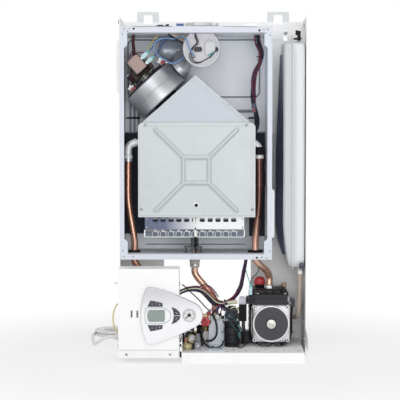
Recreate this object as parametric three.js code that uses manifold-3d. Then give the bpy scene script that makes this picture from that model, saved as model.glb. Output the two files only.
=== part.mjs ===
// A wall-hung gas boiler on the bench, with its front casing and the sealed chamber's cover taken off.
// Lengths are millimetres. X runs to the right, Y from the front to the wall, Z up from the floor.
// Places are measured from the casing's centre line, the tray's front face and the floor.
import * as THREE from "three";
import { mergeVertices } from "three/addons/utils/BufferGeometryUtils.js";
import Module from "manifold-3d";

const wasm = await Module();
wasm.setup();

// Driving sizes
const CASE_WIDTH = 400;
const FRAME_HEIGHT = 728;
const SIDE_X = CASE_WIDTH / 2;
const WALL_Y = 225;
const SIDE_FRONT_Y = 83;
const SHEET = 1.2;
const SEAT = 0.3;
const OVERRUN = 4;
const PIPE_RADIUS = 7.5;
const CORD_RADIUS = 3.5;

// Numbers of sides on round pieces and of steps along tubes
const ROUND = 20;
const SMALL_ROUND = 12;
const FINE_ROUND = 24;
const WIDE_ROUND = 32;
const TUBE_SIDES = 8;
const HEX = 6;
const CURVE_STEPS = 2;
const FINE_STEPS = 5;
const BEND_STEPS = 9;
const EDGE_STEPS = 3;
const PIPE_STEPS = 30;
const LENGTH_STEPS = 2000;
const APART_RADII = 8;
const TUBE_STEPS = 44;
const WIRE_STEPS = 20;

const PANEL = {
  leftFlange: 90,
  rightFlange: 115,
  flareTop: 46,
  flareBottom: 24,
  flareStart: 62,
  hookHeight: 11,
  hookDepth: 14,
  bossProud: 8,
  bossLow: 561,
  bossHigh: 682,
  bossFront: 100,
  bossBack: 200,
};

const RAIL = {
  width: 394,
  height: 38,
  tabHeight: 23,
  tabWidth: 49,
  tabX: 145,
  tabCorner: 4,
  holeWidth: 20,
  holeHeight: 20,
  holeRise: 7,
};

const TRAY = { left: -64.6, right: 192, height: 21.4 };

const CHAMBER = {
  left: -197,
  openLeft: -189.2,
  right: 117.2,
  low: 220.8,
  high: 694.7,
  front: 69,
  flangeLeft: -198.3,
  flangeRight: 126,
  flangeLow: 210.6,
  flangeHigh: 706.9,
  lip: 9,
  gusset: 7,
  gussetHeight: 34,
  bossProud: 14,
  bossLow: 250,
  bossHigh: 367,
  bossFront: 76,
  bossBack: 200,
  bossSlope: 9,
};

const COMBUSTION = {
  left: -152.4,
  right: 80.6,
  low: 300,
  high: 502.8,
  front: 93.8,
  back: 200,
  bracketHeight: 22,
  bracketWidth: 40,
};

const COVER = {
  left: -160.7,
  right: 90.8,
  front: 92,
  corner: 11,
  squareHalf: 28,
  squareZ: 402,
  beadRadius: 3.2,
  beadReachX: 86,
  beadReachZ: 89,
  holeRadius: 5,
  holeZ: 325.5,
  screwRadius: 4,
  screwInset: 9,
  screwHeight: 1.6,
};

const LINING = { thick: 10, topGap: 6 };

const EXCHANGER = {
  low: 440,
  height: 56,
  finGap: 5,
  finCount: 13,
  finDepth: 22,
  tubeY: 120,
  tubeZ: 460,
  endGap: 3,
  bend: 17,
  bendShare: 1 / 3,
  leftX: -184,
  rightX: 100,
  stubLow: 425,
};

const HOOD = {
  apexX: -38,
  apexZ: 604.7,
  front: 95,
  back: 205,
  stripWidth: 7,
  stripProud: 1.2,
  slopeDrop: 2.4,
};

const FAN = {
  x: -123.5,
  y: 150,
  z: 574,
  tilt: 42.5,
  radius: 62,
  halfDepth: 27,
  wall: 1.2,
  eyeRadius: 26,
  shaftHole: 5,
  outletHalf: 20,
  neckRadius: 30,
  neckLength: 5,
  seamProud: 1.5,
  seamWidth: 2,
};

const IMPELLER = {
  radius: 54,
  disc: 2,
  low: -8,
  bladeHeight: 20,
  bladeInner: 34,
  bladeThick: 1.6,
  bladeCount: 12,
  shaftRadius: 3,
  shaftTop: 50,
  hubRadius: 9,
};

const FAN_MOTOR = {
  barHalfWidth: 9,
  barLow: 33,
  barThick: 3,
  footLeft: -36,
  footRight: 51,
  footHalf: 8,
  footTop: 44,
  coreHalf: 29,
  coreLow: 42,
  coreHigh: 64,
  coreFront: -8,
  coreBack: 32,
  armThick: 10,
  armFront: -30,
  neckHalf: 8,
};

const FAN_COIL = { left: -8, right: 22, low: 50, high: 86, front: -42 };

const DUCT = {
  radius: 23,
  wall: 1.5,
  collarX: -25,
  collarY: 158,
  boreRadius: 30,
  collarRadius: 37,
  collarTop: 720,
  rimRadius: 44,
  rimThick: 2,
};

const SWITCH = {
  x: -24.5,
  z: 661,
  front: 88,
  thick: 15,
  radius: 40.5,
  bandHalf: 27,
  bandHeight: 10,
  bandThick: 3,
  coverLeft: 8,
  coverHalf: 14,
  coverReach: 26,
  coverProud: 7,
  slotHalf: 9,
  slotHeight: 11,
  slotX: -7,
  slotDepth: 3,
  nippleX: -17,
  nippleZ: -15,
  nippleRadius: 3,
  nippleLength: 9,
};

const PRESSURE_TUBE = { radius: 2.6, left: -127, right: -50, front: 73, back: 116, low: 630, high: 687 };

const BURNER = {
  left: -147,
  right: 67.3,
  low: 272.5,
  front: 100,
  back: 196,
  holeCount: 11,
  holePitch: 16.9,
  holeWidth: 10.6,
  holeLow: 287,
  holeHeight: 8,
  barThick: 7,
  barDrop: 9,
  endThick: 3,
};

const MANIFOLD = {
  low: 256.5,
  height: 11,
  front: 92,
  depth: 11,
  nozzleRadius: 3,
  nozzleLength: 6,
  finHeight: 4,
};

const ELECTRODE = {
  x: -37.5,
  spread: 3.2,
  y: 96,
  radius: 2.2,
  crossLow: 288,
  plugLow: 258,
  plugRadius: 2.8,
  plugHigh: 273,
  crossHeight: 6,
};

const GROMMET = { rim: 4.5, neck: 3, drop: 3, pipeGap: 0.4, holeGap: 1, flowRadius: 14, returnRadius: 17 };

const GAS = {
  x: -40,
  y: 150,
  glandTopRadius: 14,
  glandLowRadius: 9.5,
  glandLow: 186,
  endX: 4.5,
  endY: 140,
};

const VALVE = {
  left: -9,
  right: 26,
  front: 108,
  top: 78,
  footLeft: -17,
  footRight: 22.5,
  footFront: 15,
  headBack: 162,
  headLow: 54,
  knobX: 9.2,
  knobZ: 84,
  knobRadius: 5.5,
  knobFront: 92,
  knobPost: 8,
};

const WATER = {
  left: -62,
  right: 78,
  front: 122,
  back: 150,
  high: 50,
  nutX: -51,
  nutY: 104,
  nutRadius: 11,
  nutHeight: 11,
  stubRadius: 4,
  stubHeight: 14,
  reliefX: -17,
  reliefZ: 77,
  reliefRadius: 8,
  reliefFront: 87,
};

const RELIEF_KNOB = { radius: 11.5, front: 71, lobes: 6, lobeRadius: 2.5 };

const ACTUATOR = {
  x: 41,
  y: 90,
  radius: 17,
  bodyTop: 76,
  headHalfX: 15,
  headHalfY: 13,
  headTop: 104,
  capRadius: 9,
  capTop: 109,
};

const SENSOR = {
  width: 14,
  front: 84,
  back: 112,
  high: 110,
  plugHigh: 128,
  plugFront: 88,
  plugBack: 104,
};

const PUMP = {
  x: 125,
  z: 71.5,
  housingHalf: 41,
  housingCorner: 12,
  housingFront: 86,
  housingBack: 131,
  ringRadius: 39.5,
  ringFront: 76,
  faceRadius: 35.4,
  faceThick: 1.4,
  faceDepth: 2.2,
  capRadius: 9.8,
  capFront: 71,
  capSlot: 2,
  capSlotDepth: 1.2,
  rotorRadius: 23,
  rotorFront: 93,
  rotorBack: 127,
  shaftRadius: 4,
  shaftFront: 80,
  wheelRadius: 29,
  wheelFront: 137,
  wheelThick: 9,
  boreGap: 1,
  cavityGap: 3,
};

const VOLUTE = {
  left: 86,
  right: 165,
  front: 131.3,
  back: 196,
  top: 141,
  portX: 123.5,
  portY: 152,
  portRadius: 11,
  portHeight: 7,
  hosePortZ: 76,
  hosePortY: 156,
};

const TERMINAL = {
  left: 91.7,
  right: 160,
  front: 79,
  back: 112,
  frontTop: 134,
  backTop: 139,
  sideLeft: 71,
  sideHigh: 130,
  sideBack: 104,
};

const VENT = { x: 103, y: 172, radius: 12.5, height: 21, knurls: 10, knurlRadius: 2, capGap: 3 };

const VESSEL = {
  left: SIDE_X - 49.5,
  seam: SIDE_X - 29.4,
  right: SIDE_X - 3,
  front: 88,
  back: 212,
  low: 190,
  high: 677,
  corner: 22,
  edge: 7,
  wall: 1.6,
  flange: 4,
  tabTop: 694,
  tabHeight: 40,
  tabLowShare: 0.12,
  tabHighShare: 0.8,
};

const HOSE = { radius: 4.6, nutRadius: 9, nutHeight: 9, x: SIDE_X - 12, y: 110 };

const LOOM = {
  chamberRadius: 5.5,
  chamberRight: 104,
  chamberFront: 138,
  chamberBack: 142,
  chamberLow: 483,
  lowerRadius: 7,
  branchLeft: -86,
  branchFront: 77,
  branchLow: 100,
  branchHigh: 146,
  meetX: 20,
  meetY: 95,
  dropRadius: 5,
  dropX: 73,
  dropY: 150,
  sides: 7,
};

const BOX = {
  left: -198,
  right: -71,
  low: 9.5,
  high: 197,
  back: 66,
  wall: 2.5,
  foldZ: 21,
  foldDepth: 3,
  slotLeftX: -172,
  slotRightX: -160,
  slotWidth: 4,
  slotHigh: 110,
  slotLow: 95,
};

const EARTH = { radius: 1.8, reach: 14, front: 45, back: 48, low: 56, high: 118 };

const PIVOT = {
  x: -52,
  z: 52,
  pinRadius: 4,
  pinGap: 0.15,
  armFront: 58,
  armThick: 4,
  eyeRadius: 9,
  headRadius: 6.5,
  headThick: 3,
  plateFront: 70,
  plateThick: 2.5,
  plateHalf: 12,
  plateTop: 66,
  footBack: 90,
};

const FASCIA = {
  thick: 15,
  bevel: 3,
  cornerX: -137.5,
  topZ: 160,
  lowZ: 40,
  bowX: -149,
  tipX: -21.5,
  tipZ: 101.5,
  tipRadius: 27,
  tipAngle: 58,
  shoulderX: -96,
  shoulderTopZ: 156,
  shoulderLowZ: 46,
  cornerRadius: 6,
};

const DISPLAY = { left: -136.3, right: -99.9, low: 88.6, high: 113, depth: 3, proud: 1, corner: 3 };

const GAUGE = {
  x: -49.3,
  z: 102.1,
  radius: 14,
  depth: 7,
  dial: 2,
  rim: 1.2,
  needleLength: 10.5,
  needleTail: 3.5,
  needleWidth: 1.2,
  needleThick: 0.7,
  hubRadius: 3,
  pinRadius: 1.1,
  dialGap: 0.9,
  restAngle: 225,
};

const KEY = {
  travel: 1.2,
  proud: 1.6,
  thick: 5,
  gap: 0.35,
  spare: 0.5,
};

const KEY_FIELDS = {
  upper: { left: -135.4, right: -104.6, low: 120.4, high: 132.4 },
  lower: { left: -135.4, right: -104.6, low: 69.2, high: 81.2 },
  crescent: { left: -85.6, right: -67.4, low: 84, high: 119 },
};

const GLAND = {
  y: 205,
  z: 24,
  nutRadius: 10,
  nutLength: 6,
  taperRadius: 7.5,
  tipRadius: 5.2,
  taperLength: 18,
  neckRadius: 6,
  neckReach: 3.6,
};

const COIL = {
  x: -236,
  y: 398,
  outerRadius: 46.5,
  pitch: 7.8,
  turnsPerLayer: 2.5,
  climbTurns: 0.5,
  lift: 7.8,
  startAngle: 180,
  stepsPerTurn: 24,
  sides: 6,
};

// Finishes: colour, roughness and metalness
const LOOKS = {
  paint: [0xe9ecee, 0.45, 0],
  galvanised: [0xc3cad4, 0.4, 0.6],
  aluminised: [0xc9d0d2, 0.5, 0.4],
  stainless: [0xb9b5ad, 0.3, 0.9],
  copper: [0xc08463, 0.35, 0.9],
  silver: [0xc9cccf, 0.35, 0.8],
  brass: [0xb59a5c, 0.35, 0.9],
  lamination: [0x4a3c36, 0.6, 0.5],
  coilTape: [0xcdb3a9, 0.7, 0],
  whitePlastic: [0xeeeeee, 0.4, 0],
  blackPlastic: [0x222326, 0.5, 0],
  greyKey: [0x55575f, 0.5, 0],
  display: [0x8fa19a, 0.2, 0],
  redPlastic: [0xc53a40, 0.4, 0],
  paleSwitch: [0xd5d2d2, 0.5, 0],
  blueRubber: [0x6d9bd0, 0.4, 0],
  blackRubber: [0x1c1c1e, 0.8, 0],
  greyRubber: [0xc9c6c2, 0.7, 0],
  castSilver: [0xc4c4c2, 0.5, 0.7],
  ceramic: [0xf1f0ec, 0.5, 0],
  fibre: [0xe4ded2, 0.95, 0],
  vessel: [0xe6e5e1, 0.45, 0],
  hose: [0xbdb0a2, 0.7, 0],
  wiring: [0x2b2c44, 0.6, 0],
  earth: [0xd8cf55, 0.6, 0],
  lead: [0xdcdcda, 0.5, 0],
  dial: [0xe4e4e2, 0.4, 0],
  plate: [0x55575c, 0.5, 0.3],
};

const boiler = new THREE.Group();
const fanGroup = new THREE.Group();
fanGroup.position.set(FAN.x, FAN.y, FAN.z);
fanGroup.rotation.y = THREE.MathUtils.degToRad(-FAN.tilt);
boiler.add(fanGroup);

// Turns a closed three.js geometry into a solid whose faces point outwards.
function solid(geometry) {
  const bare = geometry.index ? geometry.toNonIndexed() : geometry.clone();
  bare.deleteAttribute("normal");
  bare.deleteAttribute("uv");
  const merged = mergeVertices(bare, 1e-4);
  const corners = merged.index.array;
  const triangles = [];
  for (let i = 0; i < corners.length; i += 3) {
    const [a, b, c] = [corners[i], corners[i + 1], corners[i + 2]];
    if (a !== b && b !== c && c !== a) triangles.push(a, b, c);
  }
  const vertProperties = new Float32Array(merged.attributes.position.array);
  const build = (list) =>
    new wasm.Manifold(
      new wasm.Mesh({ numProp: 3, vertProperties, triVerts: new Uint32Array(list) }),
    );
  const made = build(triangles);
  return made.volume() < 0 ? build(triangles.reverse()) : made;
}

// Joins solids into one.
function join(...solids) {
  return solids.reduce((whole, next) => whole.add(next));
}

// Cuts every tool out of the first solid.
function cut(whole, ...tools) {
  return tools.reduce((left, tool) => left.subtract(tool), whole);
}

// Adds a solid to a group as a named mesh with its own material.
function piece(name, look, body, group = boiler) {
  const { numProp, numVert, vertProperties, triVerts } = body.getMesh();
  const places = new Float32Array(numVert * 3);
  for (let i = 0; i < numVert; i++) {
    places.set(vertProperties.subarray(i * numProp, i * numProp + 3), i * 3);
  }
  const geometry = new THREE.BufferGeometry();
  geometry.setAttribute("position", new THREE.BufferAttribute(places, 3));
  geometry.setIndex(new THREE.BufferAttribute(new Uint32Array(triVerts), 1));
  geometry.computeVertexNormals();
  const [color, roughness, metalness] = LOOKS[look];
  const material = new THREE.MeshStandardMaterial({ color, roughness, metalness });
  const mesh = new THREE.Mesh(geometry, material);
  mesh.name = name;
  group.add(mesh);
  return mesh;
}

// A block between two places on each axis.
function block([x0, x1], [y0, y1], [z0, z1]) {
  const geometry = new THREE.BoxGeometry(x1 - x0, y1 - y0, z1 - z0);
  geometry.translate((x0 + x1) / 2, (y0 + y1) / 2, (z0 + z1) / 2);
  return solid(geometry);
}

// A round rod between two points, with a second radius where it tapers.
function rod(from, to, radius, sides = ROUND, endRadius = radius) {
  const start = new THREE.Vector3(...from);
  const end = new THREE.Vector3(...to);
  const along = end.clone().sub(start);
  const geometry = new THREE.CylinderGeometry(endRadius, radius, along.length(), sides);
  const turn = new THREE.Quaternion();
  turn.setFromUnitVectors(new THREE.Vector3(0, 1, 0), along.clone().normalize());
  geometry.applyQuaternion(turn);
  const middle = start.add(end).divideScalar(2);
  geometry.translate(middle.x, middle.y, middle.z);
  return solid(geometry);
}

// A round hole's tool: its flats, not its corners, lie at the radius.
function bore(from, to, radius, sides = ROUND) {
  return rod(from, to, radius / Math.cos(Math.PI / sides), sides);
}

function shapeOf(outline) {
  return new THREE.Shape(outline.map(([a, b]) => new THREE.Vector2(a, b)));
}

// An outline of [x, z] points, or a Shape, given depth along Y.
function slabY(outline, [y0, y1], bevel = 0, curveSegments = CURVE_STEPS) {
  const shape = Array.isArray(outline) ? shapeOf(outline) : outline;
  const geometry = new THREE.ExtrudeGeometry(shape, {
    depth: y1 - y0 - 2 * bevel,
    bevelEnabled: bevel > 0,
    bevelThickness: bevel,
    bevelSize: bevel,
    bevelOffset: -bevel,
    bevelSegments: 2,
    curveSegments,
  });
  geometry.rotateX(Math.PI / 2);
  geometry.translate(0, y1 - bevel, 0);
  return solid(geometry);
}

// An outline of [y, z] points, or a Shape, given depth along X.
function slabX(outline, [x0, x1]) {
  const shape = Array.isArray(outline) ? shapeOf(outline) : outline;
  const geometry = new THREE.ExtrudeGeometry(shape, {
    depth: x1 - x0,
    bevelEnabled: false,
    curveSegments: CURVE_STEPS,
  });
  geometry.rotateX(Math.PI / 2);
  geometry.rotateZ(Math.PI / 2);
  geometry.translate(x0, 0, 0);
  return solid(geometry);
}

// A rectangle with rounded corners, as a Shape.
function rounded(a0, a1, b0, b1, corner) {
  const shape = new THREE.Shape();
  shape.moveTo(a0 + corner, b0);
  shape.lineTo(a1 - corner, b0);
  shape.absarc(a1 - corner, b0 + corner, corner, -Math.PI / 2, 0, false);
  shape.lineTo(a1, b1 - corner);
  shape.absarc(a1 - corner, b1 - corner, corner, 0, Math.PI / 2, false);
  shape.lineTo(a0 + corner, b1);
  shape.absarc(a0 + corner, b1 - corner, corner, Math.PI / 2, Math.PI, false);
  shape.lineTo(a0, b0 + corner);
  shape.absarc(a0 + corner, b0 + corner, corner, Math.PI, Math.PI * 1.5, false);
  return shape;
}

// Places between two corners, each given as its share of the way along every axis.
function between(start, end, shares) {
  return shares.map((place) => place.map((share, axis) => start[axis] + (end[axis] - start[axis]) * share));
}

function circleShape(radius, sides) {
  const corners = [];
  for (let i = 0; i < sides; i++) {
    const angle = (i / sides) * 2 * Math.PI;
    corners.push([radius * Math.cos(angle), radius * Math.sin(angle)]);
  }
  return shapeOf(corners);
}

// A round tube of solid section that follows a curve.
function tubeAlong(curve, radius, steps, sides = TUBE_SIDES) {
  const geometry = new THREE.ExtrudeGeometry(circleShape(radius, sides), {
    steps,
    extrudePath: curve,
    bevelEnabled: false,
  });
  return solid(geometry);
}

function curveOf(points) {
  const places = points.map(([x, y, z]) => new THREE.Vector3(x, y, z));
  return new THREE.CatmullRomCurve3(places, false, "centripetal");
}

// A shape turned round an upright axis at a place, from [radius, z] points that start and end on the axis.
function turned(profile, at = [0, 0], sides = ROUND) {
  const points = profile.map(([radius, z]) => new THREE.Vector2(radius, z));
  const geometry = new THREE.LatheGeometry(points, sides);
  geometry.rotateX(Math.PI / 2);
  geometry.translate(at[0], at[1], 0);
  return solid(geometry);
}

// An upright ring between two radii.
function ring(inner, outer, [z0, z1], at = [0, 0], sides = ROUND) {
  const section = [
    [inner, z0],
    [outer, z0],
    [outer, z1],
    [inner, z1],
    [inner, z0],
  ];
  return turned(section, at, sides);
}

// An upright rod at a place.
function post([x, y], radius, [z0, z1], sides = ROUND, topRadius = radius) {
  return rod([x, y, z0], [x, y, z1], radius, sides, topRadius);
}

// Frame

const FLANGE_Y = [WALL_Y - SHEET, WALL_Y];
const HOLE_LOW = FRAME_HEIGHT + RAIL.tabHeight - RAIL.holeRise - RAIL.holeHeight;
const FLANGE_Z = [0, HOLE_LOW - SHEET];

// A flat-topped bulge on a panel that faces left or right, as a tool or a skin.
function sideBoss(baseX, proud, low, high, front, back, slope) {
  const outline = [
    [baseX, low],
    [baseX + proud, low + slope],
    [baseX + proud, high - slope],
    [baseX, high],
  ];
  return slabY(outline, [front, back]);
}

function leftPanel() {
  const { leftFlange, bossProud, bossLow, bossHigh, bossFront, bossBack, hookHeight, hookDepth } = PANEL;
  const outline = [
    [SIDE_FRONT_Y, 0],
    [WALL_Y, 0],
    [WALL_Y, FRAME_HEIGHT],
    [SIDE_FRONT_Y + hookDepth, FRAME_HEIGHT],
    [SIDE_FRONT_Y, FRAME_HEIGHT + hookHeight],
  ];
  const web = slabX(outline, [-SIDE_X, -SIDE_X + SHEET]);
  const flange = block([-SIDE_X, -SIDE_X + leftFlange], FLANGE_Y, FLANGE_Z);
  const bossReach = -bossProud - SHEET;
  const boss = sideBoss(-SIDE_X + SHEET, bossReach, bossLow, bossHigh, bossFront, bossBack, bossProud);
  const hollow = sideBoss(
    -SIDE_X + SHEET + OVERRUN,
    -bossProud - OVERRUN,
    bossLow + SHEET - OVERRUN,
    bossHigh - SHEET + OVERRUN,
    bossFront + SHEET,
    bossBack - SHEET,
    bossProud + OVERRUN,
  );
  const holeStart = [-SIDE_X - OVERRUN, GLAND.y, GLAND.z];
  const glandHole = bore(holeStart, [-SIDE_X + OVERRUN, GLAND.y, GLAND.z], GLAND.neckRadius);
  return cut(join(web, flange, boss), hollow, glandHole);
}

function rightPanel() {
  const { rightFlange, flareStart, flareTop, flareBottom, hookHeight, hookDepth } = PANEL;
  const outline = [
    [0, flareBottom],
    [SIDE_FRONT_Y, flareBottom],
    [SIDE_FRONT_Y, 0],
    [WALL_Y, 0],
    [WALL_Y, FRAME_HEIGHT],
    [SIDE_FRONT_Y + hookDepth, FRAME_HEIGHT],
    [SIDE_FRONT_Y, FRAME_HEIGHT + hookHeight],
    [SIDE_FRONT_Y, flareStart],
    [0, flareTop],
  ];
  const web = slabX(outline, [SIDE_X - SHEET, SIDE_X]);
  return join(web, block([SIDE_X - rightFlange, SIDE_X], FLANGE_Y, FLANGE_Z));
}

// The hanger rail lies flat in front of the panels' back flanges, with a holed tab at each end.
const RAIL_BACK = FLANGE_Y[0] - SEAT;
const RAIL_FRONT = RAIL_BACK - SHEET;

function hangerRail() {
  const { width, height, tabHeight, tabWidth, tabX, tabCorner, holeWidth, holeHeight } = RAIL;
  const low = FRAME_HEIGHT - height;
  const depth = [RAIL_FRONT, RAIL_BACK];
  const parts = [block([-width / 2, width / 2], depth, [low, FRAME_HEIGHT])];
  const holes = [];
  for (const x of [-tabX, tabX]) {
    const top = FRAME_HEIGHT + tabHeight;
    const tab = rounded(x - tabWidth / 2, x + tabWidth / 2, low, top, tabCorner);
    parts.push(slabY(tab, depth));
    const [left, right] = [x - holeWidth / 2, x + holeWidth / 2];
    const hole = rounded(left, right, HOLE_LOW, HOLE_LOW + holeHeight, tabCorner);
    holes.push(slabY(hole, [RAIL_FRONT - OVERRUN, RAIL_BACK + OVERRUN]));
  }
  return cut(join(...parts), ...holes);
}

// The tray is a pan turned upside down, so that the hydraulics stand on its flat top.
function bottomTray() {
  const { left, right, height } = TRAY;
  const pan = block([left, right], [0, RAIL_BACK], [0, height]);
  const inside = [
    [left + SHEET, right - SHEET],
    [SHEET, RAIL_BACK - SHEET],
    [-OVERRUN, height - SHEET],
  ];
  return cut(pan, block(...inside));
}

// A standing plate on the tray's left end carries the control box on a headed pin.
function controlBoxBracket() {
  const { x, z, pinRadius, plateFront, plateThick, plateHalf, plateTop, footBack } = PIVOT;
  const { armFront, headRadius, headThick } = PIVOT;
  const low = TRAY.height + SEAT;
  const across = [x - plateHalf, x + plateHalf];
  const plate = block(across, [plateFront, plateFront + plateThick], [low, plateTop]);
  const foot = block(across, [plateFront, footBack], [low, low + plateThick]);
  const headBack = armFront - SEAT;
  const pin = rod([x, plateFront + plateThick, z], [x, headBack, z], pinRadius);
  const head = rod([x, headBack, z], [x, headBack - headThick, z], headRadius);
  return join(plate, foot, pin, head);
}

piece("left_side_panel", "paint", leftPanel());
piece("right_side_panel", "paint", rightPanel());
piece("hanger_rail", "paint", hangerRail());
piece("bottom_tray", "paint", bottomTray());
piece("control_box_bracket", "galvanised", controlBoxBracket());

// Sealed chamber

const CHAMBER_BACK = RAIL_FRONT - SEAT;
const FLOW_PIPE_X = -170.5;
const RETURN_PIPE_X = 92.2;
const PIPE_Y = 120;
const CHAMBER_FLOOR = CHAMBER.low + SHEET;

function chamberShell() {
  const c = CHAMBER;
  const skin = c.front + SHEET;
  const walls = block([c.left, c.right], [c.front, CHAMBER_BACK], [c.low, c.high]);
  const flange = block([c.flangeLeft, c.flangeRight], [c.front, skin], [c.flangeLow, c.flangeHigh]);
  const lips = cut(
    block([c.flangeLeft, c.flangeRight], [c.front, c.front + c.lip], [c.flangeLow, c.flangeHigh]),
    block(
      [c.flangeLeft + SHEET, c.flangeRight - SHEET],
      [skin, c.front + c.lip + OVERRUN],
      [c.flangeLow + SHEET, c.flangeHigh - SHEET],
    ),
  );
  const levels = [CHAMBER_FLOOR, c.high - SHEET];
  const inside = block([c.left + SHEET, c.right - SHEET], [skin, CHAMBER_BACK - SHEET], levels);
  const opening = block([c.openLeft, c.right - SHEET], [c.front - OVERRUN, skin + OVERRUN], levels);
  const gussets = [];
  for (const [wall, side] of [
    [c.openLeft, 1],
    [c.right - SHEET, -1],
  ]) {
    for (const [level, up] of [
      [CHAMBER_FLOOR, 1],
      [c.high - SHEET, -1],
    ]) {
      const reach = side * c.gusset;
      const outline = [
        [wall - side * SHEET, level - up * SHEET],
        [wall + reach, level - up * SHEET],
        [wall + reach, level + up * (c.gussetHeight - c.gusset)],
        [wall - side * SHEET, level + up * c.gussetHeight],
      ];
      gussets.push(slabY(outline, [c.front, skin]));
    }
  }
  const boss = sideBoss(
    c.right - SHEET,
    c.bossProud + SHEET,
    c.bossLow,
    c.bossHigh,
    c.bossFront + SHEET,
    c.bossBack,
    c.bossSlope,
  );
  const hollow = sideBoss(
    c.right - SHEET - OVERRUN,
    c.bossProud + OVERRUN,
    c.bossLow + SHEET - OVERRUN / 2,
    c.bossHigh - SHEET + OVERRUN / 2,
    c.bossFront + 2 * SHEET,
    c.bossBack - SHEET,
    c.bossSlope + OVERRUN / 2,
  );
  const through = (x, y, radius) =>
    bore([x, y, c.low - OVERRUN], [x, y, CHAMBER_FLOOR + OVERRUN], radius);
  const holes = [
    through(FLOW_PIPE_X, PIPE_Y, GROMMET.flowRadius - GROMMET.neck),
    through(RETURN_PIPE_X, PIPE_Y, GROMMET.returnRadius - GROMMET.neck),
    through(GAS.x, GAS.y, PIPE_RADIUS + GROMMET.holeGap),
    bore(
      [DUCT.collarX, DUCT.collarY, c.high - SHEET - OVERRUN],
      [DUCT.collarX, DUCT.collarY, c.high + OVERRUN],
      DUCT.collarRadius + SEAT,
    ),
  ];
  return cut(join(cut(join(walls, flange, lips, boss), inside, opening), ...gussets), hollow, ...holes);
}

piece("chamber_shell", "galvanised", chamberShell());

// The flue collar: a duct from the fan to a round collar above the chamber.
const FAN_TURN = THREE.MathUtils.degToRad(FAN.tilt);
const FAN_AXIS = new THREE.Vector3(-Math.sin(FAN_TURN), 0, Math.cos(FAN_TURN));
const FAN_SLOPE = new THREE.Vector3(Math.cos(FAN_TURN), 0, Math.sin(FAN_TURN));

// A point in the fan's own frame: along the slope, along the depth and along the shaft.
function fromFan(slope, depth, shaft) {
  const place = new THREE.Vector3(FAN.x, FAN.y + depth, FAN.z);
  return place.addScaledVector(FAN_SLOPE, slope).addScaledVector(FAN_AXIS, shaft).toArray();
}

function flueCollar() {
  const d = DUCT;
  const start = fromFan(FAN.radius + SEAT, 0, 0);
  const run = fromFan(FAN.radius + d.radius, 0, 0);
  const route = (from, high) =>
    curveOf([from, run, [d.collarX, d.collarY, CHAMBER.high - 2 * d.radius], [d.collarX, d.collarY, high]]);
  const skin = tubeAlong(route(start, CHAMBER.high), d.radius, BEND_STEPS, SMALL_ROUND);
  const before = fromFan(FAN.radius - OVERRUN, 0, 0);
  const inner = tubeAlong(route(before, d.collarTop - SHEET), d.radius - d.wall, BEND_STEPS, SMALL_ROUND);
  const centre = [d.collarX, d.collarY];
  const collar = post(centre, d.collarRadius, [CHAMBER.high - SHEET, d.collarTop]);
  const rim = post(centre, d.rimRadius, [CHAMBER.high + SEAT, CHAMBER.high + SEAT + d.rimThick]);
  const mouth = bore([...centre, CHAMBER.high + OVERRUN], [...centre, d.collarTop + OVERRUN], d.boreRadius);
  return cut(join(skin, collar, rim), inner, mouth);
}

piece("flue_collar", "stainless", flueCollar());

// Combustion section

const CASING_MIDDLE = (COMBUSTION.left + COMBUSTION.right) / 2;

// Half-round beads: a square in the middle and a ray from each of its corners.
function coverBeads() {
  const { front, squareHalf, squareZ, beadRadius, beadReachX, beadReachZ } = COVER;
  const bead = (x0, z0, x1, z1) => rod([x0, front, z0], [x1, front, z1], beadRadius, TUBE_SIDES);
  const beads = [];
  for (const side of [-1, 1]) {
    const x = CASING_MIDDLE + side * squareHalf;
    const z = squareZ + side * squareHalf;
    beads.push(bead(x, squareZ - squareHalf, x, squareZ + squareHalf));
    beads.push(bead(CASING_MIDDLE - squareHalf, z, CASING_MIDDLE + squareHalf, z));
    for (const up of [-1, 1]) {
      const start = [x, squareZ + up * squareHalf];
      beads.push(bead(...start, CASING_MIDDLE + side * beadReachX, squareZ + up * beadReachZ));
    }
  }
  return join(...beads);
}

function combustionCover() {
  const { left, right, front, corner, holeRadius, holeZ, screwRadius, screwInset, screwHeight } = COVER;
  const { low, high } = COMBUSTION;
  const back = front + SHEET;
  const outline = rounded(left, right, low - corner, high, corner);
  const depth = [front - OVERRUN, back + OVERRUN];
  const square = block([left - OVERRUN, right + OVERRUN], depth, [low - 2 * corner, low]);
  const plate = cut(slabY(outline, [front, back]), square);
  const beads = cut(coverBeads(), block([left, right], [back, back + COVER.beadRadius * 2], [low, high]));
  const heads = [];
  for (const x of [left + screwInset, right - screwInset]) {
    for (const z of [low + screwInset, high - screwInset]) {
      heads.push(rod([x, back, z], [x, front - screwHeight, z], screwRadius, SMALL_ROUND));
    }
  }
  const [holeFront, holeBack] = depth.map((y) => [CASING_MIDDLE, y, holeZ]);
  const peep = bore(holeFront, holeBack, holeRadius, SMALL_ROUND);
  return cut(join(plate, beads, ...heads), peep);
}

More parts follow.
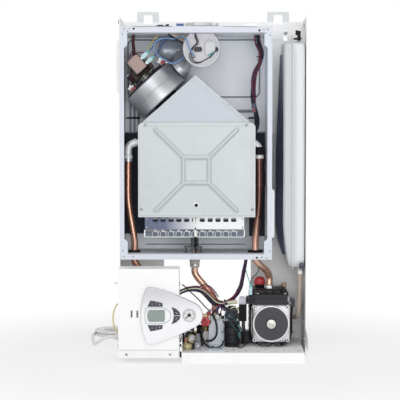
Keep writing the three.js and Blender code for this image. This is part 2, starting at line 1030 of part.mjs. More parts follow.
// The casing is open at the front, the top and the bottom; two rear brackets carry it.
function combustionCasing() {
  const { left, right, low, high, front, back, bracketHeight, bracketWidth } = COMBUSTION;
  const frontFace = front - SEAT;
  const walls = block([left, right], [frontFace, back], [low, high]);
  const inside = block(
    [left + SHEET, right - SHEET],
    [frontFace - OVERRUN, back - SHEET],
    [low - OVERRUN, high + OVERRUN],
  );
  const brackets = [low, high - bracketHeight].map((z) =>
    block(
      [CASING_MIDDLE - bracketWidth / 2, CASING_MIDDLE + bracketWidth / 2],
      [back - SHEET, CHAMBER_BACK - SHEET - SEAT],
      [z, z + bracketHeight],
    ),
  );
  const holes = [
    [left - OVERRUN, left + OVERRUN],
    [right - OVERRUN, right + OVERRUN],
  ].map(([x0, x1]) =>
    bore(
      [x0, EXCHANGER.tubeY, EXCHANGER.tubeZ],
      [x1, EXCHANGER.tubeY, EXCHANGER.tubeZ],
      PIPE_RADIUS + GROMMET.holeGap,
    ),
  );
  return cut(join(walls, ...brackets), inside, ...holes);
}

const LINING_LEFT = COMBUSTION.left + SHEET + SEAT;
const LINING_RIGHT = COMBUSTION.right - SHEET - SEAT;
const LINING_BACK = COMBUSTION.back - SHEET - SEAT;

function insulationLining() {
  const { low, front } = COMBUSTION;
  const levels = [low + SEAT, EXCHANGER.low - LINING.topGap];
  const outside = block([LINING_LEFT, LINING_RIGHT], [front, LINING_BACK], levels);
  const inside = block(
    [LINING_LEFT + LINING.thick, LINING_RIGHT - LINING.thick],
    [front - OVERRUN, LINING_BACK - LINING.thick],
    [levels[0] - OVERRUN, levels[1] + OVERRUN],
  );
  return cut(outside, inside);
}

// A finned block with a plated elbow at each end.
function heatExchanger() {
  const e = EXCHANGER;
  const left = LINING_LEFT + e.endGap;
  const right = LINING_RIGHT - e.endGap;
  const high = e.low + e.height;
  const core = block([left, right], [COMBUSTION.front, LINING_BACK], [e.low, high]);
  const pitch = (right - left) / e.finCount;
  const slots = [];
  for (let i = 0; i < e.finCount; i++) {
    const x = left + pitch * (i + 1 / 2);
    const across = [x - e.finGap / 2, x + e.finGap / 2];
    const depth = [COMBUSTION.front - OVERRUN, LINING_BACK + OVERRUN];
    slots.push(block(across, depth, [e.low - OVERRUN, e.low + e.finDepth]));
    slots.push(block(across, depth, [high - e.finDepth, high + OVERRUN]));
  }
  const elbow = (inner, outer, side) => {
    const points = [
      [inner, e.tubeY, e.tubeZ],
      [outer - side * e.bend, e.tubeY, e.tubeZ],
      [outer - side * e.bend * e.bendShare, e.tubeY, e.tubeZ - e.bend * e.bendShare],
      [outer, e.tubeY, e.tubeZ - e.bend],
      [outer, e.tubeY, e.stubLow],
    ];
    const collarLevels = [e.stubLow, e.stubLow + PIPE_RADIUS];
    const collar = post([outer, e.tubeY], PIPE_RADIUS + GROMMET.holeGap, collarLevels, SMALL_ROUND);
    return join(tubeAlong(curveOf(points), PIPE_RADIUS, SMALL_ROUND), collar);
  };
  const ends = [elbow(left + e.bend, e.leftX, -1), elbow(right - e.bend, e.rightX, 1)];
  return join(cut(core, ...slots), ...ends);
}

// A hollow triangular hood, open at the bottom, with a round hole to the fan in its left slope.
const HOOD_LOW = COMBUSTION.high + SEAT;

function flueHood() {
  const { apexX, apexZ, front, back, stripWidth, stripProud, slopeDrop } = HOOD;
  const { left, right } = COMBUSTION;
  const outline = [
    [left, HOOD_LOW],
    [right, HOOD_LOW],
    [apexX, apexZ],
  ];
  const inner = [
    [left, HOOD_LOW - slopeDrop],
    [right, HOOD_LOW - slopeDrop],
    [apexX, apexZ - slopeDrop],
  ];
  const slope = new THREE.Vector2(apexX - right, apexZ - HOOD_LOW).normalize();
  const strip = [
    [right, HOOD_LOW],
    [apexX, apexZ],
    [apexX - slope.y * stripWidth, apexZ + slope.x * stripWidth],
    [right - slope.y * stripWidth, HOOD_LOW],
  ];
  const body = join(slabY(outline, [front, back]), slabY(strip, [front - stripProud, front + SHEET]));
  const hole = bore(fromFan(0, 0, 0), fromFan(0, 0, -FAN.halfDepth * 2), FAN.eyeRadius, FINE_ROUND);
  return cut(body, slabY(inner, [front + SHEET, back - SHEET]), hole);
}

piece("combustion_cover", "aluminised", combustionCover());
piece("combustion_casing", "aluminised", combustionCasing());
piece("insulation_lining", "fibre", insulationLining());
piece("heat_exchanger", "silver", heatExchanger());
piece("flue_hood", "aluminised", flueHood());

// Fan, in its own frame: the shaft runs along its Z, and the hood's slope along its X

function outletCut() {
  const { radius, outletHalf } = FAN;
  return block([radius / 2, radius + OVERRUN], [-outletHalf, outletHalf], [-outletHalf, outletHalf]);
}

function fanCasing(lower) {
  const { radius, halfDepth, wall, eyeRadius, shaftHole, seamProud, seamWidth } = FAN;
  const side = lower ? -1 : 1;
  const holeRadius = lower ? eyeRadius : shaftHole;
  const end = side * halfDepth;
  const seam = (side * SEAT) / 2;
  const section = [
    [holeRadius, end],
    [radius, end],
    [radius, seam + side * seamWidth],
    [radius + seamProud, seam + side * seamWidth],
    [radius + seamProud, seam],
    [radius - wall, seam],
    [radius - wall, end - side * wall],
    [holeRadius, end - side * wall],
    [holeRadius, end],
  ];
  const cup = turned(section, [0, 0], WIDE_ROUND);
  return cut(cup, outletCut());
}

// The lower half's neck stands on the hood.
function fanNeck() {
  const { neckRadius, neckLength, eyeRadius, halfDepth, wall } = FAN;
  return ring(eyeRadius, neckRadius, [-halfDepth - neckLength, -halfDepth + wall / 2], [0, 0]);
}

function fanImpeller() {
  const i = IMPELLER;
  const plate = [i.low, i.low + i.disc];
  const parts = [post([0, 0], i.radius, plate), post([0, 0], i.hubRadius, [i.low, i.low + i.bladeHeight])];
  for (let k = 0; k < i.bladeCount; k++) {
    const geometry = new THREE.BoxGeometry(i.radius - i.bladeInner, i.bladeThick, i.bladeHeight);
    geometry.translate((i.radius + i.bladeInner) / 2 - i.disc, 0, i.low + i.bladeHeight / 2);
    geometry.rotateZ((k / i.bladeCount) * 2 * Math.PI);
    parts.push(solid(geometry));
  }
  parts.push(post([0, 0], i.shaftRadius, [i.low, i.shaftTop], SMALL_ROUND));
  return join(...parts);
}

// A bar on two feet, the laminated core, and two arms beside the coil.
function fanMotor() {
  const m = FAN_MOTOR;
  const foot = FAN.halfDepth + SEAT;
  const feet = [m.footLeft, m.footRight].map((x) =>
    block([x - m.footHalf, x + m.footHalf], [-m.barHalfWidth, m.barHalfWidth], [foot, m.footTop]),
  );
  const barDepth = [-m.barHalfWidth, m.barHalfWidth];
  const bar = block([m.footLeft, m.footRight], barDepth, [m.barLow, m.barLow + m.barThick]);
  const core = block([-m.coreHalf, m.coreHalf], [m.coreFront, m.coreBack], [m.coreLow, m.coreHigh]);
  const neckLevels = [m.barLow, m.coreLow + m.barThick];
  const neck = block([-m.neckHalf, m.neckHalf], [m.coreFront, m.barHalfWidth], neckLevels);
  const arms = [
    [FAN_COIL.left - SEAT - m.armThick, FAN_COIL.left - SEAT],
    [FAN_COIL.right + SEAT, FAN_COIL.right + SEAT + m.armThick],
  ].map((across) => block(across, [m.armFront, m.coreFront + SHEET], [m.coreLow, m.coreHigh]));
  const shaftRadius = IMPELLER.shaftRadius + SEAT;
  const shaftWay = bore([0, 0, m.barLow - OVERRUN], [0, 0, m.coreHigh - OVERRUN], shaftRadius, SMALL_ROUND);
  return cut(join(...feet, bar, core, neck, ...arms), shaftWay);
}

function fanCoil() {
  const { left, right, low, high, front } = FAN_COIL;
  return block([left, right], [front, FAN_MOTOR.coreFront - SEAT], [low, high]);
}

piece("fan_casing_lower", "stainless", join(fanCasing(true), fanNeck()), fanGroup);
piece("fan_casing_upper", "stainless", fanCasing(false), fanGroup);
piece("fan_impeller", "aluminised", fanImpeller(), fanGroup);
piece("fan_motor", "lamination", fanMotor(), fanGroup);
piece("fan_motor_coil", "coilTape", fanCoil(), fanGroup);

// Air pressure switch: a disc hung from the chamber's ceiling by a band, with its cover and nipple in front

function pressureSwitch() {
  const s = SWITCH;
  const back = s.front + s.thick;
  const middle = s.front + s.thick / 2;
  const ceiling = CHAMBER.high - SHEET - SEAT;
  const disc = rod([s.x, s.front, s.z], [s.x, back, s.z], s.radius);
  const rear = rod([s.x, back, s.z], [s.x, back + s.bandThick, s.z], s.radius - s.bandThick);
  const bandLevels = [ceiling - s.bandHeight, ceiling];
  const band = block([s.x - s.bandHalf, s.x + s.bandHalf], [middle, middle + s.bandThick], bandLevels);
  const depth = [s.front - OVERRUN, back + OVERRUN];
  const clipped = block([s.x - s.radius, s.x + s.radius], depth, [ceiling, s.z + s.radius + OVERRUN]);
  const cover = block(
    [s.x + s.coverLeft, s.x + s.coverLeft + s.coverReach],
    [s.front - s.coverProud, s.front + SHEET],
    [s.z - s.coverHalf, s.z + s.coverHalf],
  );
  const slot = block(
    [s.x + s.slotX - s.slotHalf, s.x + s.slotX + s.slotHalf],
    [s.front - OVERRUN, s.front + s.slotDepth],
    [s.z - s.slotHeight / 2, s.z + s.slotHeight / 2],
  );
  const nipple = rod(
    [s.x + s.nippleX, s.front + SHEET, s.z + s.nippleZ],
    [s.x + s.nippleX, s.front - s.nippleLength, s.z + s.nippleZ],
    s.nippleRadius,
    SMALL_ROUND,
  );
  return cut(join(disc, rear, band, cover, nipple), clipped, slot);
}

// The sensing tube leaves the nipple and loops round in front of the duct.
const TUBE_LOOP_SHARES = [
  [1, 0.01, 0.53],
  [0.92, 0.09, 0.84],
  [0.79, 0.35, 1],
  [0.66, 0.7, 0.96],
  [0.53, 0.86, 0.93],
  [0.38, 0.81, 0.95],
  [0.14, 0.72, 0.89],
  [0, 0.67, 0.68],
  [0.1, 0.65, 0.35],
  [0.29, 0.6, 0.14],
  [0.51, 0.56, 0],
  [0.7, 0.67, 0.09],
  [0.84, 0.91, 0.28],
  [0.91, 1, 0.53],
];

function pressureTube() {
  const s = SWITCH;
  const t = PRESSURE_TUBE;
  const start = [s.x + s.nippleX, s.front - s.nippleLength - SEAT, s.z + s.nippleZ];
  const ahead = [start[0], start[1] - 2 * t.radius, start[2]];
  const loop = between([t.left, t.front, t.low], [t.right, t.back, t.high], TUBE_LOOP_SHARES);
  return tubeAlong(curveOf([start, ahead, ...loop]), t.radius, TUBE_STEPS, HEX);
}

piece("pressure_switch", "paleSwitch", pressureSwitch());
piece("pressure_tube", "blueRubber", pressureTube());

// Burner

const BURNER_HIGH = COMBUSTION.low - SEAT;
const BURNER_MIDDLE = (BURNER.left + BURNER.right) / 2;

function burnerPlaces() {
  const { holeCount, holePitch } = BURNER;
  return Array.from({ length: holeCount }, (_, i) => BURNER_MIDDLE + (i - (holeCount - 1) / 2) * holePitch);
}

// A holed front plate and a rear plate joined by one burner bar behind each hole.
function burnerRack() {
  const b = BURNER;
  const across = [b.left, b.right];
  const front = block(across, [b.front, b.front + SHEET], [b.low, BURNER_HIGH]);
  const back = block(across, [b.back - b.endThick, b.back], [b.low, BURNER_HIGH]);
  const barDepth = [b.front + SHEET / 2, b.back - SHEET];
  const bars = burnerPlaces().map((x) =>
    block([x - b.barThick / 2, x + b.barThick / 2], barDepth, [b.low, BURNER_HIGH - b.barDrop]),
  );
  const holes = burnerPlaces().map((x) =>
    block(
      [x - b.holeWidth / 2, x + b.holeWidth / 2],
      [b.front - OVERRUN, b.front + SHEET],
      [b.holeLow, b.holeLow + b.holeHeight],
    ),
  );
  return cut(join(front, back, ...bars), ...holes);
}

// A square gas rail under the rack's front edge, with a nozzle under each bar.
function gasManifold() {
  const m = MANIFOLD;
  const high = m.low + m.height;
  const back = m.front + m.depth;
  const rail = block([BURNER.left, BURNER.right], [m.front, back], [m.low, high]);
  const nozzleZ = high - m.nozzleRadius;
  const finLevels = [high - SHEET, BURNER.low - SEAT];
  const nozzles = burnerPlaces().map((x) =>
    rod([x, back - SHEET, nozzleZ], [x, back + m.nozzleLength, nozzleZ], m.nozzleRadius, HEX),
  );
  const fins = burnerPlaces().map((x) =>
    block([x - m.nozzleRadius, x + m.nozzleRadius], [back - m.finHeight, back - SHEET], finLevels),
  );
  const inletWidth = [GAS.x - PIPE_RADIUS, GAS.x + PIPE_RADIUS];
  const inlet = block(inletWidth, [back - SHEET, GAS.y + PIPE_RADIUS], [m.low, high - SHEET]);
  return join(rail, ...nozzles, ...fins, inlet);
}

// Two ceramic rods on a cross bar, standing in front of the rack, over the plug of the lead.
function ignitionElectrode() {
  const e = ELECTRODE;
  const levels = [e.crossLow, e.crossLow + e.crossHeight];
  const cross = block([e.x - e.spread, e.x + e.spread], [e.y, BURNER.front - SEAT], levels);
  const rods = [-1, 1].map((side) => {
    const place = [e.x + side * e.spread, e.y];
    return post(place, e.radius, [e.crossLow, COMBUSTION.low - SEAT], SMALL_ROUND);
  });
  const plugPlace = [e.x, MANIFOLD.front - SEAT - e.plugRadius];
  const plug = post(plugPlace, e.plugRadius, [e.plugLow, e.plugHigh], SMALL_ROUND);
  const stem = rod(
    [...plugPlace, e.plugHigh - e.radius],
    [e.x, e.y, e.crossLow + e.crossHeight / 2],
    e.radius / 2,
    HEX,
  );
  return join(cross, ...rods, plug, stem);
}

piece("burner_rack", "galvanised", burnerRack());
piece("gas_manifold", "galvanised", gasManifold());
piece("ignition_electrode", "ceramic", ignitionElectrode());

// Water pipes, with rubber grommets where they pass the chamber's floor

function grommet(x, radius) {
  const { rim, neck, drop, pipeGap } = GROMMET;
  const inner = (PIPE_RADIUS + pipeGap) / Math.cos(Math.PI / ROUND);
  const neckRadius = radius - neck - SEAT;
  const section = [
    [inner, CHAMBER.low - drop],
    [neckRadius, CHAMBER.low - drop],
    [neckRadius, CHAMBER_FLOOR + SEAT],
    [radius, CHAMBER_FLOOR + SEAT],
    [radius, CHAMBER_FLOOR + SEAT + rim / 2],
    [inner + neck / 2, CHAMBER_FLOOR + SEAT + rim],
    [inner, CHAMBER_FLOOR + SEAT + rim],
    [inner, CHAMBER.low - drop],
  ];
  return turned(section, [x, PIPE_Y]);
}

const STUB_LOW = EXCHANGER.stubLow - SEAT;
const BAR_MIDDLE_Y = (WATER.front + WATER.back) / 2;
const BAR_LOW = TRAY.height + SEAT;
const BAR_MIDDLE_Z = (BAR_LOW + WATER.high) / 2;

// Each pipe's knees, as shares of the way between two ends
const RISER_SHARES = [
  [0, 0, 0.17],
  [0, 0, 0.42],
  [0.26, 0, 0.57],
  [0.74, 0, 0.76],
  [1, 0, 0.87],
  [1, 0, 0.99],
];
const FLOW_SHARES = [
  [0, 0, 0.09],
  [0.07, 0.06, 0.17],
  [0.28, 0.38, 0.36],
  [0.53, 0.75, 0.68],
  [0.65, 1, 0.91],
  [0.8, 1, 1],
];
const RETURN_SHARES = [
  [0, 0, 0.2],
  [0.25, 0.12, 0.36],
  [0.76, 0.56, 0.56],
  [1, 1, 0.76],
];
const GAS_SHARES = [
  [0, 0, 0.12],
  [0, 0, 0.32],
  [0, 0, 0.4],
  [0, 0, 0.45],
  [0.12, 0, 0.51],
  [0.52, 0, 0.63],
  [0.9, 0.3, 0.75],
  [1, 1, 0.84],
];

// A pipe from the heat exchanger's stub through the chamber's floor to its lower end.
function waterPipe(stubX, floorX, lowerShares, end) {
  const stub = [stubX, PIPE_Y, STUB_LOW];
  const floor = [floorX, PIPE_Y, CHAMBER_FLOOR];
  const riser = between(stub, floor, RISER_SHARES);
  const route = [stub, ...riser, ...between(floor, end, lowerShares), end];
  return tubeAlong(curveOf(route), PIPE_RADIUS, PIPE_STEPS);
}

function flowPipe() {
  const end = [WATER.left - SEAT, BAR_MIDDLE_Y, BAR_MIDDLE_Z];
  return waterPipe(EXCHANGER.leftX, FLOW_PIPE_X, FLOW_SHARES, end);
}

function returnPipe() {
  const end = [VOLUTE.portX, VOLUTE.portY, VOLUTE.top + VOLUTE.portHeight + SEAT];
  return waterPipe(EXCHANGER.rightX, RETURN_PIPE_X, RETURN_SHARES, end);
}

// The gas pipe rises through a tapered gland to the manifold's inlet.
function gasPipe() {
  const start = [GAS.x, GAS.y, MANIFOLD.low - SEAT];
  const end = [GAS.endX, GAS.endY, VALVE.top + SEAT];
  return tubeAlong(curveOf([start, ...between(start, end, GAS_SHARES), end]), PIPE_RADIUS, PIPE_STEPS);
}

function gasGland() {
  const { x, y, glandTopRadius, glandLowRadius, glandLow } = GAS;
  const inner = (PIPE_RADIUS + GROMMET.pipeGap) / Math.cos(Math.PI / ROUND);
  const top = CHAMBER.low - SEAT;
  const section = [
    [inner, glandLow],
    [glandLowRadius, glandLow],
    [glandTopRadius, top - GROMMET.rim],
    [glandTopRadius, top],
    [inner, top],
    [inner, glandLow],
  ];
  return turned(section, [x, y]);
}

piece("flow_grommet", "blackRubber", grommet(FLOW_PIPE_X, GROMMET.flowRadius));
piece("return_grommet", "blackRubber", grommet(RETURN_PIPE_X, GROMMET.returnRadius));
piece("flow_pipe", "copper", flowPipe());
piece("return_pipe", "copper", returnPipe());
piece("gas_pipe", "copper", gasPipe());
piece("gas_gland", "greyRubber", gasGland());

// Hydraulics on the tray

function gasValve() {
  const v = VALVE;
  const across = [v.left, v.right];
  const plate = block(across, [v.front, v.front + 2 * SHEET], [BAR_LOW, v.top]);
  const footDepth = [v.footFront, v.front + 2 * SHEET];
  const foot = block([v.footLeft, v.footRight], footDepth, [BAR_LOW, BAR_LOW + SHEET]);
  const body = block(across, [v.front, WATER.front - SEAT], [BAR_LOW, v.top]);
  const head = block(across, [v.front, v.headBack], [v.headLow, v.top]);
  const knobPost = block(
    [v.knobX - v.knobPost / 2, v.knobX + v.knobPost / 2],
    [v.front, v.front + v.knobPost],
    [v.top - SHEET, v.knobZ + v.knobPost / 2],
  );
  const knobBack = [v.knobX, v.front + SHEET, v.knobZ];
  const knob = rod(knobBack, [v.knobX, v.knobFront, v.knobZ], v.knobRadius, SMALL_ROUND);
  return join(plate, foot, body, head, knobPost, knob);
}

// A brass bar with the union at its left, and the relief valve standing on it.
function waterGroup() {
  const w = WATER;
  const bar = block([w.left, w.right], [w.front, w.back], [BAR_LOW, w.high]);
  const nutTop = BAR_LOW + w.nutHeight;
  const nut = post([w.nutX, w.nutY], w.nutRadius, [BAR_LOW, nutTop], HEX);
  const stub = post([w.nutX, w.nutY], w.stubRadius, [BAR_LOW, nutTop + w.stubHeight], SMALL_ROUND);
  const bridgeWidth = [w.nutX - w.stubRadius, w.nutX + w.stubRadius];
  const bridge = block(bridgeWidth, [w.nutY, w.front + SHEET], [BAR_LOW, nutTop - SHEET]);
  const riserLevels = [w.high - SHEET, w.reliefZ + w.reliefRadius];
  const riser = post([w.reliefX, BAR_MIDDLE_Y], w.reliefRadius, riserLevels, SMALL_ROUND);
  const noseEnd = [w.reliefX, w.reliefFront, w.reliefZ];
  const nose = rod([w.reliefX, BAR_MIDDLE_Y, w.reliefZ], noseEnd, w.reliefRadius, SMALL_ROUND);
  return join(bar, nut, stub, bridge, riser, nose);
}

// A ribbed cap that turns on the relief valve's nose.
function reliefKnob() {
  const { radius, front, lobes, lobeRadius } = RELIEF_KNOB;
  const { reliefX, reliefZ, reliefFront } = WATER;
  const back = reliefFront - SEAT;
  const parts = [rod([reliefX, front, reliefZ], [reliefX, back, reliefZ], radius - lobeRadius)];
  for (let i = 0; i < lobes; i++) {
    const angle = (i / lobes) * 2 * Math.PI;
    const x = reliefX + (radius - lobeRadius) * Math.cos(angle);
    const z = reliefZ + (radius - lobeRadius) * Math.sin(angle);
    parts.push(rod([x, front, z], [x, back, z], lobeRadius, TUBE_SIDES));
  }
  return join(...parts);
}

function diverterActuator() {
  const a = ACTUATOR;
  const place = [a.x, a.y];
  const body = post(place, a.radius, [BAR_LOW, a.bodyTop]);
  const head = block(
    [a.x - a.headHalfX, a.x + a.headHalfX],
    [a.y - a.headHalfY, a.y + a.headHalfY],
    [a.bodyTop - SHEET, a.headTop],
  );
  const cap = post(place, a.capRadius, [a.headTop - SHEET, a.capTop], SMALL_ROUND);
  const armWidth = [a.x - a.capRadius, a.x + a.capRadius];
  const arm = block(armWidth, [a.y, WATER.front - SEAT], [BAR_LOW, WATER.high - SHEET]);
  return join(body, head, cap, arm);
}

// The flow sensor is clipped between the actuator's head and the pump's wiring block.
function flowSensor() {
  const s = SENSOR;
  const left = ACTUATOR.x + ACTUATOR.headHalfX + SEAT;
  const across = [left, left + s.width - SEAT];
  const body = block(across, [s.front, s.back], [ACTUATOR.bodyTop + SEAT, s.high]);
  const plugWidth = [left, left + s.width - 2 * SEAT];
  const plug = block(plugWidth, [s.plugFront, s.plugBack], [s.high - SHEET, s.plugHigh]);
  return join(body, plug);
}

piece("gas_valve", "galvanised", gasValve());
piece("water_group", "brass", waterGroup());
piece("relief_valve_knob", "redPlastic", reliefKnob());
piece("diverter_actuator", "blackPlastic", diverterActuator());
piece("flow_sensor", "blackPlastic", flowSensor());

// Pump: a motor in front of a housing that stands on the tray

function aboutPump(radius, front, back, sides = ROUND) {
  return rod([PUMP.x, back, PUMP.z], [PUMP.x, front, PUMP.z], radius, sides);
}

function pumpMotor() {
  const p = PUMP;
  const half = p.housingHalf;
  const square = rounded(p.x - half, p.x + half, p.z - half, p.z + half, p.housingCorner);
  const body = slabY(square, [p.housingFront, p.housingBack]);
  const bezel = aboutPump(p.ringRadius, p.ringFront, p.housingFront + SHEET, WIDE_ROUND);
  const recess = aboutPump(p.faceRadius + SEAT, p.ringFront - OVERRUN, p.ringFront + p.faceDepth, WIDE_ROUND);
  const shaftBore = aboutPump(p.shaftRadius + SEAT, p.ringFront - OVERRUN, p.rotorFront);
  const rotorWay = aboutPump(p.rotorRadius + p.boreGap, p.rotorFront - p.boreGap, p.housingBack + OVERRUN);
  return cut(join(body, bezel), recess, shaftBore, rotorWay);
}

function pumpFacePlate() {
  const p = PUMP;
  const back = p.ringFront + p.faceDepth - SEAT;
  const plate = aboutPump(p.faceRadius, back - p.faceThick, back);
  return cut(plate, aboutPump(p.shaftRadius + p.boreGap, back - p.faceThick - OVERRUN, back + OVERRUN));
}

// The slotted bleed screw in the middle of the motor's face.
function pumpBleedCap() {
  const p = PUMP;
  const back = p.ringFront + p.faceDepth - p.faceThick - 2 * SEAT;
  const slot = block(
    [p.x - p.capRadius - OVERRUN, p.x + p.capRadius + OVERRUN],
    [p.capFront - OVERRUN, p.capFront + p.capSlotDepth],
    [p.z - p.capSlot / 2, p.z + p.capSlot / 2],
  );
  return cut(aboutPump(p.capRadius, p.capFront, back), slot);
}

// Rotor, shaft and wheel turn as one.
function pumpRotor() {
  const p = PUMP;
  const rotor = aboutPump(p.rotorRadius, p.rotorFront, p.rotorBack);
  const shaft = aboutPump(p.shaftRadius, p.shaftFront, p.wheelFront + SHEET);
  const wheel = aboutPump(p.wheelRadius, p.wheelFront, p.wheelFront + p.wheelThick);
  return join(rotor, shaft, wheel);
}

function pumpVolute() {
  const v = VOLUTE;
  const p = PUMP;
  const body = block([v.left, v.right], [v.front, v.back], [BAR_LOW, v.top]);
  const cavityBack = p.wheelFront + p.wheelThick + p.cavityGap;
  const cavity = aboutPump(p.wheelRadius + p.cavityGap, v.front - OVERRUN, cavityBack);
  const port = post([v.portX, v.portY], v.portRadius, [v.top - SHEET, v.top + v.portHeight], FINE_ROUND);
  const linkLevels = [BAR_LOW, WATER.high - SHEET];
  const link = block([WATER.right + SEAT, v.left + SHEET], [v.front + SHEET, WATER.back], linkLevels);
  return join(cut(body, cavity), port, link);
}

function pumpTerminalBox() {
  const t = TERMINAL;
  const low = PUMP.z + PUMP.housingHalf + SEAT;
  const outline = [
    [t.front, low],
    [t.back, low],
    [t.back, t.backTop],
    [t.front, t.frontTop],
  ];
  const sideLevels = [low + SHEET, t.sideHigh];
  const side = block([t.sideLeft, t.left + SHEET], [t.front + SHEET, t.sideBack], sideLevels);
  return join(slabX(outline, [t.left, t.right]), side);
}

// The red cap of the automatic air vent, knurled, on top of the housing.
function airVentCap() {
  const v = VENT;
  const low = VOLUTE.top + SEAT;
  const parts = [post([v.x, v.y], v.radius - v.knurlRadius / 2, [low, low + v.height])];
  for (let i = 0; i < v.knurls; i++) {
    const angle = (i / v.knurls) * 2 * Math.PI;
    const place = [
      v.x + (v.radius - v.knurlRadius) * Math.cos(angle),
      v.y + (v.radius - v.knurlRadius) * Math.sin(angle),
    ];
    parts.push(post(place, v.knurlRadius, [low, low + v.height - v.capGap], HEX));
  }
  return join(...parts);
}

piece("pump_motor", "castSilver", pumpMotor());
piece("pump_face_plate", "plate", pumpFacePlate());
piece("pump_bleed_cap", "silver", pumpBleedCap());
piece("pump_rotor", "castSilver", pumpRotor());
piece("pump_volute", "blackPlastic", pumpVolute());
piece("pump_terminal_box", "blackPlastic", pumpTerminalBox());
piece("air_vent_cap", "redPlastic", airVentCap());

// Expansion vessel: two flat pans face to face, with a flange round the seam

// One pan: its flat side stands away from the seam, and its edge slopes back to it.
function vesselPan(seamX, faceX) {
  const v = VESSEL;
  const away = Math.sign(faceX - seamX);
  const layer = (inset, reach) => {
    const [front, back] = [v.front + inset, v.back - inset];
    const outline = rounded(front, back, v.low + inset, v.high - inset, v.corner - inset / 2);
    const ends = [seamX, faceX - away * reach].sort((a, b) => a - b);
    return slabX(outline, ends);
  };
  const skins = [];
  for (let i = 0; i <= EDGE_STEPS; i++) {
    const turn = ((i / EDGE_STEPS) * Math.PI) / 2;
    skins.push(layer(v.edge * (1 - Math.cos(turn)), v.edge * (1 - Math.sin(turn))));
  }
  return cut(join(...skins), layer(v.edge + v.wall, v.wall));
}

function vesselShell(seamX, faceX, flangeX, tabs) {
  const v = VESSEL;
  const [front, back] = [v.front - v.flange, v.back + v.flange];
  const outline = rounded(front, back, v.low - v.flange, v.high + v.flange, v.corner + v.flange);
  const ends = [seamX, flangeX].sort((a, b) => a - b);
  const hole = rounded(v.front + v.edge, v.back - v.edge, v.low + v.edge, v.high - v.edge, v.corner);
  const flange = cut(slabX(outline, ends), slabX(hole, [ends[0] - OVERRUN, ends[1] + OVERRUN]));
  return join(vesselPan(seamX, faceX), flange, ...tabs.map(([y, z]) => block(ends, y, z)));
}

// The right shell's flange carries tabs that reach the wall flange and stand up at the top.
function vesselTabs() {
  const v = VESSEL;
  const height = v.high - v.low;
  const reach = [v.back, FLANGE_Y[0] - SEAT];
  const wallTabs = [v.tabLowShare, v.tabHighShare].map((share) => {
    const low = v.low + height * share;
    return [reach, [low, low + v.tabHeight]];
  });
  const middle = (v.front + v.back) / 2;
  return [...wallTabs, [[middle - v.tabHeight, middle], [v.high, v.tabTop]]];
}

const HALF_SEAT = SEAT / 2;
const { seam: SEAM_X } = VESSEL;
piece(
  "vessel_shell_left",
  "vessel",
  vesselShell(SEAM_X - HALF_SEAT, VESSEL.left, SEAM_X - HALF_SEAT - VESSEL.wall, []),
);
piece(
  "vessel_shell_right",
  "vessel",
  vesselShell(SEAM_X + HALF_SEAT, VESSEL.right, SEAM_X + HALF_SEAT + VESSEL.wall, vesselTabs()),
);

const HOSE_SHARES = [
  [0, 0, 0.2],
  [0.04, 0.02, 0.51],
  [0.09, 0.13, 0.77],
  [0.13, 0.43, 0.92],
  [0.26, 0.78, 0.99],
  [0.57, 1, 1],
];

function vesselHose() {
  const h = HOSE;
  const v = VOLUTE;
  const top = VESSEL.low - VESSEL.flange - SEAT;
  const nut = post([h.x, h.y], h.nutRadius, [top - h.nutHeight, top], HEX);
  const stem = post([h.x, h.y], h.radius, [top - h.nutHeight, VESSEL.low - SEAT], SMALL_ROUND);
  const start = [h.x, h.y, top - h.nutHeight / 2];
  const end = [v.right + SEAT, v.hosePortY, v.hosePortZ];
  const route = [start, ...between(start, end, HOSE_SHARES), end];
  return join(nut, stem, tubeAlong(curveOf(route), h.radius, WIRE_STEPS));
}

piece("vessel_hose", "hose", vesselHose());

// Wiring looms

// Each loom's places, as shares of the way between the corners of the space that it crosses
const CHAMBER_LOOM_SHARES = [
  [0.7, 0.5, 1],
  [0.7, 0.5, 0.96],
  [0.78, 0.5, 0.9],
  [1, 0.5, 0.82],
  [0.91, 0, 0.72],
  [0.48, 0, 0.6],
  [0.26, 0, 0.46],
  [0.31, 0.5, 0.32],
  [0.52, 1, 0.2],
  [0.61, 1, 0.08],
  [0.39, 1, 0],
  [0, 1, 0],
];
const BRANCH_SHARES = [
  [0, 0, 0],
  [0.02, 0.06, 0.48],
  [0.13, 0.17, 0.83],
  [0.34, 0.33, 1],
  [0.55, 0.5, 0.96],
  [0.72, 0.72, 0.67],
  [0.86, 0.89, 0.35],
  [1, 1, 0.26],
];
const DROP_SHARES = [
  [1, 1, 1],
  [1, 1, 0.91],
  [0.98, 0.93, 0.81],
  [0.89, 0.75, 0.61],
  [0.79, 0.49, 0.35],
  [0.57, 0.24, 0.17],
  [0.3, 0.07, 0.06],
  [0, 0, 0],
];

function chamberLoom() {
  const l = LOOM;
  const start = [COMBUSTION.right + SEAT, l.chamberFront, l.chamberLow];
  const end = [l.chamberRight, l.chamberBack, CHAMBER.high - SHEET - SEAT];
  const route = between(start, end, CHAMBER_LOOM_SHARES);
  return tubeAlong(curveOf(route), l.chamberRadius, PIPE_STEPS, l.sides);
}

// One branch runs from behind the control box to the valves, the other down from the chamber's floor.
function lowerLoom() {
  const l = LOOM;
  const start = [l.branchLeft, l.branchFront, l.branchLow];
  const branch = between(start, [l.meetX, l.meetY, l.branchHigh], BRANCH_SHARES);
  const meeting = branch[branch.length - 1];
  const drop = between(meeting, [l.dropX, l.dropY, CHAMBER.low - SEAT], DROP_SHARES);
  return join(
    tubeAlong(curveOf(branch), l.lowerRadius, WIRE_STEPS, l.sides),
    tubeAlong(curveOf(drop), l.dropRadius, WIRE_STEPS, l.sides),
  );
}

piece("chamber_loom", "wiring", chamberLoom());
piece("lower_loom", "wiring", lowerLoom());

// Control box: everything on it swings on the bracket's pin

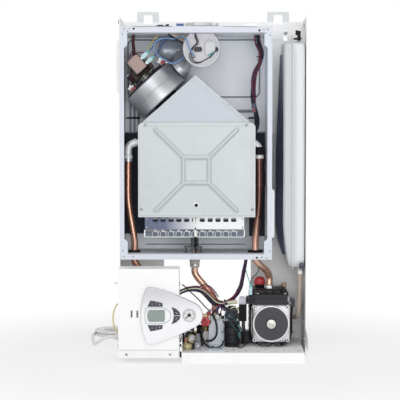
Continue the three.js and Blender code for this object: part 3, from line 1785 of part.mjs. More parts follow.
// The shell is open towards the wall; an arm on its right side reaches the pin.
function controlBoxShell() {
  const b = BOX;
  const p = PIVOT;
  const outside = block([b.left, b.right], [0, b.back], [b.foldZ, b.high]);
  const lowEnd = block([b.left, b.right], [b.foldDepth, b.back], [b.low, b.foldZ + SHEET]);
  const inside = block(
    [b.left + b.wall, b.right - b.wall],
    [b.wall + b.foldDepth, b.back + OVERRUN],
    [b.low + b.wall, b.high - b.wall],
  );
  const slots = [b.slotLeftX, b.slotRightX].map((x) =>
    block([x, x + b.slotWidth], [-OVERRUN, b.wall + b.foldDepth + OVERRUN], [b.slotLow, b.slotHigh]),
  );
  const armBack = p.armFront + p.armThick;
  const armLevels = [p.z - p.eyeRadius, p.z + p.eyeRadius];
  const arm = block([b.right - b.wall, p.x], [p.armFront, armBack], armLevels);
  const eye = rod([p.x, armBack, p.z], [p.x, p.armFront, p.z], p.eyeRadius);
  const hole = bore([p.x, armBack + OVERRUN, p.z], [p.x, p.armFront - OVERRUN, p.z], p.pinRadius + p.pinGap);
  return cut(join(cut(join(outside, lowEnd), inside, ...slots), arm, eye), hole);
}

// The fascia's outline is a rounded triangle on its side, bowed at the left and round at the tip.
function fasciaShape() {
  const f = FASCIA;
  const shape = new THREE.Shape();
  const tipCentre = f.tipX - f.tipRadius;
  const tipAngle = THREE.MathUtils.degToRad(f.tipAngle);
  const tipTop = f.tipZ + f.tipRadius * Math.sin(tipAngle);
  const tipEdge = tipCentre + f.tipRadius * Math.cos(tipAngle);
  const topCorner = [f.cornerX, f.topZ];
  const lowCorner = [f.cornerX, f.lowZ];
  const bow = [2 * f.bowX - f.cornerX, f.tipZ];
  const topShoulder = [f.shoulderX, f.shoulderTopZ];
  const lowShoulder = [f.shoulderX, f.shoulderLowZ];
  const bowTop = towards(topCorner, bow, f.cornerRadius);
  shape.moveTo(...bowTop);
  shape.quadraticCurveTo(...bow, ...towards(lowCorner, bow, f.cornerRadius));
  shape.quadraticCurveTo(...lowCorner, ...towards(lowCorner, lowShoulder, f.cornerRadius));
  shape.quadraticCurveTo(...lowShoulder, tipEdge, 2 * f.tipZ - tipTop);
  shape.absarc(tipCentre, f.tipZ, f.tipRadius, -tipAngle, tipAngle, false);
  shape.quadraticCurveTo(...topShoulder, ...towards(topCorner, topShoulder, f.cornerRadius));
  shape.quadraticCurveTo(...topCorner, ...bowTop);
  return shape;
}

// The point at a distance from one [x, z] point towards another.
function towards([x0, z0], [x1, z1], reach) {
  const share = reach / Math.hypot(x1 - x0, z1 - z0);
  return [x0 + (x1 - x0) * share, z0 + (z1 - z0) * share];
}

// Key outlines, as shares of the field that each group of keys fills
const UPPER_LEFT_SHARES = [
  [0, 0],
  [0.58, 0],
  [0.55, 0.85],
  [0.19, 1],
];
const UPPER_RIGHT_SHARES = [
  [0.62, 0],
  [1, 0],
  [0.97, 0.6],
  [0.6, 0.83],
];
const CRESCENT_SHARES = [
  [0.25, 0.53],
  [1, 0.53],
  [0.84, 0.73],
  [0.49, 0.89],
  [0, 1],
  [0.2, 0.76],
];

// The same outline upside down in its field.
function flipped(shares) {
  return shares.map(([across, up]) => [across, 1 - up]).reverse();
}

function keyOutline(shares, { left, right, low, high }) {
  return between([left, low], [right, high], shares);
}

const KEYS = {
  key_upper_left: keyOutline(UPPER_LEFT_SHARES, KEY_FIELDS.upper),
  key_upper_right: keyOutline(UPPER_RIGHT_SHARES, KEY_FIELDS.upper),
  key_lower_left: keyOutline(flipped(UPPER_LEFT_SHARES), KEY_FIELDS.lower),
  key_lower_right: keyOutline(flipped(UPPER_RIGHT_SHARES), KEY_FIELDS.lower),
  key_crescent_upper: keyOutline(CRESCENT_SHARES, KEY_FIELDS.crescent),
  key_crescent_lower: keyOutline(flipped(CRESCENT_SHARES), KEY_FIELDS.crescent),
};

// The same outline pushed outwards from its centre, for a pocket round a key.
function grown(outline, gap) {
  const middle = outline.reduce(([a, b], [x, z]) => [a + x / outline.length, b + z / outline.length], [0, 0]);
  return outline.map(([x, z]) => {
    const reach = Math.hypot(x - middle[0], z - middle[1]);
    const share = (reach + 2 * gap) / reach;
    return [middle[0] + (x - middle[0]) * share, middle[1] + (z - middle[1]) * share];
  });
}

const FASCIA_BACK = -SEAT;
const FASCIA_FRONT = FASCIA_BACK - FASCIA.thick;
const KEY_FRONT = FASCIA_FRONT - KEY.proud;
const KEY_BACK = KEY_FRONT + KEY.thick;

function fascia() {
  const d = DISPLAY;
  const g = GAUGE;
  const body = slabY(fasciaShape(), [FASCIA_FRONT, FASCIA_BACK], FASCIA.bevel, FINE_STEPS);
  const pockets = Object.values(KEYS).map((outline) =>
    slabY(grown(outline, KEY.gap), [FASCIA_FRONT - OVERRUN, KEY_BACK + KEY.travel + KEY.spare]),
  );
  const window = block(
    [d.left - SEAT, d.right + SEAT],
    [FASCIA_FRONT - OVERRUN, FASCIA_FRONT + d.depth],
    [d.low - SEAT, d.high + SEAT],
  );
  const well = rod([g.x, FASCIA_FRONT + g.depth, g.z], [g.x, FASCIA_FRONT - OVERRUN, g.z], g.radius);
  return cut(body, window, well, ...pockets);
}

function displayWindow() {
  const { left, right, low, high, depth, proud, corner } = DISPLAY;
  const shape = rounded(left, right, low, high, corner);
  return slabY(shape, [FASCIA_FRONT - proud, FASCIA_FRONT + depth - SEAT]);
}

// The gauge is a shallow cup with a pin in the middle of its dial; the needle turns on the pin.
const DIAL_Y = FASCIA_FRONT + GAUGE.depth - SEAT - GAUGE.dial;
const NEEDLE_BACK = DIAL_Y - GAUGE.dialGap;

function pressureGauge() {
  const g = GAUGE;
  const back = FASCIA_FRONT + g.depth - SEAT;
  const cup = rod([g.x, back, g.z], [g.x, FASCIA_FRONT, g.z], g.radius - SEAT);
  const hollow = rod([g.x, DIAL_Y, g.z], [g.x, FASCIA_FRONT - OVERRUN, g.z], g.radius - SEAT - g.rim);
  const pinFront = [g.x, NEEDLE_BACK - g.needleThick, g.z];
  const pin = rod([g.x, back - SHEET, g.z], pinFront, g.pinRadius, SMALL_ROUND);
  return join(cut(cup, hollow), pin);
}

function gaugeNeedle() {
  const g = GAUGE;
  const front = NEEDLE_BACK - g.needleThick;
  const turn = THREE.MathUtils.degToRad(g.restAngle);
  const along = [Math.cos(turn), Math.sin(turn)];
  const place = (reach, side) => [
    g.x + along[0] * reach - along[1] * side,
    g.z + along[1] * reach + along[0] * side,
  ];
  const outline = [
    place(-g.needleTail, -g.needleWidth),
    place(g.needleLength, -g.needleWidth / 4),
    place(g.needleLength, g.needleWidth / 4),
    place(-g.needleTail, g.needleWidth),
  ];
  const hub = rod([g.x, NEEDLE_BACK, g.z], [g.x, front - g.needleThick, g.z], g.hubRadius, SMALL_ROUND);
  const holeBack = [g.x, NEEDLE_BACK + OVERRUN, g.z];
  const hole = bore(holeBack, [g.x, front, g.z], g.pinRadius + SEAT / 2, SMALL_ROUND);
  return cut(join(slabY(outline, [front, NEEDLE_BACK]), hub), hole);
}

// A green and yellow earth wire bows out of the shell's left side.
const EARTH_SHARES = [
  [0, 0.33, 1],
  [0.29, 0.33, 1],
  [0.64, 0.33, 0.89],
  [0.93, 0, 0.68],
  [1, 0, 0.45],
  [0.78, 0.33, 0.19],
  [0.29, 1, 0],
  [0, 1, 0],
];

function earthWire() {
  const e = EARTH;
  const start = [BOX.left - SEAT, e.front, e.low];
  const route = between(start, [BOX.left - e.reach, e.back, e.high], EARTH_SHARES);
  return tubeAlong(curveOf(route), e.radius, WIRE_STEPS, HEX);
}

piece("control_box_shell", "paint", controlBoxShell());
piece("fascia", "whitePlastic", fascia());
piece("display_window", "display", displayWindow());
piece("pressure_gauge", "dial", pressureGauge());
piece("gauge_needle", "blackPlastic", gaugeNeedle());
for (const [name, outline] of Object.entries(KEYS)) {
  piece(name, "greyKey", slabY(outline, [KEY_FRONT, KEY_BACK]));
}
piece("earth_wire", "earth", earthWire());

// Mains lead: a gland in the left panel, a free stretch on the floor and a coil behind the boiler

function cordGland() {
  const g = GLAND;
  const outer = -SIDE_X - SEAT;
  const nutEnd = outer - g.nutLength;
  const nut = rod([outer, g.y, g.z], [nutEnd, g.y, g.z], g.nutRadius, HEX);
  const taperStart = [nutEnd + SHEET, g.y, g.z];
  const taper = rod(taperStart, [nutEnd - g.taperLength, g.y, g.z], g.taperRadius, SMALL_ROUND, g.tipRadius);
  const neckEnd = [-SIDE_X + g.neckReach, g.y, g.z];
  const neck = rod([outer - SHEET, g.y, g.z], neckEnd, g.neckRadius - SEAT, SMALL_ROUND);
  return join(nut, taper, neck);
}

const COIL_TURNS = 2 * COIL.turnsPerLayer + COIL.climbTurns;

// The coil spirals in on the floor, climbs in half a turn and spirals out on top.
class CoilCurve extends THREE.Curve {
  getPoint(t, target = new THREE.Vector3()) {
    const { x, y, outerRadius, pitch, turnsPerLayer, climbTurns: climb, lift, startAngle } = COIL;
    const turn = t * COIL_TURNS;
    const inward = Math.min(turn, turnsPerLayer + climb / 2);
    const outward = Math.max(0, turn - turnsPerLayer - climb / 2);
    const radius = outerRadius - pitch * (inward - outward);
    const rise = THREE.MathUtils.smoothstep(turn, turnsPerLayer, turnsPerLayer + climb);
    const angle = THREE.MathUtils.degToRad(startAngle) - turn * 2 * Math.PI;
    return target.set(
      x + radius * Math.cos(angle),
      y + radius * Math.sin(angle),
      CORD_RADIUS + lift * rise,
    );
  }
}

// The coil's route with a straight end of one diameter at each end.
class TailedCurve extends THREE.Curve {
  constructor(inner, tail) {
    super();
    this.inner = inner;
    this.tail = tail;
    this.share = tail / (inner.getLength() + 2 * tail);
  }

  getPoint(t, target = new THREE.Vector3()) {
    const { inner, tail, share } = this;
    if (t < share) {
      const back = inner.getTangentAt(0).multiplyScalar(-tail * (1 - t / share));
      return target.copy(inner.getPointAt(0)).add(back);
    }
    if (t > 1 - share) {
      const ahead = inner.getTangentAt(1).multiplyScalar(tail * (1 - (1 - t) / share));
      return target.copy(inner.getPointAt(1)).add(ahead);
    }
    return target.copy(inner.getPointAt((t - share) / (1 - 2 * share)));
  }
}

const coilRoute = new CoilCurve();
coilRoute.arcLengthDivisions = LENGTH_STEPS;
const coilPath = new TailedCurve(coilRoute, 2 * CORD_RADIUS);

// The least gap between turns of the coil, on points along its middle that lie well apart.
function leastGap(curve, radius) {
  const count = LENGTH_STEPS / 2;
  const points = curve.getSpacedPoints(count);
  const apart = Math.ceil((APART_RADII * radius * count) / curve.getLength());
  let least = Infinity;
  for (let i = 0; i < points.length; i++) {
    for (let j = i + apart; j < points.length; j++) {
      least = Math.min(least, points[i].distanceTo(points[j]));
    }
  }
  return least - 2 * radius;
}

function cordCoil() {
  const steps = Math.round(COIL_TURNS * COIL.stepsPerTurn);
  return tubeAlong(coilPath, CORD_RADIUS, steps, COIL.sides);
}

// The free stretch ends square to the coil's straight end.
const coilStart = coilPath.getPoint(0);
const coilHeading = coilPath.getTangent(0).setZ(0).normalize();
const CORD_START_X = -SIDE_X - SEAT - GLAND.nutLength - GLAND.taperLength - SEAT;
const cordEnd = coilStart.clone().addScaledVector(coilHeading, -SEAT);
const cordLast = cordEnd.clone().addScaledVector(coilHeading, -4 * CORD_RADIUS);
const cordRoute = [
  [CORD_START_X, GLAND.y, GLAND.z],
  [CORD_START_X - 7, GLAND.y, GLAND.z],
  [-243, 207, 21],
  [-258, 214, 12],
  [-267, 230, 5],
  [-272, 252, CORD_RADIUS],
  [-276, 285, CORD_RADIUS],
  [-281, 325, CORD_RADIUS],
  [-283.5, 355, CORD_RADIUS],
  cordLast.toArray(),
  cordEnd.toArray(),
];
const freeCurve = curveOf(cordRoute);

piece("cord_gland", "lead", cordGland());
piece("mains_cord", "lead", tubeAlong(freeCurve, CORD_RADIUS, PIPE_STEPS, TUBE_SIDES));
piece("cord_coil", "lead", cordCoil());

console.log("coil turns", COIL_TURNS);
console.log("coil gap, mm", leastGap(coilPath, CORD_RADIUS).toFixed(2));
console.log("cord length, mm", Math.round(freeCurve.getLength() + coilPath.getLength()));

// The origin is under the middle of the boiler, without its lead.
const CORD_NODES = ["cord_gland", "mains_cord", "cord_coil"];
const bounds = new THREE.Box3();
boiler.updateMatrixWorld(true);
boiler.traverse((mesh) => {
  if (mesh.isMesh && !CORD_NODES.includes(mesh.name)) bounds.expandByObject(mesh, true);
});
const middle = bounds.getCenter(new THREE.Vector3());
boiler.position.set(-middle.x, -middle.y, -bounds.min.z);

export default boiler;
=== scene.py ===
"""A wall-hung gas boiler, open at the front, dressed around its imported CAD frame."""

import math
import random

import bmesh
import bpy
from mathutils import Matrix, Vector


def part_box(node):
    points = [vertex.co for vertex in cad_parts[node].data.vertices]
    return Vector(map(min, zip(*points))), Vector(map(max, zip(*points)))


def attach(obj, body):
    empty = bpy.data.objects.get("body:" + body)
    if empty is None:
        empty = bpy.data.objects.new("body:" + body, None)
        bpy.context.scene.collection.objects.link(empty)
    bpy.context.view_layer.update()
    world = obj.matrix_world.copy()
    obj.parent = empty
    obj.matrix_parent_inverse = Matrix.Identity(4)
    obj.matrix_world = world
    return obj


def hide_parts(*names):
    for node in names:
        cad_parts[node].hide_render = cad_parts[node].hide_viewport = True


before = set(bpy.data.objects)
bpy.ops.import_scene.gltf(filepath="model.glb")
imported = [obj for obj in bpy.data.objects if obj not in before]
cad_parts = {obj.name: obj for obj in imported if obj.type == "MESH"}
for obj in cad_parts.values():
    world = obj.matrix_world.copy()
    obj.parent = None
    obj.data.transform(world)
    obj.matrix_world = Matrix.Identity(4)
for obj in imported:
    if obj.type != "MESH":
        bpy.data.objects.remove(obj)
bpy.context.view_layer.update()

# Places are written in millimetres from the casing's centre line, the tray's front face and the floor.
MM = 0.001
TRAY_RIGHT = 192
TRAY_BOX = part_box("bottom_tray")
ORIGIN = Vector((TRAY_BOX[1][0] - TRAY_RIGHT * MM, TRAY_BOX[0][1], 0))

# Main places of the boiler, which the sections below measure from
SIDE_X = 200
REAR_FACE = 225
CHAMBER_REAR, CHAMBER_BACK, CHAMBER_TOP = 222, 221, 706.9
FLANGE_FACE = 69
TRAY_TOP = 21.7
CASING_MIDDLE, COVER_FRONT = -35.9, 92
PIPE_RADIUS, PIPE_Y = 7.5, 120
FLOW_X, RETURN_X = -184, 100
GAS_X, GAS_Y = -40, 150
VALVE_X, VALVE_Y = 4.5, 140
PUMP_X, PUMP_Z = 125, 71.5
BOX_LEFT, BOX_RIGHT = -198, -71

ALONG_X, ALONG_Y, UP = (1, 0, 0), (0, 1, 0), (0, 0, 1)
TO_LEFT, TO_FRONT = (-1, 0, 0), (0, -1, 0)


def at(x, y, z):
    """A place in millimetres as a point of the row frame in metres."""
    return ORIGIN + Vector((x, y, z)) * MM


def limits(*nodes):
    """The lowest and highest corner of some CAD nodes, in the script's millimetres."""
    boxes = [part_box(node) for node in nodes]
    low = [min(box[0][i] for box in boxes) for i in range(3)]
    high = [max(box[1][i] for box in boxes) for i in range(3)]
    return (Vector(low) - ORIGIN) / MM, (Vector(high) - ORIGIN) / MM


# Camera
LENS = 120.5
SENSOR = 36
EYE = (0, -2781, 470)
PITCH = 2.651
YAW = 0.556


def make_camera():
    """The camera that the photograph was taken with, as near as its lines tell."""
    data = bpy.data.cameras.new("camera")
    data.lens = LENS
    data.sensor_width = SENSOR
    data.clip_start = 0.05
    data.clip_end = 50
    camera = bpy.data.objects.new("camera", data)
    camera.location = at(*EYE)
    camera.rotation_euler = (math.radians(90 - PITCH), 0, math.radians(YAW))
    bpy.context.scene.collection.objects.link(camera)
    bpy.context.scene.camera = camera


make_camera()
bpy.context.scene.view_settings.view_transform = "Standard"

# Finishes; colours are written as they look on a screen

def tint(code):
    """A colour code such as c08463 as a linear colour with full alpha."""
    parts = [int(code[i : i + 2], 16) / 255 for i in (0, 2, 4)]
    return tuple(p / 12.92 if p <= 0.04045 else ((p + 0.055) / 1.055) ** 2.4 for p in parts) + (1,)


def scaled(colour, share):
    """A lighter or darker colour."""
    return tuple(min(1, max(0, c * share)) for c in colour[:3]) + (1,)


class Nodes:
    """A node tree that links as it adds."""

    def __init__(self, tree, fresh=True):
        """Starts from an empty tree, or from the nodes that it has."""
        self.tree = tree
        if fresh:
            tree.nodes.clear()

    def add(self, kind, inputs=None, **settings):
        """A new node; each input is a value or another node's socket."""
        node = self.tree.nodes.new(kind)
        for key, value in settings.items():
            setattr(node, key, value)
        for key, value in (inputs or {}).items():
            socket = node.inputs[key]
            if isinstance(value, bpy.types.NodeSocket):
                self.tree.links.new(value, socket)
            else:
                socket.default_value = value
        return node


def coordinates(nodes, stretch):
    """Places on the object itself, so that a pattern stays on it in every view."""
    where = nodes.add("ShaderNodeTexCoord").outputs["Object"]
    return nodes.add("ShaderNodeMapping", {"Vector": where, "Scale": stretch}).outputs["Vector"]


def blended(nodes, factor, first, second, mode="MIX"):
    """A mix of two colours, each a fixed one or a socket."""
    mix = nodes.add("ShaderNodeMix", {0: factor}, data_type="RGBA", blend_type=mode)
    for index, value in ((6, first), (7, second)):
        if isinstance(value, bpy.types.NodeSocket):
            nodes.tree.links.new(value, mix.inputs[index])
        else:
            mix.inputs[index].default_value = value
    return mix.outputs[2]


def spread(nodes, value, low, high, to_low, to_high):
    """A value moved from one range to another and kept inside it."""
    inputs = {"Value": value, "From Min": low, "From Max": high, "To Min": to_low, "To Max": to_high}
    return nodes.add("ShaderNodeMapRange", inputs, clamp=True).outputs["Result"]


def finish(name, code, rough, metal=0.0, vary=0.06, patch=16, grain=700, bump=0.05, stretch=(1, 1, 1),
           dirt=None, dirt_amount=0.35, wear=None, spangle=0.0, coat=0.0, other=None, sheen=0.0, gloss=0.5):
    """A procedural material: patchy colour and roughness, fine relief, dirt in the hollows and worn edges."""
    material = bpy.data.materials.new(name)
    material.use_nodes = True
    nodes = Nodes(material.node_tree)
    base = tint(code)
    place = coordinates(nodes, stretch)
    large = nodes.add("ShaderNodeTexNoise", {"Vector": place, "Scale": patch, "Detail": 6, "Roughness": 0.62})
    fine = nodes.add("ShaderNodeTexNoise", {"Vector": place, "Scale": grain, "Detail": 3, "Roughness": 0.6})
    patches = spread(nodes, large.outputs["Fac"], 0.32, 0.68, 0, 1)
    second = tint(other) if other else scaled(base, 1 + vary)
    colour = blended(nodes, patches, scaled(base, 1 - vary), second)
    speck = spread(nodes, fine.outputs["Fac"], 0.3, 0.7, 1 - vary / 2, 1)
    colour = blended(nodes, 1.0, colour, speck, "MULTIPLY")
    if spangle:
        cells = nodes.add("ShaderNodeTexVoronoi", {"Vector": place, "Scale": 70}, feature="F1")
        tone = nodes.add("ShaderNodeSeparateColor", {"Color": cells.outputs["Color"]}).outputs["Red"]
        tone = spread(nodes, tone, 0, 1, 1 - spangle, 1)
        colour = blended(nodes, 1.0, colour, tone, "MULTIPLY")
    edges = nodes.add("ShaderNodeNewGeometry").outputs["Pointiness"]
    if dirt:
        hollow = spread(nodes, edges, 0.47, 0.5, dirt_amount, 0)
        colour = blended(nodes, hollow, colour, tint(dirt))
    if wear:
        ridge = spread(nodes, edges, 0.52, 0.58, 0, 0.6)
        colour = blended(nodes, ridge, colour, tint(wear))
    roughness = spread(nodes, large.outputs["Fac"], 0.3, 0.7, max(0.04, rough - 0.07), min(1, rough + 0.07))
    relief = nodes.add("ShaderNodeBump", {"Height": fine.outputs["Fac"], "Strength": bump,
                                          "Distance": 0.0006})
    shader = nodes.add("ShaderNodeBsdfPrincipled", {
        "Base Color": colour, "Roughness": roughness, "Normal": relief.outputs["Normal"]})
    shader.inputs["Metallic"].default_value = metal
    shader.inputs["Coat Weight"].default_value = coat
    shader.inputs["Coat Roughness"].default_value = 0.12
    shader.inputs["Sheen Weight"].default_value = sheen
    shader.inputs["Specular IOR Level"].default_value = gloss
    nodes.add("ShaderNodeOutputMaterial", {"Surface": shader.outputs["BSDF"]})
    return material


ACROSS, DEEP, TALL = 0, 1, 2


def graded(material, axis, start, end, code):
    """Turns a finish to another colour between two places along an axis, in the script's millimetres."""
    nodes = Nodes(material.node_tree, fresh=False)
    shader = next(node for node in nodes.tree.nodes if node.type == "BSDF_PRINCIPLED")
    colour = shader.inputs["Base Color"].links[0].from_socket
    place = nodes.add("ShaderNodeTexCoord").outputs["Object"]
    along = nodes.add("ShaderNodeSeparateXYZ", {"Vector": place}).outputs[axis]
    low, high = (ORIGIN[axis] + edge * MM for edge in (start, end))
    share = spread(nodes, along, low, high, 0, 1) if low < high else spread(nodes, along, high, low, 1, 0)
    nodes.tree.links.new(blended(nodes, share, colour, tint(code)), shader.inputs["Base Color"])
    return material


WHITE = finish("white_paint", "f9f9f9", 0.42, vary=0.02, grain=1400, bump=0.06)
RAIL_WHITE = graded(
    finish("rail_paint", "f9f9f9", 0.42, vary=0.02, grain=1400, bump=0.06),
    TALL, 726, 731, "dbdfe1")
GALVANISED = finish("galvanised_sheet", "c3c9d2", 0.4, 0.55, vary=0.05, patch=9, bump=0.04, spangle=0.07,
                    dirt="8f96a3", wear="dfe3e9")
# The chamber's sheet is painted lighter from just behind its front flange inwards: painted light that makes
# up for the shade inside the chamber.
CHAMBER_SHEET_PAINTED_LIGHT = graded(
    finish("chamber_sheet_painted_light", "d7dce7", 0.5, vary=0.03, patch=8, bump=0.04, spangle=0.03),
    DEEP, 71, 80, "f2f5fa")
HOOD_SHEET = finish("hood_sheet", "c0c6cd", 0.5, 0.1, vary=0.03, patch=11, grain=1000, bump=0.06,
                    spangle=0.02)
BRACKET_SHEET = finish("bracket_sheet", "4a4c52", 0.5, 0.4, vary=0.2, patch=30, bump=0.1)
BEND_METAL = finish("bend_metal", "e3e4e5", 0.42, 0.25, vary=0.05, patch=40, bump=0.1, dirt="8f9296")
SHADED_METAL = finish("shaded_metal", "7d8086", 0.42, 0.4, vary=0.1, patch=40, bump=0.1, dirt="3d4046")
# Painted shadow for the gap between the vessel and the chamber: a dark blue-grey, lighter towards the top.
GAP_PAINTED_SHADOW = graded(
    finish("gap_painted_shadow", "5a6178", 0.8, vary=0.15, patch=30, grain=900, bump=0.4, gloss=0.2),
    TALL, 520, 640, "8b919d")
JET_METAL = finish("jet_metal", "5d626c", 0.4, 0.4, vary=0.1, patch=60, bump=0.08, dirt="2f333b")
# A darker grey for pressed beads, dimples and strips, partly painted shade: on the chamber's back it draws
# the beads' shadow lines.
BEAD_GREY_WITH_PAINTED_SHADE = finish("bead_grey_with_painted_shade", "8b93a1", 0.5, vary=0.05, patch=20, bump=0.04)
ALUMINISED = finish("aluminised_sheet", "bfc4c6", 0.46, 0.2, vary=0.035, patch=11, grain=1000, bump=0.06,
                    spangle=0.03, dirt="a3a9ab", wear="e4e8e8")
STAINLESS = finish("stainless_sheet", "bcbec3", 0.42, 0.8, vary=0.07, grain=220, bump=0.05, dirt="6d6a66")
COPPER = finish("copper_tube", "c39c88", 0.27, 0.8, vary=0.16, patch=26, grain=900, bump=0.05, other="9c6653",
                stretch=(1, 1, 0.25), dirt="6b3d2c")
SILVER = finish("silver_metal", "c8cbce", 0.33, 0.85, vary=0.06, patch=40, bump=0.08, dirt="84888c")
JET_BLACK = finish("jet_plastic", "0d0d10", 0.55, vary=0.15, patch=60, grain=1600, bump=0.1, gloss=0.15)
DEEP_TEAL = finish("deep_teal", "225257", 0.45, vary=0.12, patch=60, bump=0.08, dirt="10282b")
DULL_BRASS = finish("dull_brass", "b8ad84", 0.42, 0.35, vary=0.12, patch=60, bump=0.1, dirt="5f5a3e")
ZINC = finish("zinc_plate", "f0f4f8", 0.34, 0.1, vary=0.06, patch=22, bump=0.04, other="d3dfea",
              dirt="9aa6b4")
BRASS = finish("brass", "b9a05f", 0.34, 0.85, vary=0.12, patch=60, bump=0.1, dirt="5f4f2a", wear="dcc98e")
LAMINATION = finish("lamination", "3c302c", 0.55, 0.4, vary=0.2, patch=60, grain=1200, bump=0.2,
                    dirt="171210")
COIL_TAPE = finish("coil_tape", "bea79f", 0.62, vary=0.06, patch=60, grain=1600, bump=0.25, dirt="8f7268")
WHITE_PLASTIC = finish("white_plastic", "f1f1f2", 0.36, vary=0.015, grain=2200, bump=0.05, coat=0.15,
                       dirt="cfcfd2")
BLACK = finish("black_plastic", "1a1b1e", 0.4, vary=0.18, patch=50, grain=1600, bump=0.15, dirt="08080a",
               wear="3c3d42", gloss=0.2)
SOFT_BLACK = finish("black_rubber", "18181b", 0.68, vary=0.2, patch=60, grain=1800, bump=0.2, gloss=0.2)
GREY_KEY = finish("grey_plastic", "45464f", 0.5, vary=0.1, patch=90, grain=2400, bump=0.12, wear="6b6c75",
                  gloss=0.25)
PRINT = finish("pale_print", "c9cad0", 0.5, vary=0.05, patch=90, bump=0.04)
RED = finish("red_plastic", "c8353c", 0.33, vary=0.1, patch=60, grain=1200, bump=0.08, coat=0.2,
             dirt="6f1519")
DARK_RED = finish("dark_red_plastic", "9c2630", 0.4, vary=0.12, patch=60, grain=1200, bump=0.08,
                  dirt="4d0f14")
PALE_SWITCH = finish("pale_plastic", "cfd0d4", 0.48, vary=0.04, patch=40, grain=1500, bump=0.08,
                     dirt="a29b9d")
GREY_DUCT = finish("grey_duct", "a3aab8", 0.24, 0.35, vary=0.08, patch=14, bump=0.03, other="bcc2cd",
                   dirt="5a606c")
BLUE_TUBE = finish("blue_rubber", "5b80b2", 0.4, vary=0.12, patch=50, bump=0.1, other="86a6cc", sheen=0.1)
CREAM = finish("cream_plastic", "d9d6bd", 0.5, vary=0.06, patch=60, bump=0.08)
TEAL = finish("teal_plastic", "5fb0b0", 0.4, vary=0.1, patch=60, bump=0.08, dirt="2f6b6d")
LILAC = finish("lilac_plastic", "c9c6d0", 0.45, vary=0.05, patch=60, bump=0.08, dirt="8f8c98")
CERAMIC = finish("ceramic", "f3f1ea", 0.3, vary=0.03, patch=90, grain=1500, bump=0.08, coat=0.2)
FIBRE = finish("fibre_board", "e2dccf", 0.95, vary=0.08, patch=60, grain=900, bump=0.5)
GREY_RUBBER = finish("grey_rubber", "c6c3be", 0.66, vary=0.07, patch=60, grain=1500, bump=0.15, dirt="8c8983")
CAST = finish("cast_aluminium", "b9b9b7", 0.46, 0.5, vary=0.06, patch=50, grain=1100, bump=0.5, dirt="8b8b88",
              wear="e4e4e2")
# The vessel's paint, painted greyer on its left pan as the shade that falls there.
VESSEL_PAINTED_SHADE = graded(
    finish("vessel_paint", "e0e2e5", 0.4, vary=0.025, patch=10, grain=900, bump=0.08, dirt="aaa59c"),
    ACROSS, 172, 166, "c9ccd0")
EARTH_YELLOW = finish("earth_sheath", "dccf8f", 0.42, vary=0.08, patch=60, bump=0.06, dirt="8d9a5a")
HOSE = finish("hose_rubber", "bcae9d", 0.6, vary=0.1, patch=50, grain=1300, bump=0.25, dirt="7c6f60")
LEAD = finish("lead_sheath", "f2f2f1", 0.45, vary=0.03, patch=50, grain=1500, bump=0.08, sheen=0.1,
              dirt="b7b7b4")
DIAL = finish("dial_face", "e6e6e4", 0.45, vary=0.02, patch=90, grain=2000, bump=0.04)
DARK_PLATE = finish("dark_plate", "404146", 0.42, vary=0.07, patch=40, grain=1500, bump=0.06, gloss=0.3)
DARK = finish("dark_gap", "14161c", 0.8, vary=0.2, patch=60, bump=0.1)
NAVY_SHADE = finish("navy_shade", "2b3142", 0.7, vary=0.2, patch=20, bump=0.05)
DISPLAY = finish("display_glass", "8b9a95", 0.16, vary=0.05, patch=30, bump=0.02, coat=0.6)
# The burner's front plate: pale, turning dark blue-grey towards its left end.
BURNER_PLATE_DARKER_LEFT = graded(
    finish("burner_plate_darker_left", "e3e4e8", 0.4, 0.15, vary=0.05, patch=22, bump=0.04, dirt="7b8797"),
    ACROSS, -30, -104, "56607a")
PALE_TEAL = finish("pale_teal_plastic", "b9d9de", 0.35, vary=0.08, patch=60, bump=0.06, dirt="7fa9ae")
BRACKET_BROWN = finish("oiled_bracket", "958a84", 0.42, 0.45, vary=0.16, patch=40, bump=0.08, other="6e6058",
                       dirt="3a322d")
SLOT_PLUM = finish("switch_slot", "3a2c3c", 0.5, vary=0.15, patch=60, bump=0.08)
# The return pipe's copper is lighter than the other pipes'. Above the chamber's floor it is painted dark, as
# the shade that the cover and flange cast there.
RETURN_COPPER_PAINTED_SHADE = graded(
    finish("return_copper_painted_shade", "ecc4b0", 0.3, 0.6, vary=0.1, patch=38, grain=900, other="d2a08a", dirt="6b3d2c"),
    TALL, 222, 300, "694a42")
BRIGHT_COPPER = finish("bright_copper", "e6bda8", 0.27, 0.7, vary=0.1, patch=38, grain=900, bump=0.05,
                       other="cf9c84", dirt="6b3d2c")
# The pump motor's casting, painted darker along its left side as the shade that falls there.
PUMP_MOTOR_PAINTED_SHADE = graded(
    finish("motor_casting_painted_shade", "dddadd", 0.4, 0.25, vary=0.05, patch=50, grain=1100, bump=0.35, dirt="8b8b88"),
    ACROSS, PUMP_X - 29, PUMP_X - 40, "7d7880")
RING_METAL = finish("ring_metal", "efeff1", 0.32, 0.15, vary=0.03, patch=50, bump=0.05)
CAP_METAL = finish("cap_metal", "d0cfc5", 0.3, 0.25, vary=0.05, patch=60, bump=0.08)
BRONZE = finish("bronze", "86705f", 0.5, 0.2, vary=0.12, patch=60, bump=0.1, dirt="4b3a30")
VIOLET_GREY = finish("violet_grey", "5a546a", 0.5, vary=0.12, patch=60, bump=0.1)
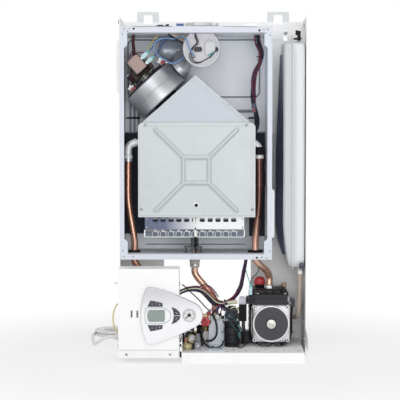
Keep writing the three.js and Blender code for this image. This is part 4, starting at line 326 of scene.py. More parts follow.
# The fascia's plastic, painted greyer towards its top as the shade on its upper, tilted face.
FASCIA_PAINTED_SHADE = graded(
    finish("fascia_plastic_painted_shade", "f5f5f8", 0.2, vary=0.01, patch=12, grain=500, bump=0.02, coat=0.5),
    TALL, 104, 150, "cfcfd3")
PALE_RING = finish("pale_ring", "b4b8bd", 0.3, vary=0.05, patch=60, bump=0.03, coat=0.3)
BLUE_TAB = finish("blue_tab", "3f5f9f", 0.42, vary=0.1, patch=60, bump=0.08)
WIRE = {
    word: finish("wire_" + word, code, 0.42, vary=0.1, patch=80, bump=0.06)
    for word, code in (
        ("navy", "20264a"), ("black", "17181c"), ("brown", "5a3326"), ("yellow", "c6be76"), ("red", "a8242e"),
        ("blue", "3f5fa8"), ("purple", "5b3f78"), ("maroon", "6e1f33"), ("teal", "2f7f86"))
}


# Paths and outlines


def smooth_path(points, spacing=4.0, bend=0.5):
    """Evenly placed points on a centripetal curve through the given points, in the script's millimetres."""
    points = [Vector(p) for p in points]
    before = points[0] * 2 - points[1]
    after = points[-1] * 2 - points[-2]
    chain = [before, *points, after]
    dense = []
    for i in range(1, len(chain) - 2):
        p0, p1, p2, p3 = chain[i - 1 : i + 3]
        t0 = 0.0
        t1 = t0 + max(1e-6, (p1 - p0).length) ** bend
        t2 = t1 + max(1e-6, (p2 - p1).length) ** bend
        t3 = t2 + max(1e-6, (p3 - p2).length) ** bend
        count = max(2, int((p2 - p1).length / (spacing / 4)))
        for k in range(count):
            t = t1 + (t2 - t1) * k / count
            a1 = p0 * ((t1 - t) / (t1 - t0)) + p1 * ((t - t0) / (t1 - t0))
            a2 = p1 * ((t2 - t) / (t2 - t1)) + p2 * ((t - t1) / (t2 - t1))
            a3 = p2 * ((t3 - t) / (t3 - t2)) + p3 * ((t - t2) / (t3 - t2))
            b1 = a1 * ((t2 - t) / (t2 - t0)) + a2 * ((t - t0) / (t2 - t0))
            b2 = a2 * ((t3 - t) / (t3 - t1)) + a3 * ((t - t1) / (t3 - t1))
            dense.append(b1 * ((t2 - t) / (t2 - t1)) + b2 * ((t - t1) / (t2 - t1)))
    dense.append(points[-1].copy())
    return even_path(dense, spacing)


def even_path(dense, spacing):
    """The same line with its points a steady step apart and both ends kept."""
    lengths = [0.0]
    for a, b in zip(dense, dense[1:]):
        lengths.append(lengths[-1] + (b - a).length)
    count = max(2, round(lengths[-1] / spacing))
    places = []
    k = 0
    for i in range(count + 1):
        goal = lengths[-1] * i / count
        while k < len(lengths) - 2 and lengths[k + 1] < goal:
            k += 1
        run = lengths[k + 1] - lengths[k]
        share = (goal - lengths[k]) / run if run else 0
        places.append(dense[k].lerp(dense[k + 1], min(1, share)))
    return places


def frames_along(path):
    """A heading and two square directions at each point, carried along without twist."""
    headings = []
    for i in range(len(path)):
        a = path[max(0, i - 1)]
        b = path[min(len(path) - 1, i + 1)]
        headings.append((b - a).normalized())
    first = headings[0]
    side = first.cross(Vector((0, 0, 1)) if abs(first.z) < 0.9 else Vector((0, 1, 0))).normalized()
    frames = []
    for heading in headings:
        side = (side - heading * side.dot(heading)).normalized()
        frames.append((heading, side, heading.cross(side)))
    return frames


def evenly(low, high, count):
    """Numbers a steady step apart, both ends kept."""
    return [low + (high - low) * k / (count - 1) for k in range(count)]


def turns(count):
    """Evenly spaced angles of one full turn."""
    return [math.tau * i / count for i in range(count)]


def shut(points):
    """A route that ends where it starts."""
    return points + points[:1]


def between(start, end, shares):
    """Places at shares of the way from one end to the other, along each axis."""
    return [tuple(a + (b - a) * share for a, b, share in zip(start, end, row)) for row in shares]


def circle(centre, radius, side, up, count=24):
    """Points round a centre in the plane of two directions."""
    return [centre + side * (radius * math.cos(a)) + up * (radius * math.sin(a)) for a in turns(count)]


def arc(cx, cz, radius, start, end, count):
    """Points on an arc in the [x, z] plane, by angles in degrees."""
    angles = [math.radians(start + (end - start) * i / count) for i in range(count + 1)]
    return [(cx + radius * math.cos(a), cz + radius * math.sin(a)) for a in angles]


def rounded(x0, x1, z0, z1, corner, count=5):
    """A rectangle with round corners as [x, z] points."""
    points = arc(x1 - corner, z0 + corner, corner, -90, 0, count)
    points += arc(x1 - corner, z1 - corner, corner, 0, 90, count)
    points += arc(x0 + corner, z1 - corner, corner, 90, 180, count)
    return points + arc(x0 + corner, z0 + corner, corner, 180, 270, count)


def axis_turn(axis):
    """The turn that takes the Z axis to a direction."""
    return Vector((0, 0, 1)).rotation_difference(Vector(axis)).to_matrix()


class Piece:
    """One object built from closed shapes in the script's millimetres, each with its own material."""

    def __init__(self, name):
        """An empty mesh with no materials yet."""
        self.name = name
        self.mesh = bmesh.new()
        self.materials = []

    def slot_of(self, material):
        """The material's place in the piece's list, where it is put if it is new."""
        if material not in self.materials:
            self.materials.append(material)
        return self.materials.index(material)

    def add(self, points, faces, material):
        """Points and faces as they are, in one material."""
        index = self.slot_of(material)
        corners = [self.mesh.verts.new(at(*p)) for p in points]
        for face in faces:
            made = self.mesh.faces.new([corners[i] for i in face])
            made.material_index = index
            made.smooth = True

    def rings(self, rings, material, closed_ends=True):
        """A skin over rings of points, one after another."""
        count = len(rings[0])
        points = [p for ring in rings for p in ring]
        faces = []
        for r in range(len(rings) - 1):
            for i in range(count):
                j = (i + 1) % count
                faces.append((r * count + i, r * count + j, (r + 1) * count + j, (r + 1) * count + i))
        if closed_ends:
            last = (len(rings) - 1) * count
            faces.append(tuple(reversed(range(count))))
            faces.append(tuple(last + i for i in range(count)))
        self.add(points, faces, material)

    def block(self, low, high, material, turn=None, about=None):
        """A box from its lowest to its highest corner, turned about its middle or another place."""
        xs, ys, zs = zip(low, high)
        points = [Vector((x, y, z)) for z in zs for y in ys for x in xs]
        if turn is not None:
            centre = Vector(about) if about else (Vector(low) + Vector(high)) / 2
            points = [centre + turn @ (p - centre) for p in points]
        faces = [(0, 2, 3, 1), (4, 5, 7, 6), (0, 1, 5, 4), (2, 6, 7, 3), (0, 4, 6, 2), (1, 3, 7, 5)]
        self.add(points, faces, material)

    def rod(self, start, end, radius, material, sides=28):
        """A round bar between two places."""
        start, end = Vector(start), Vector(end)
        self.lathe([(radius, 0), (radius, (end - start).length)], start, end - start, material, sides)

    def tube(self, route, radius, material, sides=14, spacing=3.0, smooth=True):
        """A round tube on a route; radius may be a function of the share of its length."""
        path = smooth_path(route, spacing) if smooth else [Vector(p) for p in route]
        size = radius if callable(radius) else lambda share: radius
        rings = []
        for i, (place, (_, side, up)) in enumerate(zip(path, frames_along(path))):
            r = size(i / (len(path) - 1))
            rings.append(circle(place, r, side, up, sides))
        self.rings(rings, material)

    def lathe(self, profile, centre, axis, material, sides=56):
        """A shape turned about an axis through a place, from [radius, height] points."""
        turn = axis_turn(axis)
        centre = Vector(centre)
        rings = []
        for radius, height in profile:
            r = max(radius, 0.01)
            ring = [Vector((r * math.cos(a), r * math.sin(a), height)) for a in turns(sides)]
            rings.append([centre + turn @ point for point in ring])
        self.rings(rings, material)

    def loop(self, profile, centre, axis, material, sides=56):
        """A ring turned about an axis from a closed profile of [radius, height] points."""
        turn = axis_turn(axis)
        centre = Vector(centre)
        rings = []
        for a in turns(sides):
            ring = [Vector((r * math.cos(a), r * math.sin(a), height)) for r, height in profile]
            rings.append([centre + turn @ point for point in ring])
        rings.append(rings[0])
        self.rings(rings, material, closed_ends=False)

    def slab(self, outline, front, back, material):
        """An [x, z] outline with depth along Y."""
        rings = [[(x, y, z) for x, z in outline] for y in (front, back)]
        self.rings(rings, material)

    def slab_x(self, outline, left, right, material):
        """A [y, z] outline with depth along X."""
        rings = [[(x, y, z) for y, z in outline] for x in (left, right)]
        self.rings(rings, material)

    def screw(self, place, axis, radius):
        """A pan head with a cross recess."""
        turn = axis_turn(axis)
        place = Vector(place)
        height = radius * 0.55
        head = [(radius, -0.4), (radius, height * 0.3), (radius * 0.85, height * 0.75),
                (radius * 0.5, height)]
        self.lathe([*head, (0, height)], place, axis, SILVER, sides=20)
        for long, short in ((0.62, 0.16), (0.16, 0.62)):
            low = place + Vector((-radius * long, -radius * short, height * 0.55))
            high = place + Vector((radius * long, radius * short, height * 1.06))
            self.block(low, high, DARK, turn, place)

    def wires(self, route, colours, bundle, thick=1.1, twist=0.5, seed=0, spacing=5.0):
        """A bundle of single wires that wander round each other along a route."""
        chance = random.Random(seed)
        path = smooth_path(route, spacing)
        frames = frames_along(path)
        for k, colour in enumerate(colours):
            angle = 2 * math.pi * k / len(colours) + chance.uniform(-0.3, 0.3)
            reach = bundle * math.sqrt(chance.uniform(0.15, 1))
            wind = twist * chance.uniform(0.5, 1.3) * chance.choice((-1, 1))
            wave = chance.uniform(0, 6.28)
            line = []
            for i, (place, (_, side, up)) in enumerate(zip(path, frames)):
                share = i / (len(path) - 1)
                a = angle + wind * 2 * math.pi * share
                r = reach * (0.8 + 0.2 * math.sin(wave + 9 * share))
                line.append(place + side * (r * math.cos(a)) + up * (r * math.sin(a)))
            self.tube(line, thick, WIRE[colour], sides=8, smooth=False)

    def done(self, body="root", replaces=(), bevel=0.35, segments=2, angle=32):
        """Turns the shapes into an object that rides on a body and stands for some CAD nodes."""
        data = bpy.data.meshes.new(self.name)
        bmesh.ops.recalc_face_normals(self.mesh, faces=self.mesh.faces)
        self.mesh.to_mesh(data)
        self.mesh.free()
        for material in self.materials:
            data.materials.append(material)
        data.set_sharp_from_angle(angle=math.radians(angle))
        piece = bpy.data.objects.new(self.name, data)
        bpy.context.scene.collection.objects.link(piece)
        if bevel:
            soften(piece, bevel, segments, angle)
        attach(piece, body)
        if replaces:
            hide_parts(*replaces)
        return piece


def soften(piece, width, segments=2, angle=32):
    """Rounds the sharp edges by a width in millimetres."""
    modifier = piece.modifiers.new("soft_edges", "BEVEL")
    modifier.width = width * MM
    modifier.segments = segments
    modifier.limit_method = "ANGLE"
    modifier.angle_limit = math.radians(angle)
    modifier.harden_normals = True
    modifier.use_clamp_overlap = True


def dress(node, material, bevel=0.3):
    """Gives a CAD node its finish, and soft edges."""
    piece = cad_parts[node]
    piece.data.materials.clear()
    piece.data.materials.append(material)
    if bevel:
        soften(piece, bevel)


# Floor, backdrop and lights


def make_floor():
    """A pale floor that the camera and reflections see fade into the white backdrop."""
    floor = bmesh.new()
    half = 9
    corners = []
    for x, y in ((-1, -1), (1, -1), (1, 1), (-1, 1)):
        corners.append(floor.verts.new((x * half, y * half, -0.0003)))
    floor.faces.new(corners)
    data = bpy.data.meshes.new("floor")
    floor.to_mesh(data)
    floor.free()
    stage = bpy.data.objects.new("floor", data)
    bpy.context.scene.collection.objects.link(stage)
    material = bpy.data.materials.new("floor")
    material.use_nodes = True
    nodes = Nodes(material.node_tree)
    place = nodes.add("ShaderNodeTexCoord").outputs["Object"]
    apart = nodes.add("ShaderNodeVectorMath", {0: place, 1: (0, 0, 0)}, operation="DISTANCE").outputs["Value"]
    far = spread(nodes, apart, 0.42, 0.85, 0, 1)
    path = nodes.add("ShaderNodeLightPath").outputs
    seen = nodes.add("ShaderNodeMath", {0: path["Is Camera Ray"], 1: path["Is Glossy Ray"]},
                     operation="MAXIMUM")
    seen = nodes.add("ShaderNodeMath", {0: seen.outputs[0], 1: path["Is Transmission Ray"]},
                     operation="MAXIMUM")
    pale = spread(nodes, far, 0, 1, 0.62, 1)
    white = nodes.add("ShaderNodeMath", {0: seen.outputs[0], 1: pale}, operation="MULTIPLY").outputs[0]
    matt = nodes.add("ShaderNodeBsdfDiffuse", {"Color": (0.93, 0.93, 0.935, 1)})
    glow = nodes.add("ShaderNodeEmission", {"Color": (1, 1, 1, 1), "Strength": 1.0})
    mixed = nodes.add("ShaderNodeMixShader", {0: white, 1: matt.outputs[0], 2: glow.outputs[0]})
    nodes.add("ShaderNodeOutputMaterial", {"Surface": mixed.outputs[0]})
    data.materials.append(material)


def make_world():
    """A white backdrop for the camera, with less light for everything else."""
    world = bpy.data.worlds.new("studio")
    bpy.context.scene.world = world
    world.use_nodes = True
    nodes = Nodes(world.node_tree)
    path = nodes.add("ShaderNodeLightPath").outputs
    seen = nodes.add("ShaderNodeMath", {0: path["Is Camera Ray"], 1: path["Is Transmission Ray"]},
                     operation="MAXIMUM")
    seen = nodes.add("ShaderNodeMath", {0: seen.outputs[0], 1: path["Is Glossy Ray"]}, operation="MAXIMUM")
    strength = spread(nodes, seen.outputs[0], 0, 1, AMBIENT, 1.0)
    glow = nodes.add("ShaderNodeBackground", {"Color": (1, 1, 1, 1), "Strength": strength})
    nodes.add("ShaderNodeOutputWorld", {"Surface": glow.outputs[0]})


def make_lamp(name, place, aim, size, power):
    """A rectangular lamp in metres and watts, turned to what it lights."""
    data = bpy.data.lights.new(name, "AREA")
    data.shape = "RECTANGLE"
    data.size, data.size_y = size
    data.energy = power
    lamp = bpy.data.objects.new(name, data)
    lamp.location = place
    lamp.rotation_euler = (Vector(aim) - Vector(place)).to_track_quat("-Z", "Y").to_euler()
    bpy.context.scene.collection.objects.link(lamp)


AMBIENT = 0.55
make_floor()
make_world()
make_lamp("key", (-0.45, -3.0, 1.15), (0, 0, 0.38), (1.8, 1.6), 18)
make_lamp("fill", (0.6, -3.0, 0.4), (0, 0, 0.3), (1.5, 0.7), 17)
make_lamp("top", (0.2, -0.6, 2.6), (0, 0, 0.3), (1.4, 1.4), 10)

# Mains lead: out of its gland, down to the floor and into a flat coil in two layers behind the boiler
CORD_RADIUS = 3.5
SEAT = 0.3
GLAND_Y, GLAND_Z = 205, 24
NUT_RADIUS, NUT_LENGTH, TAPER_LENGTH = 10, 6, 18
CORD_START_X = -SIDE_X - 2 * SEAT - NUT_LENGTH - TAPER_LENGTH
COIL_X, COIL_Y, COIL_RADIUS = -236, 398, 46.5
COIL_PITCH, COIL_LIFT = 7.8, 7.8
LAYER_TURNS, CLIMB = 2.5, 0.5


def coil_path(count=400):
    """The coil spirals in on the floor, climbs in half a turn and spirals out on top."""
    places = []
    for turn in evenly(0, 2 * LAYER_TURNS + CLIMB, count + 1):
        inward = min(turn, LAYER_TURNS + CLIMB / 2)
        outward = max(0, turn - LAYER_TURNS - CLIMB / 2)
        radius = COIL_RADIUS - COIL_PITCH * (inward - outward)
        share = min(1, max(0, (turn - LAYER_TURNS) / CLIMB))
        rise = share * share * (3 - 2 * share)
        angle = math.pi - turn * math.tau
        along, across = radius * math.cos(angle), radius * math.sin(angle)
        places.append(Vector((COIL_X + along, COIL_Y + across, CORD_RADIUS + COIL_LIFT * rise)))
    head = (places[1] - places[0]).normalized()
    tail = (places[-1] - places[-2]).normalized()
    return [places[0] - head * 2 * CORD_RADIUS, *places, places[-1] + tail * 2 * CORD_RADIUS]


def squared(value):
    """A sine or cosine that swells a circle towards a square."""
    return math.copysign(abs(value) ** 0.35, value)


def cord_route():
    """The lead's whole way: out of its gland, down to the floor and into the coil."""
    coil = coil_path()
    heading = (coil[1] - coil[0]).normalized()
    last = coil[0] - heading * SEAT
    free = smooth_path([
        (CORD_START_X, GLAND_Y, GLAND_Z), (CORD_START_X - 7, GLAND_Y, GLAND_Z), (-243, 207, 21),
        (-258, 214, 12), (-267, 230, 5), (-272, 252, CORD_RADIUS), (-276, 285, CORD_RADIUS),
        (-281, 325, CORD_RADIUS), (-283.5, 355, CORD_RADIUS), last - heading * 4 * CORD_RADIUS, last,
    ], 3)
    return even_path(free + coil, 3)


def make_gland():
    """The six-sided nut on the side panel and the ribbed taper round the lead."""
    gland = Piece("lead_gland")
    outer = -SIDE_X - SEAT
    centre = (outer, GLAND_Y, GLAND_Z)
    gland.lathe([(NUT_RADIUS, 0), (10.6, 0.6), (10.6, 1.6), (9.4, 2.2)], centre, TO_LEFT, WHITE_PLASTIC)
    nut = [(GLAND_Y + NUT_RADIUS * math.cos(a), GLAND_Z + NUT_RADIUS * math.sin(a)) for a in turns(6)]
    gland.slab_x(nut, outer - NUT_LENGTH, outer - 1.4, WHITE_PLASTIC)
    relief = [(5.6, -2.2), (5.6, NUT_LENGTH), (7.5, NUT_LENGTH)]
    ribs = 6
    for i in range(ribs):
        near = NUT_LENGTH + 1 + TAPER_LENGTH * 0.93 * i / ribs
        size = 7.5 - 2.3 * i / ribs
        relief += [(size, near), (size - 0.2, near + 1.6), (size - 1.0, near + 1.9), (size - 1.1, near + 2.6)]
    relief += [(4.9, NUT_LENGTH + TAPER_LENGTH - 0.6), (3.7, NUT_LENGTH + TAPER_LENGTH)]
    gland.lathe(relief, centre, TO_LEFT, LEAD)
    return gland.done(replaces=("cord_gland",))


def make_cores(before, end):
    """Three single wires that leave the lead's end, each with a sleeve and a bare tip."""
    cores = Piece("lead_cores")
    ahead = (end - before).normalized()
    aside = ahead.cross(Vector(UP))
    for k, colour in enumerate(("brown", "yellow", "blue")):
        start = end - ahead * 2 + aside * (k - 1) * 1.9
        apart = aside * (k - 1) * 2.4
        points = [start, start + ahead * 6, start + ahead * 14 + apart * 0.6, start + ahead * 22 + apart]
        cores.tube(points, 1.25, WIRE[colour], sides=10)
        tip = points[-1]
        cores.rod(tip - ahead * 2, tip + ahead * 3, 1.7, WHITE_PLASTIC, sides=12)
        cores.rod(tip + ahead * 2.5, tip + ahead * 9, 0.9, SILVER, sides=12)
    return cores.done(bevel=0)


def make_ties():
    """Two straps round the coil's turns."""
    ties = Piece("lead_ties")
    inner, outer = COIL_RADIUS - 2.75 * COIL_PITCH - 5, COIL_RADIUS + 5
    half, tall = (outer - inner) / 2, CORD_RADIUS + COIL_LIFT / 2 + 0.2
    for angle in (35, 250):
        a = math.radians(angle)
        out = Vector((math.cos(a), math.sin(a), 0))
        middle = Vector((COIL_X, COIL_Y, CORD_RADIUS + COIL_LIFT / 2)) + out * (inner + outer) / 2
        ring = [middle + out * half * squared(math.cos(t)) + Vector(UP) * tall * squared(math.sin(t))
                for t in turns(40)]
        strap = [p + Vector((0, 0, max(0, 0.7 - p.z))) for p in ring]
        ties.tube(shut(strap), 0.65, WHITE_PLASTIC, sides=8, smooth=False)
    return ties.done(bevel=0)


def make_cord():
    """The lead with its gland, cores and ties; the lead lies coiled."""
    route = cord_route()
    cord = Piece("mains_lead")
    cord.tube(route, CORD_RADIUS, LEAD, sides=16, smooth=False)
    lead = cord.done(replaces=("mains_cord", "cord_coil"), bevel=0)
    others = [make_gland(), make_cores(route[-2], route[-1]), make_ties()]


make_cord()

# Sheet metal carried over from the frame
for node, material in (
        ("left_side_panel", WHITE), ("right_side_panel", WHITE), ("bottom_tray", WHITE),
        ("control_box_shell", WHITE), ("hanger_rail", RAIL_WHITE), ("chamber_shell", CHAMBER_SHEET_PAINTED_LIGHT),
        ("control_box_bracket", BRACKET_SHEET), ("combustion_casing", HOOD_SHEET), ("flue_hood", HOOD_SHEET),
        ("insulation_lining", FIBRE), ("burner_rack", SHADED_METAL), ("fan_impeller", HOOD_SHEET),
        ("pump_rotor", CAST)):
    dress(node, material)

# Combustion section: pressed cover, finned exchanger, hood trim, burner and its gas rail

BEAD_HEIGHT, BEAD_WIDTH = 2.9, 5.6
SQUARE_HALF, SQUARE_Z = 27.5, 401
SPOKE_X, SPOKE_Z = 87, 86.5
PEEP_Z, PEEP_RADIUS = 325.4, 4.6
COVER_SCREWS = ((-144.7, 498.2), (71.7, 498.2), (-153.7, 317.5), (84.3, 317.5))
BURNER_PITCH, BURNER_COUNT = 16.9, 11
BEND_Y, BEND_Z, BEND_RADIUS = 120, 460, 17
RAIL_TOP = 267.5


def segment_distance(x, z, x0, z0, x1, z1):
    """How far a place is from a line between two others."""
    run_x, run_z = x1 - x0, z1 - z0
    share = ((x - x0) * run_x + (z - z0) * run_z) / (run_x * run_x + run_z * run_z)
    share = min(1, max(0, share))
    return math.hypot(x - x0 - share * run_x, z - z0 - share * run_z)


def cover_beads():
    """The pressed lines: a square and a spoke out of each of its corners."""
    lines = []
    corners = [(CASING_MIDDLE + i * SQUARE_HALF, SQUARE_Z + j * SQUARE_HALF)
               for i, j in ((-1, -1), (1, -1), (1, 1), (-1, 1))]
    for k, (x, z) in enumerate(corners):
        lines.append((x, z, *corners[(k + 1) % 4]))
        side = math.copysign(1, x - CASING_MIDDLE)
        rise = math.copysign(1, z - SQUARE_Z)
        lines.append((x, z, CASING_MIDDLE + side * SPOKE_X, SQUARE_Z + rise * SPOKE_Z))
    return lines


def make_cover():
    """The pressed sheet in front of the combustion space, with its round peephole and four screws."""
    low, high = limits("combustion_cover")
    left, right, bottom, top = low.x, high.x, low.z, high.z
    corner, thick = 11, 1.2
    beads = cover_beads()
    columns, rows = 150, 122
    cover = Piece("front_cover")

    def pressed(x, z):
        """How far the sheet stands out by its beads and its rim at a place."""
        near = min(segment_distance(x, z, *line) for line in beads)
        bump = max(0.0, 1 - (near / BEAD_WIDTH) ** 2) ** 2
        edge = min(x - left, right - x, top - z, z - bottom)
        rim = 0.5 * math.exp(-((edge - 5) / 1.6) ** 2)
        return BEAD_HEIGHT * bump + rim

    def sheet(depth, reverse):
        """One face of the cover, its points in rows; the rear face runs the other way round."""
        points, faces = [], []
        for r in range(rows + 1):
            z = bottom + (top - bottom) * r / rows
            drop = max(0.0, z - (top - corner))
            inset = corner - math.sqrt(max(0.0, corner * corner - drop * drop))
            for c in range(columns + 1):
                x = left + inset + (right - left - 2 * inset) * c / columns
                away = math.hypot(x - CASING_MIDDLE, z - PEEP_Z)
                sx, sz = x, z
                if abs(away - PEEP_RADIUS) < 1.1:
                    sx = CASING_MIDDLE + (x - CASING_MIDDLE) * PEEP_RADIUS / away
                    sz = PEEP_Z + (z - PEEP_Z) * PEEP_RADIUS / away
                points.append((sx, COVER_FRONT + depth - pressed(x, z), sz))
        for r in range(rows):
            for c in range(columns):
                a = r * (columns + 1) + c
                face = (a, a + 1, a + columns + 2, a + columns + 1)
                middle = sum((Vector(points[i]) for i in face), Vector()) / 4
                if math.hypot(middle.x - CASING_MIDDLE, middle.z - PEEP_Z) < PEEP_RADIUS - 0.3:
                    continue
                faces.append(tuple(reversed(face)) if reverse else face)
        cover.add(points, faces, ALUMINISED)
        return points

    front, back = sheet(0, False), sheet(thick, True)
    around = [r * (columns + 1) for r in range(rows + 1)]
    around += [rows * (columns + 1) + c for c in range(1, columns + 1)]
    around += [r * (columns + 1) + columns for r in range(rows - 1, -1, -1)]
    around += list(range(columns - 1, 0, -1))
    edge = [front[i] for i in around] + [back[i] for i in around]
    count = len(around)
    band = [(i, (i + 1) % count, count + (i + 1) % count, count + i) for i in range(count)]
    cover.add(edge, band, ALUMINISED)
    bmesh.ops.remove_doubles(cover.mesh, verts=cover.mesh.verts, dist=0.00002)
    peep = (CASING_MIDDLE, COVER_FRONT, PEEP_Z)
    inner, outer = PEEP_RADIUS - 0.5, PEEP_RADIUS + 1.6
    rim = [(inner, -0.5), (outer, -0.5), (outer, 0.5), (outer - 1, 1.1), (inner, 0.9)]
    cover.loop(rim, peep, TO_FRONT, SILVER, sides=32)
    cover.lathe([(inner + 0.2, -0.9), (inner + 0.2, -0.4), (0, -0.4)], peep, TO_FRONT, DARK, sides=32)
    for x, z in COVER_SCREWS:
        cover.screw((x, COVER_FRONT - 0.5, z), TO_FRONT, 3.4)
    cover.done(replaces=("combustion_cover",), bevel=0, angle=50)


def make_exchanger():
    """A copper core of thin fins with a plated bend at each side."""
    low, high = limits("insulation_lining")
    left, right, back = low.x + 3, high.x - 3, high.y
    bottom, top, front = 440, 496, 93.8
    core = Piece("finned_core")
    pitch, lip = 3.4, 12
    fin = [(front + 2, bottom + 3), (back - 2, bottom + 3), (back - 2, top - 2), (front + 2, top - 2)]
    for i in range(int((right - left - 8) / pitch) + 1):
        x = left + 4 + i * pitch
        core.slab_x(fin, x - 0.3, x + 0.3, COPPER)
    for depth in (front + 20, (front + back) / 2, back - 20):
        core.rod((left + 1, depth, 468), (right - 1, depth, 468), 9, COPPER)
    for x in (left, right - 1.5):
        core.block((x, front, bottom), (x + 1.5, back, top), COPPER)
    for z in (bottom, top - lip):
        core.block((left, front, z), (right, front + 1.2, z + lip), COPPER)
    nut = [(7.6, 0), (9.6, 0.4), (9.9, 2), (9.9, 6.5), (9, 7.4), (8, 8.6), (7.4, 9)]
    ring = [(7.6, 0), (9.2, 0.3), (9.2, 3.4), (7.6, 4)]
    collar = [(7.6, 0), (11, 0), (11, 2.4), (7.6, 2.4)]
    for pipe_x, wall, side in ((FLOW_X, left, -1), (RETURN_X, right, 1)):
        elbow_x = pipe_x - side * BEND_RADIUS
        bend = [(x, BEND_Y, BEND_Z) for x in (wall - side * 6, wall + side * 3, elbow_x)]
        for degrees in (15, 30, 45, 60, 75):
            a = math.radians(degrees)
            out, drop = BEND_RADIUS * math.sin(a), BEND_RADIUS * (1 - math.cos(a))
            bend.append((elbow_x + side * out, BEND_Y, BEND_Z - drop))
        bend += [(pipe_x, BEND_Y, z) for z in (443, 434, 425.2)]
        core.tube(bend, 7.8, BEND_METAL, sides=24, spacing=2)
        core.lathe(nut, (pipe_x, BEND_Y, 425.1), UP, BEND_METAL, sides=32)
        outward = (side, 0, 0)
        core.lathe(ring, (elbow_x, BEND_Y, BEND_Z), outward, BEND_METAL, sides=32)
        core.lathe(collar, (wall + side * 1.4, BEND_Y, BEND_Z), outward, COPPER, sides=32)
    core.done(replaces=("heat_exchanger",))


def make_hood_trim():
    """The folded strip on the hood's right slope with its screws."""
    trim = Piece("hood_trim")
    apex, foot = Vector((-38, 0, 604.7)), Vector((80.6, 0, 503.1))
    slope = (apex - foot).normalized()
    inward = Vector((-slope.z, 0, slope.x))
    low, high = foot + slope * 5, apex - slope * 3
    for shift, proud, wide in ((0.3, 1.9, 1.1), (5.6, 1.6, 0.9)):
        near, far = inward * shift, inward * (shift + wide)
        edge = [low + near, high + near, high + far, low + far]
        trim.slab([(place.x, place.z) for place in edge], 95 - proud, 95.5, ALUMINISED)
    for x, z in ((-13.1, 582.2), (33.6, 542.2)):
        trim.screw((x, 93.7, z), TO_FRONT, 2.1)
    trim.rod((-3, 100, 571), (-1, 100, 573), 1, SILVER)
    trim.done(bevel=0.2)


def burner_places():
    """Where the burner's bars and jets stand, evenly about the rack's middle."""
    low, high = limits("burner_rack")
    return [(low.x + high.x) / 2 + (i - (BURNER_COUNT - 1) / 2) * BURNER_PITCH for i in range(BURNER_COUNT)]


def make_burner_front():
    """A bright plate in front of the burner bars, with its row of slots, and the flame ports behind."""
    front = Piece("burner_front")
    low, high = limits("burner_rack")
    places = burner_places()
    depth = low.y
    slot_low, slot_high, half = 289.5, 297.8, 5.5
    edges = [low.x] + [x + side * half for x in places for side in (-1, 1)] + [high.x]
    for left, right in zip(edges[::2], edges[1::2]):
        front.block((left, depth - 0.9, slot_low), (right, depth, slot_high), BURNER_PLATE_DARKER_LEFT)
    front.block((low.x, depth - 0.9, slot_high), (high.x, depth, high.z), BURNER_PLATE_DARKER_LEFT)
    front.block((low.x, depth - 0.9, low.z + 1), (high.x, depth, slot_low), BURNER_PLATE_DARKER_LEFT)
    for x in places:
        window = rounded(x - half + 0.2, x + half - 0.2, slot_low + 0.2, slot_high - 0.2, 2.4, 4)
        front.slab(window, depth + 0.3, depth + 1.3, DARK)
        rim = rounded(x - half - 0.4, x + half + 0.4, slot_low - 0.4, slot_high + 0.4, 2.8, 4)
        front.tube(shut([(px, depth - 1.0, pz) for px, pz in rim]), 0.45, BURNER_PLATE_DARKER_LEFT, sides=6, smooth=False)
        front.rod((x, depth + 6, 288), (x, depth + 12, 288), 2.6, BRASS, sides=12)
        for k in range(7):
            y = depth + 12 + k * 12
            port = [(y, 290.6), (y + 9, 290.6), (y + 9, 292.2), (y, 292.2)]
            front.slab_x(port, x - 2.8, x + 2.8, STAINLESS)
    for x in (low.x + 4, high.x - 4):
        for z in (low.z + 5, high.z - 4):
            front.screw((x, depth - 0.9, z), TO_FRONT, 1.9)
    front.block((low.x - 1, depth - 2.2, high.z - 1.2), (high.x + 1, depth + 0.5, high.z + 0.1), BURNER_PLATE_DARKER_LEFT)
    front.done(bevel=0.15)


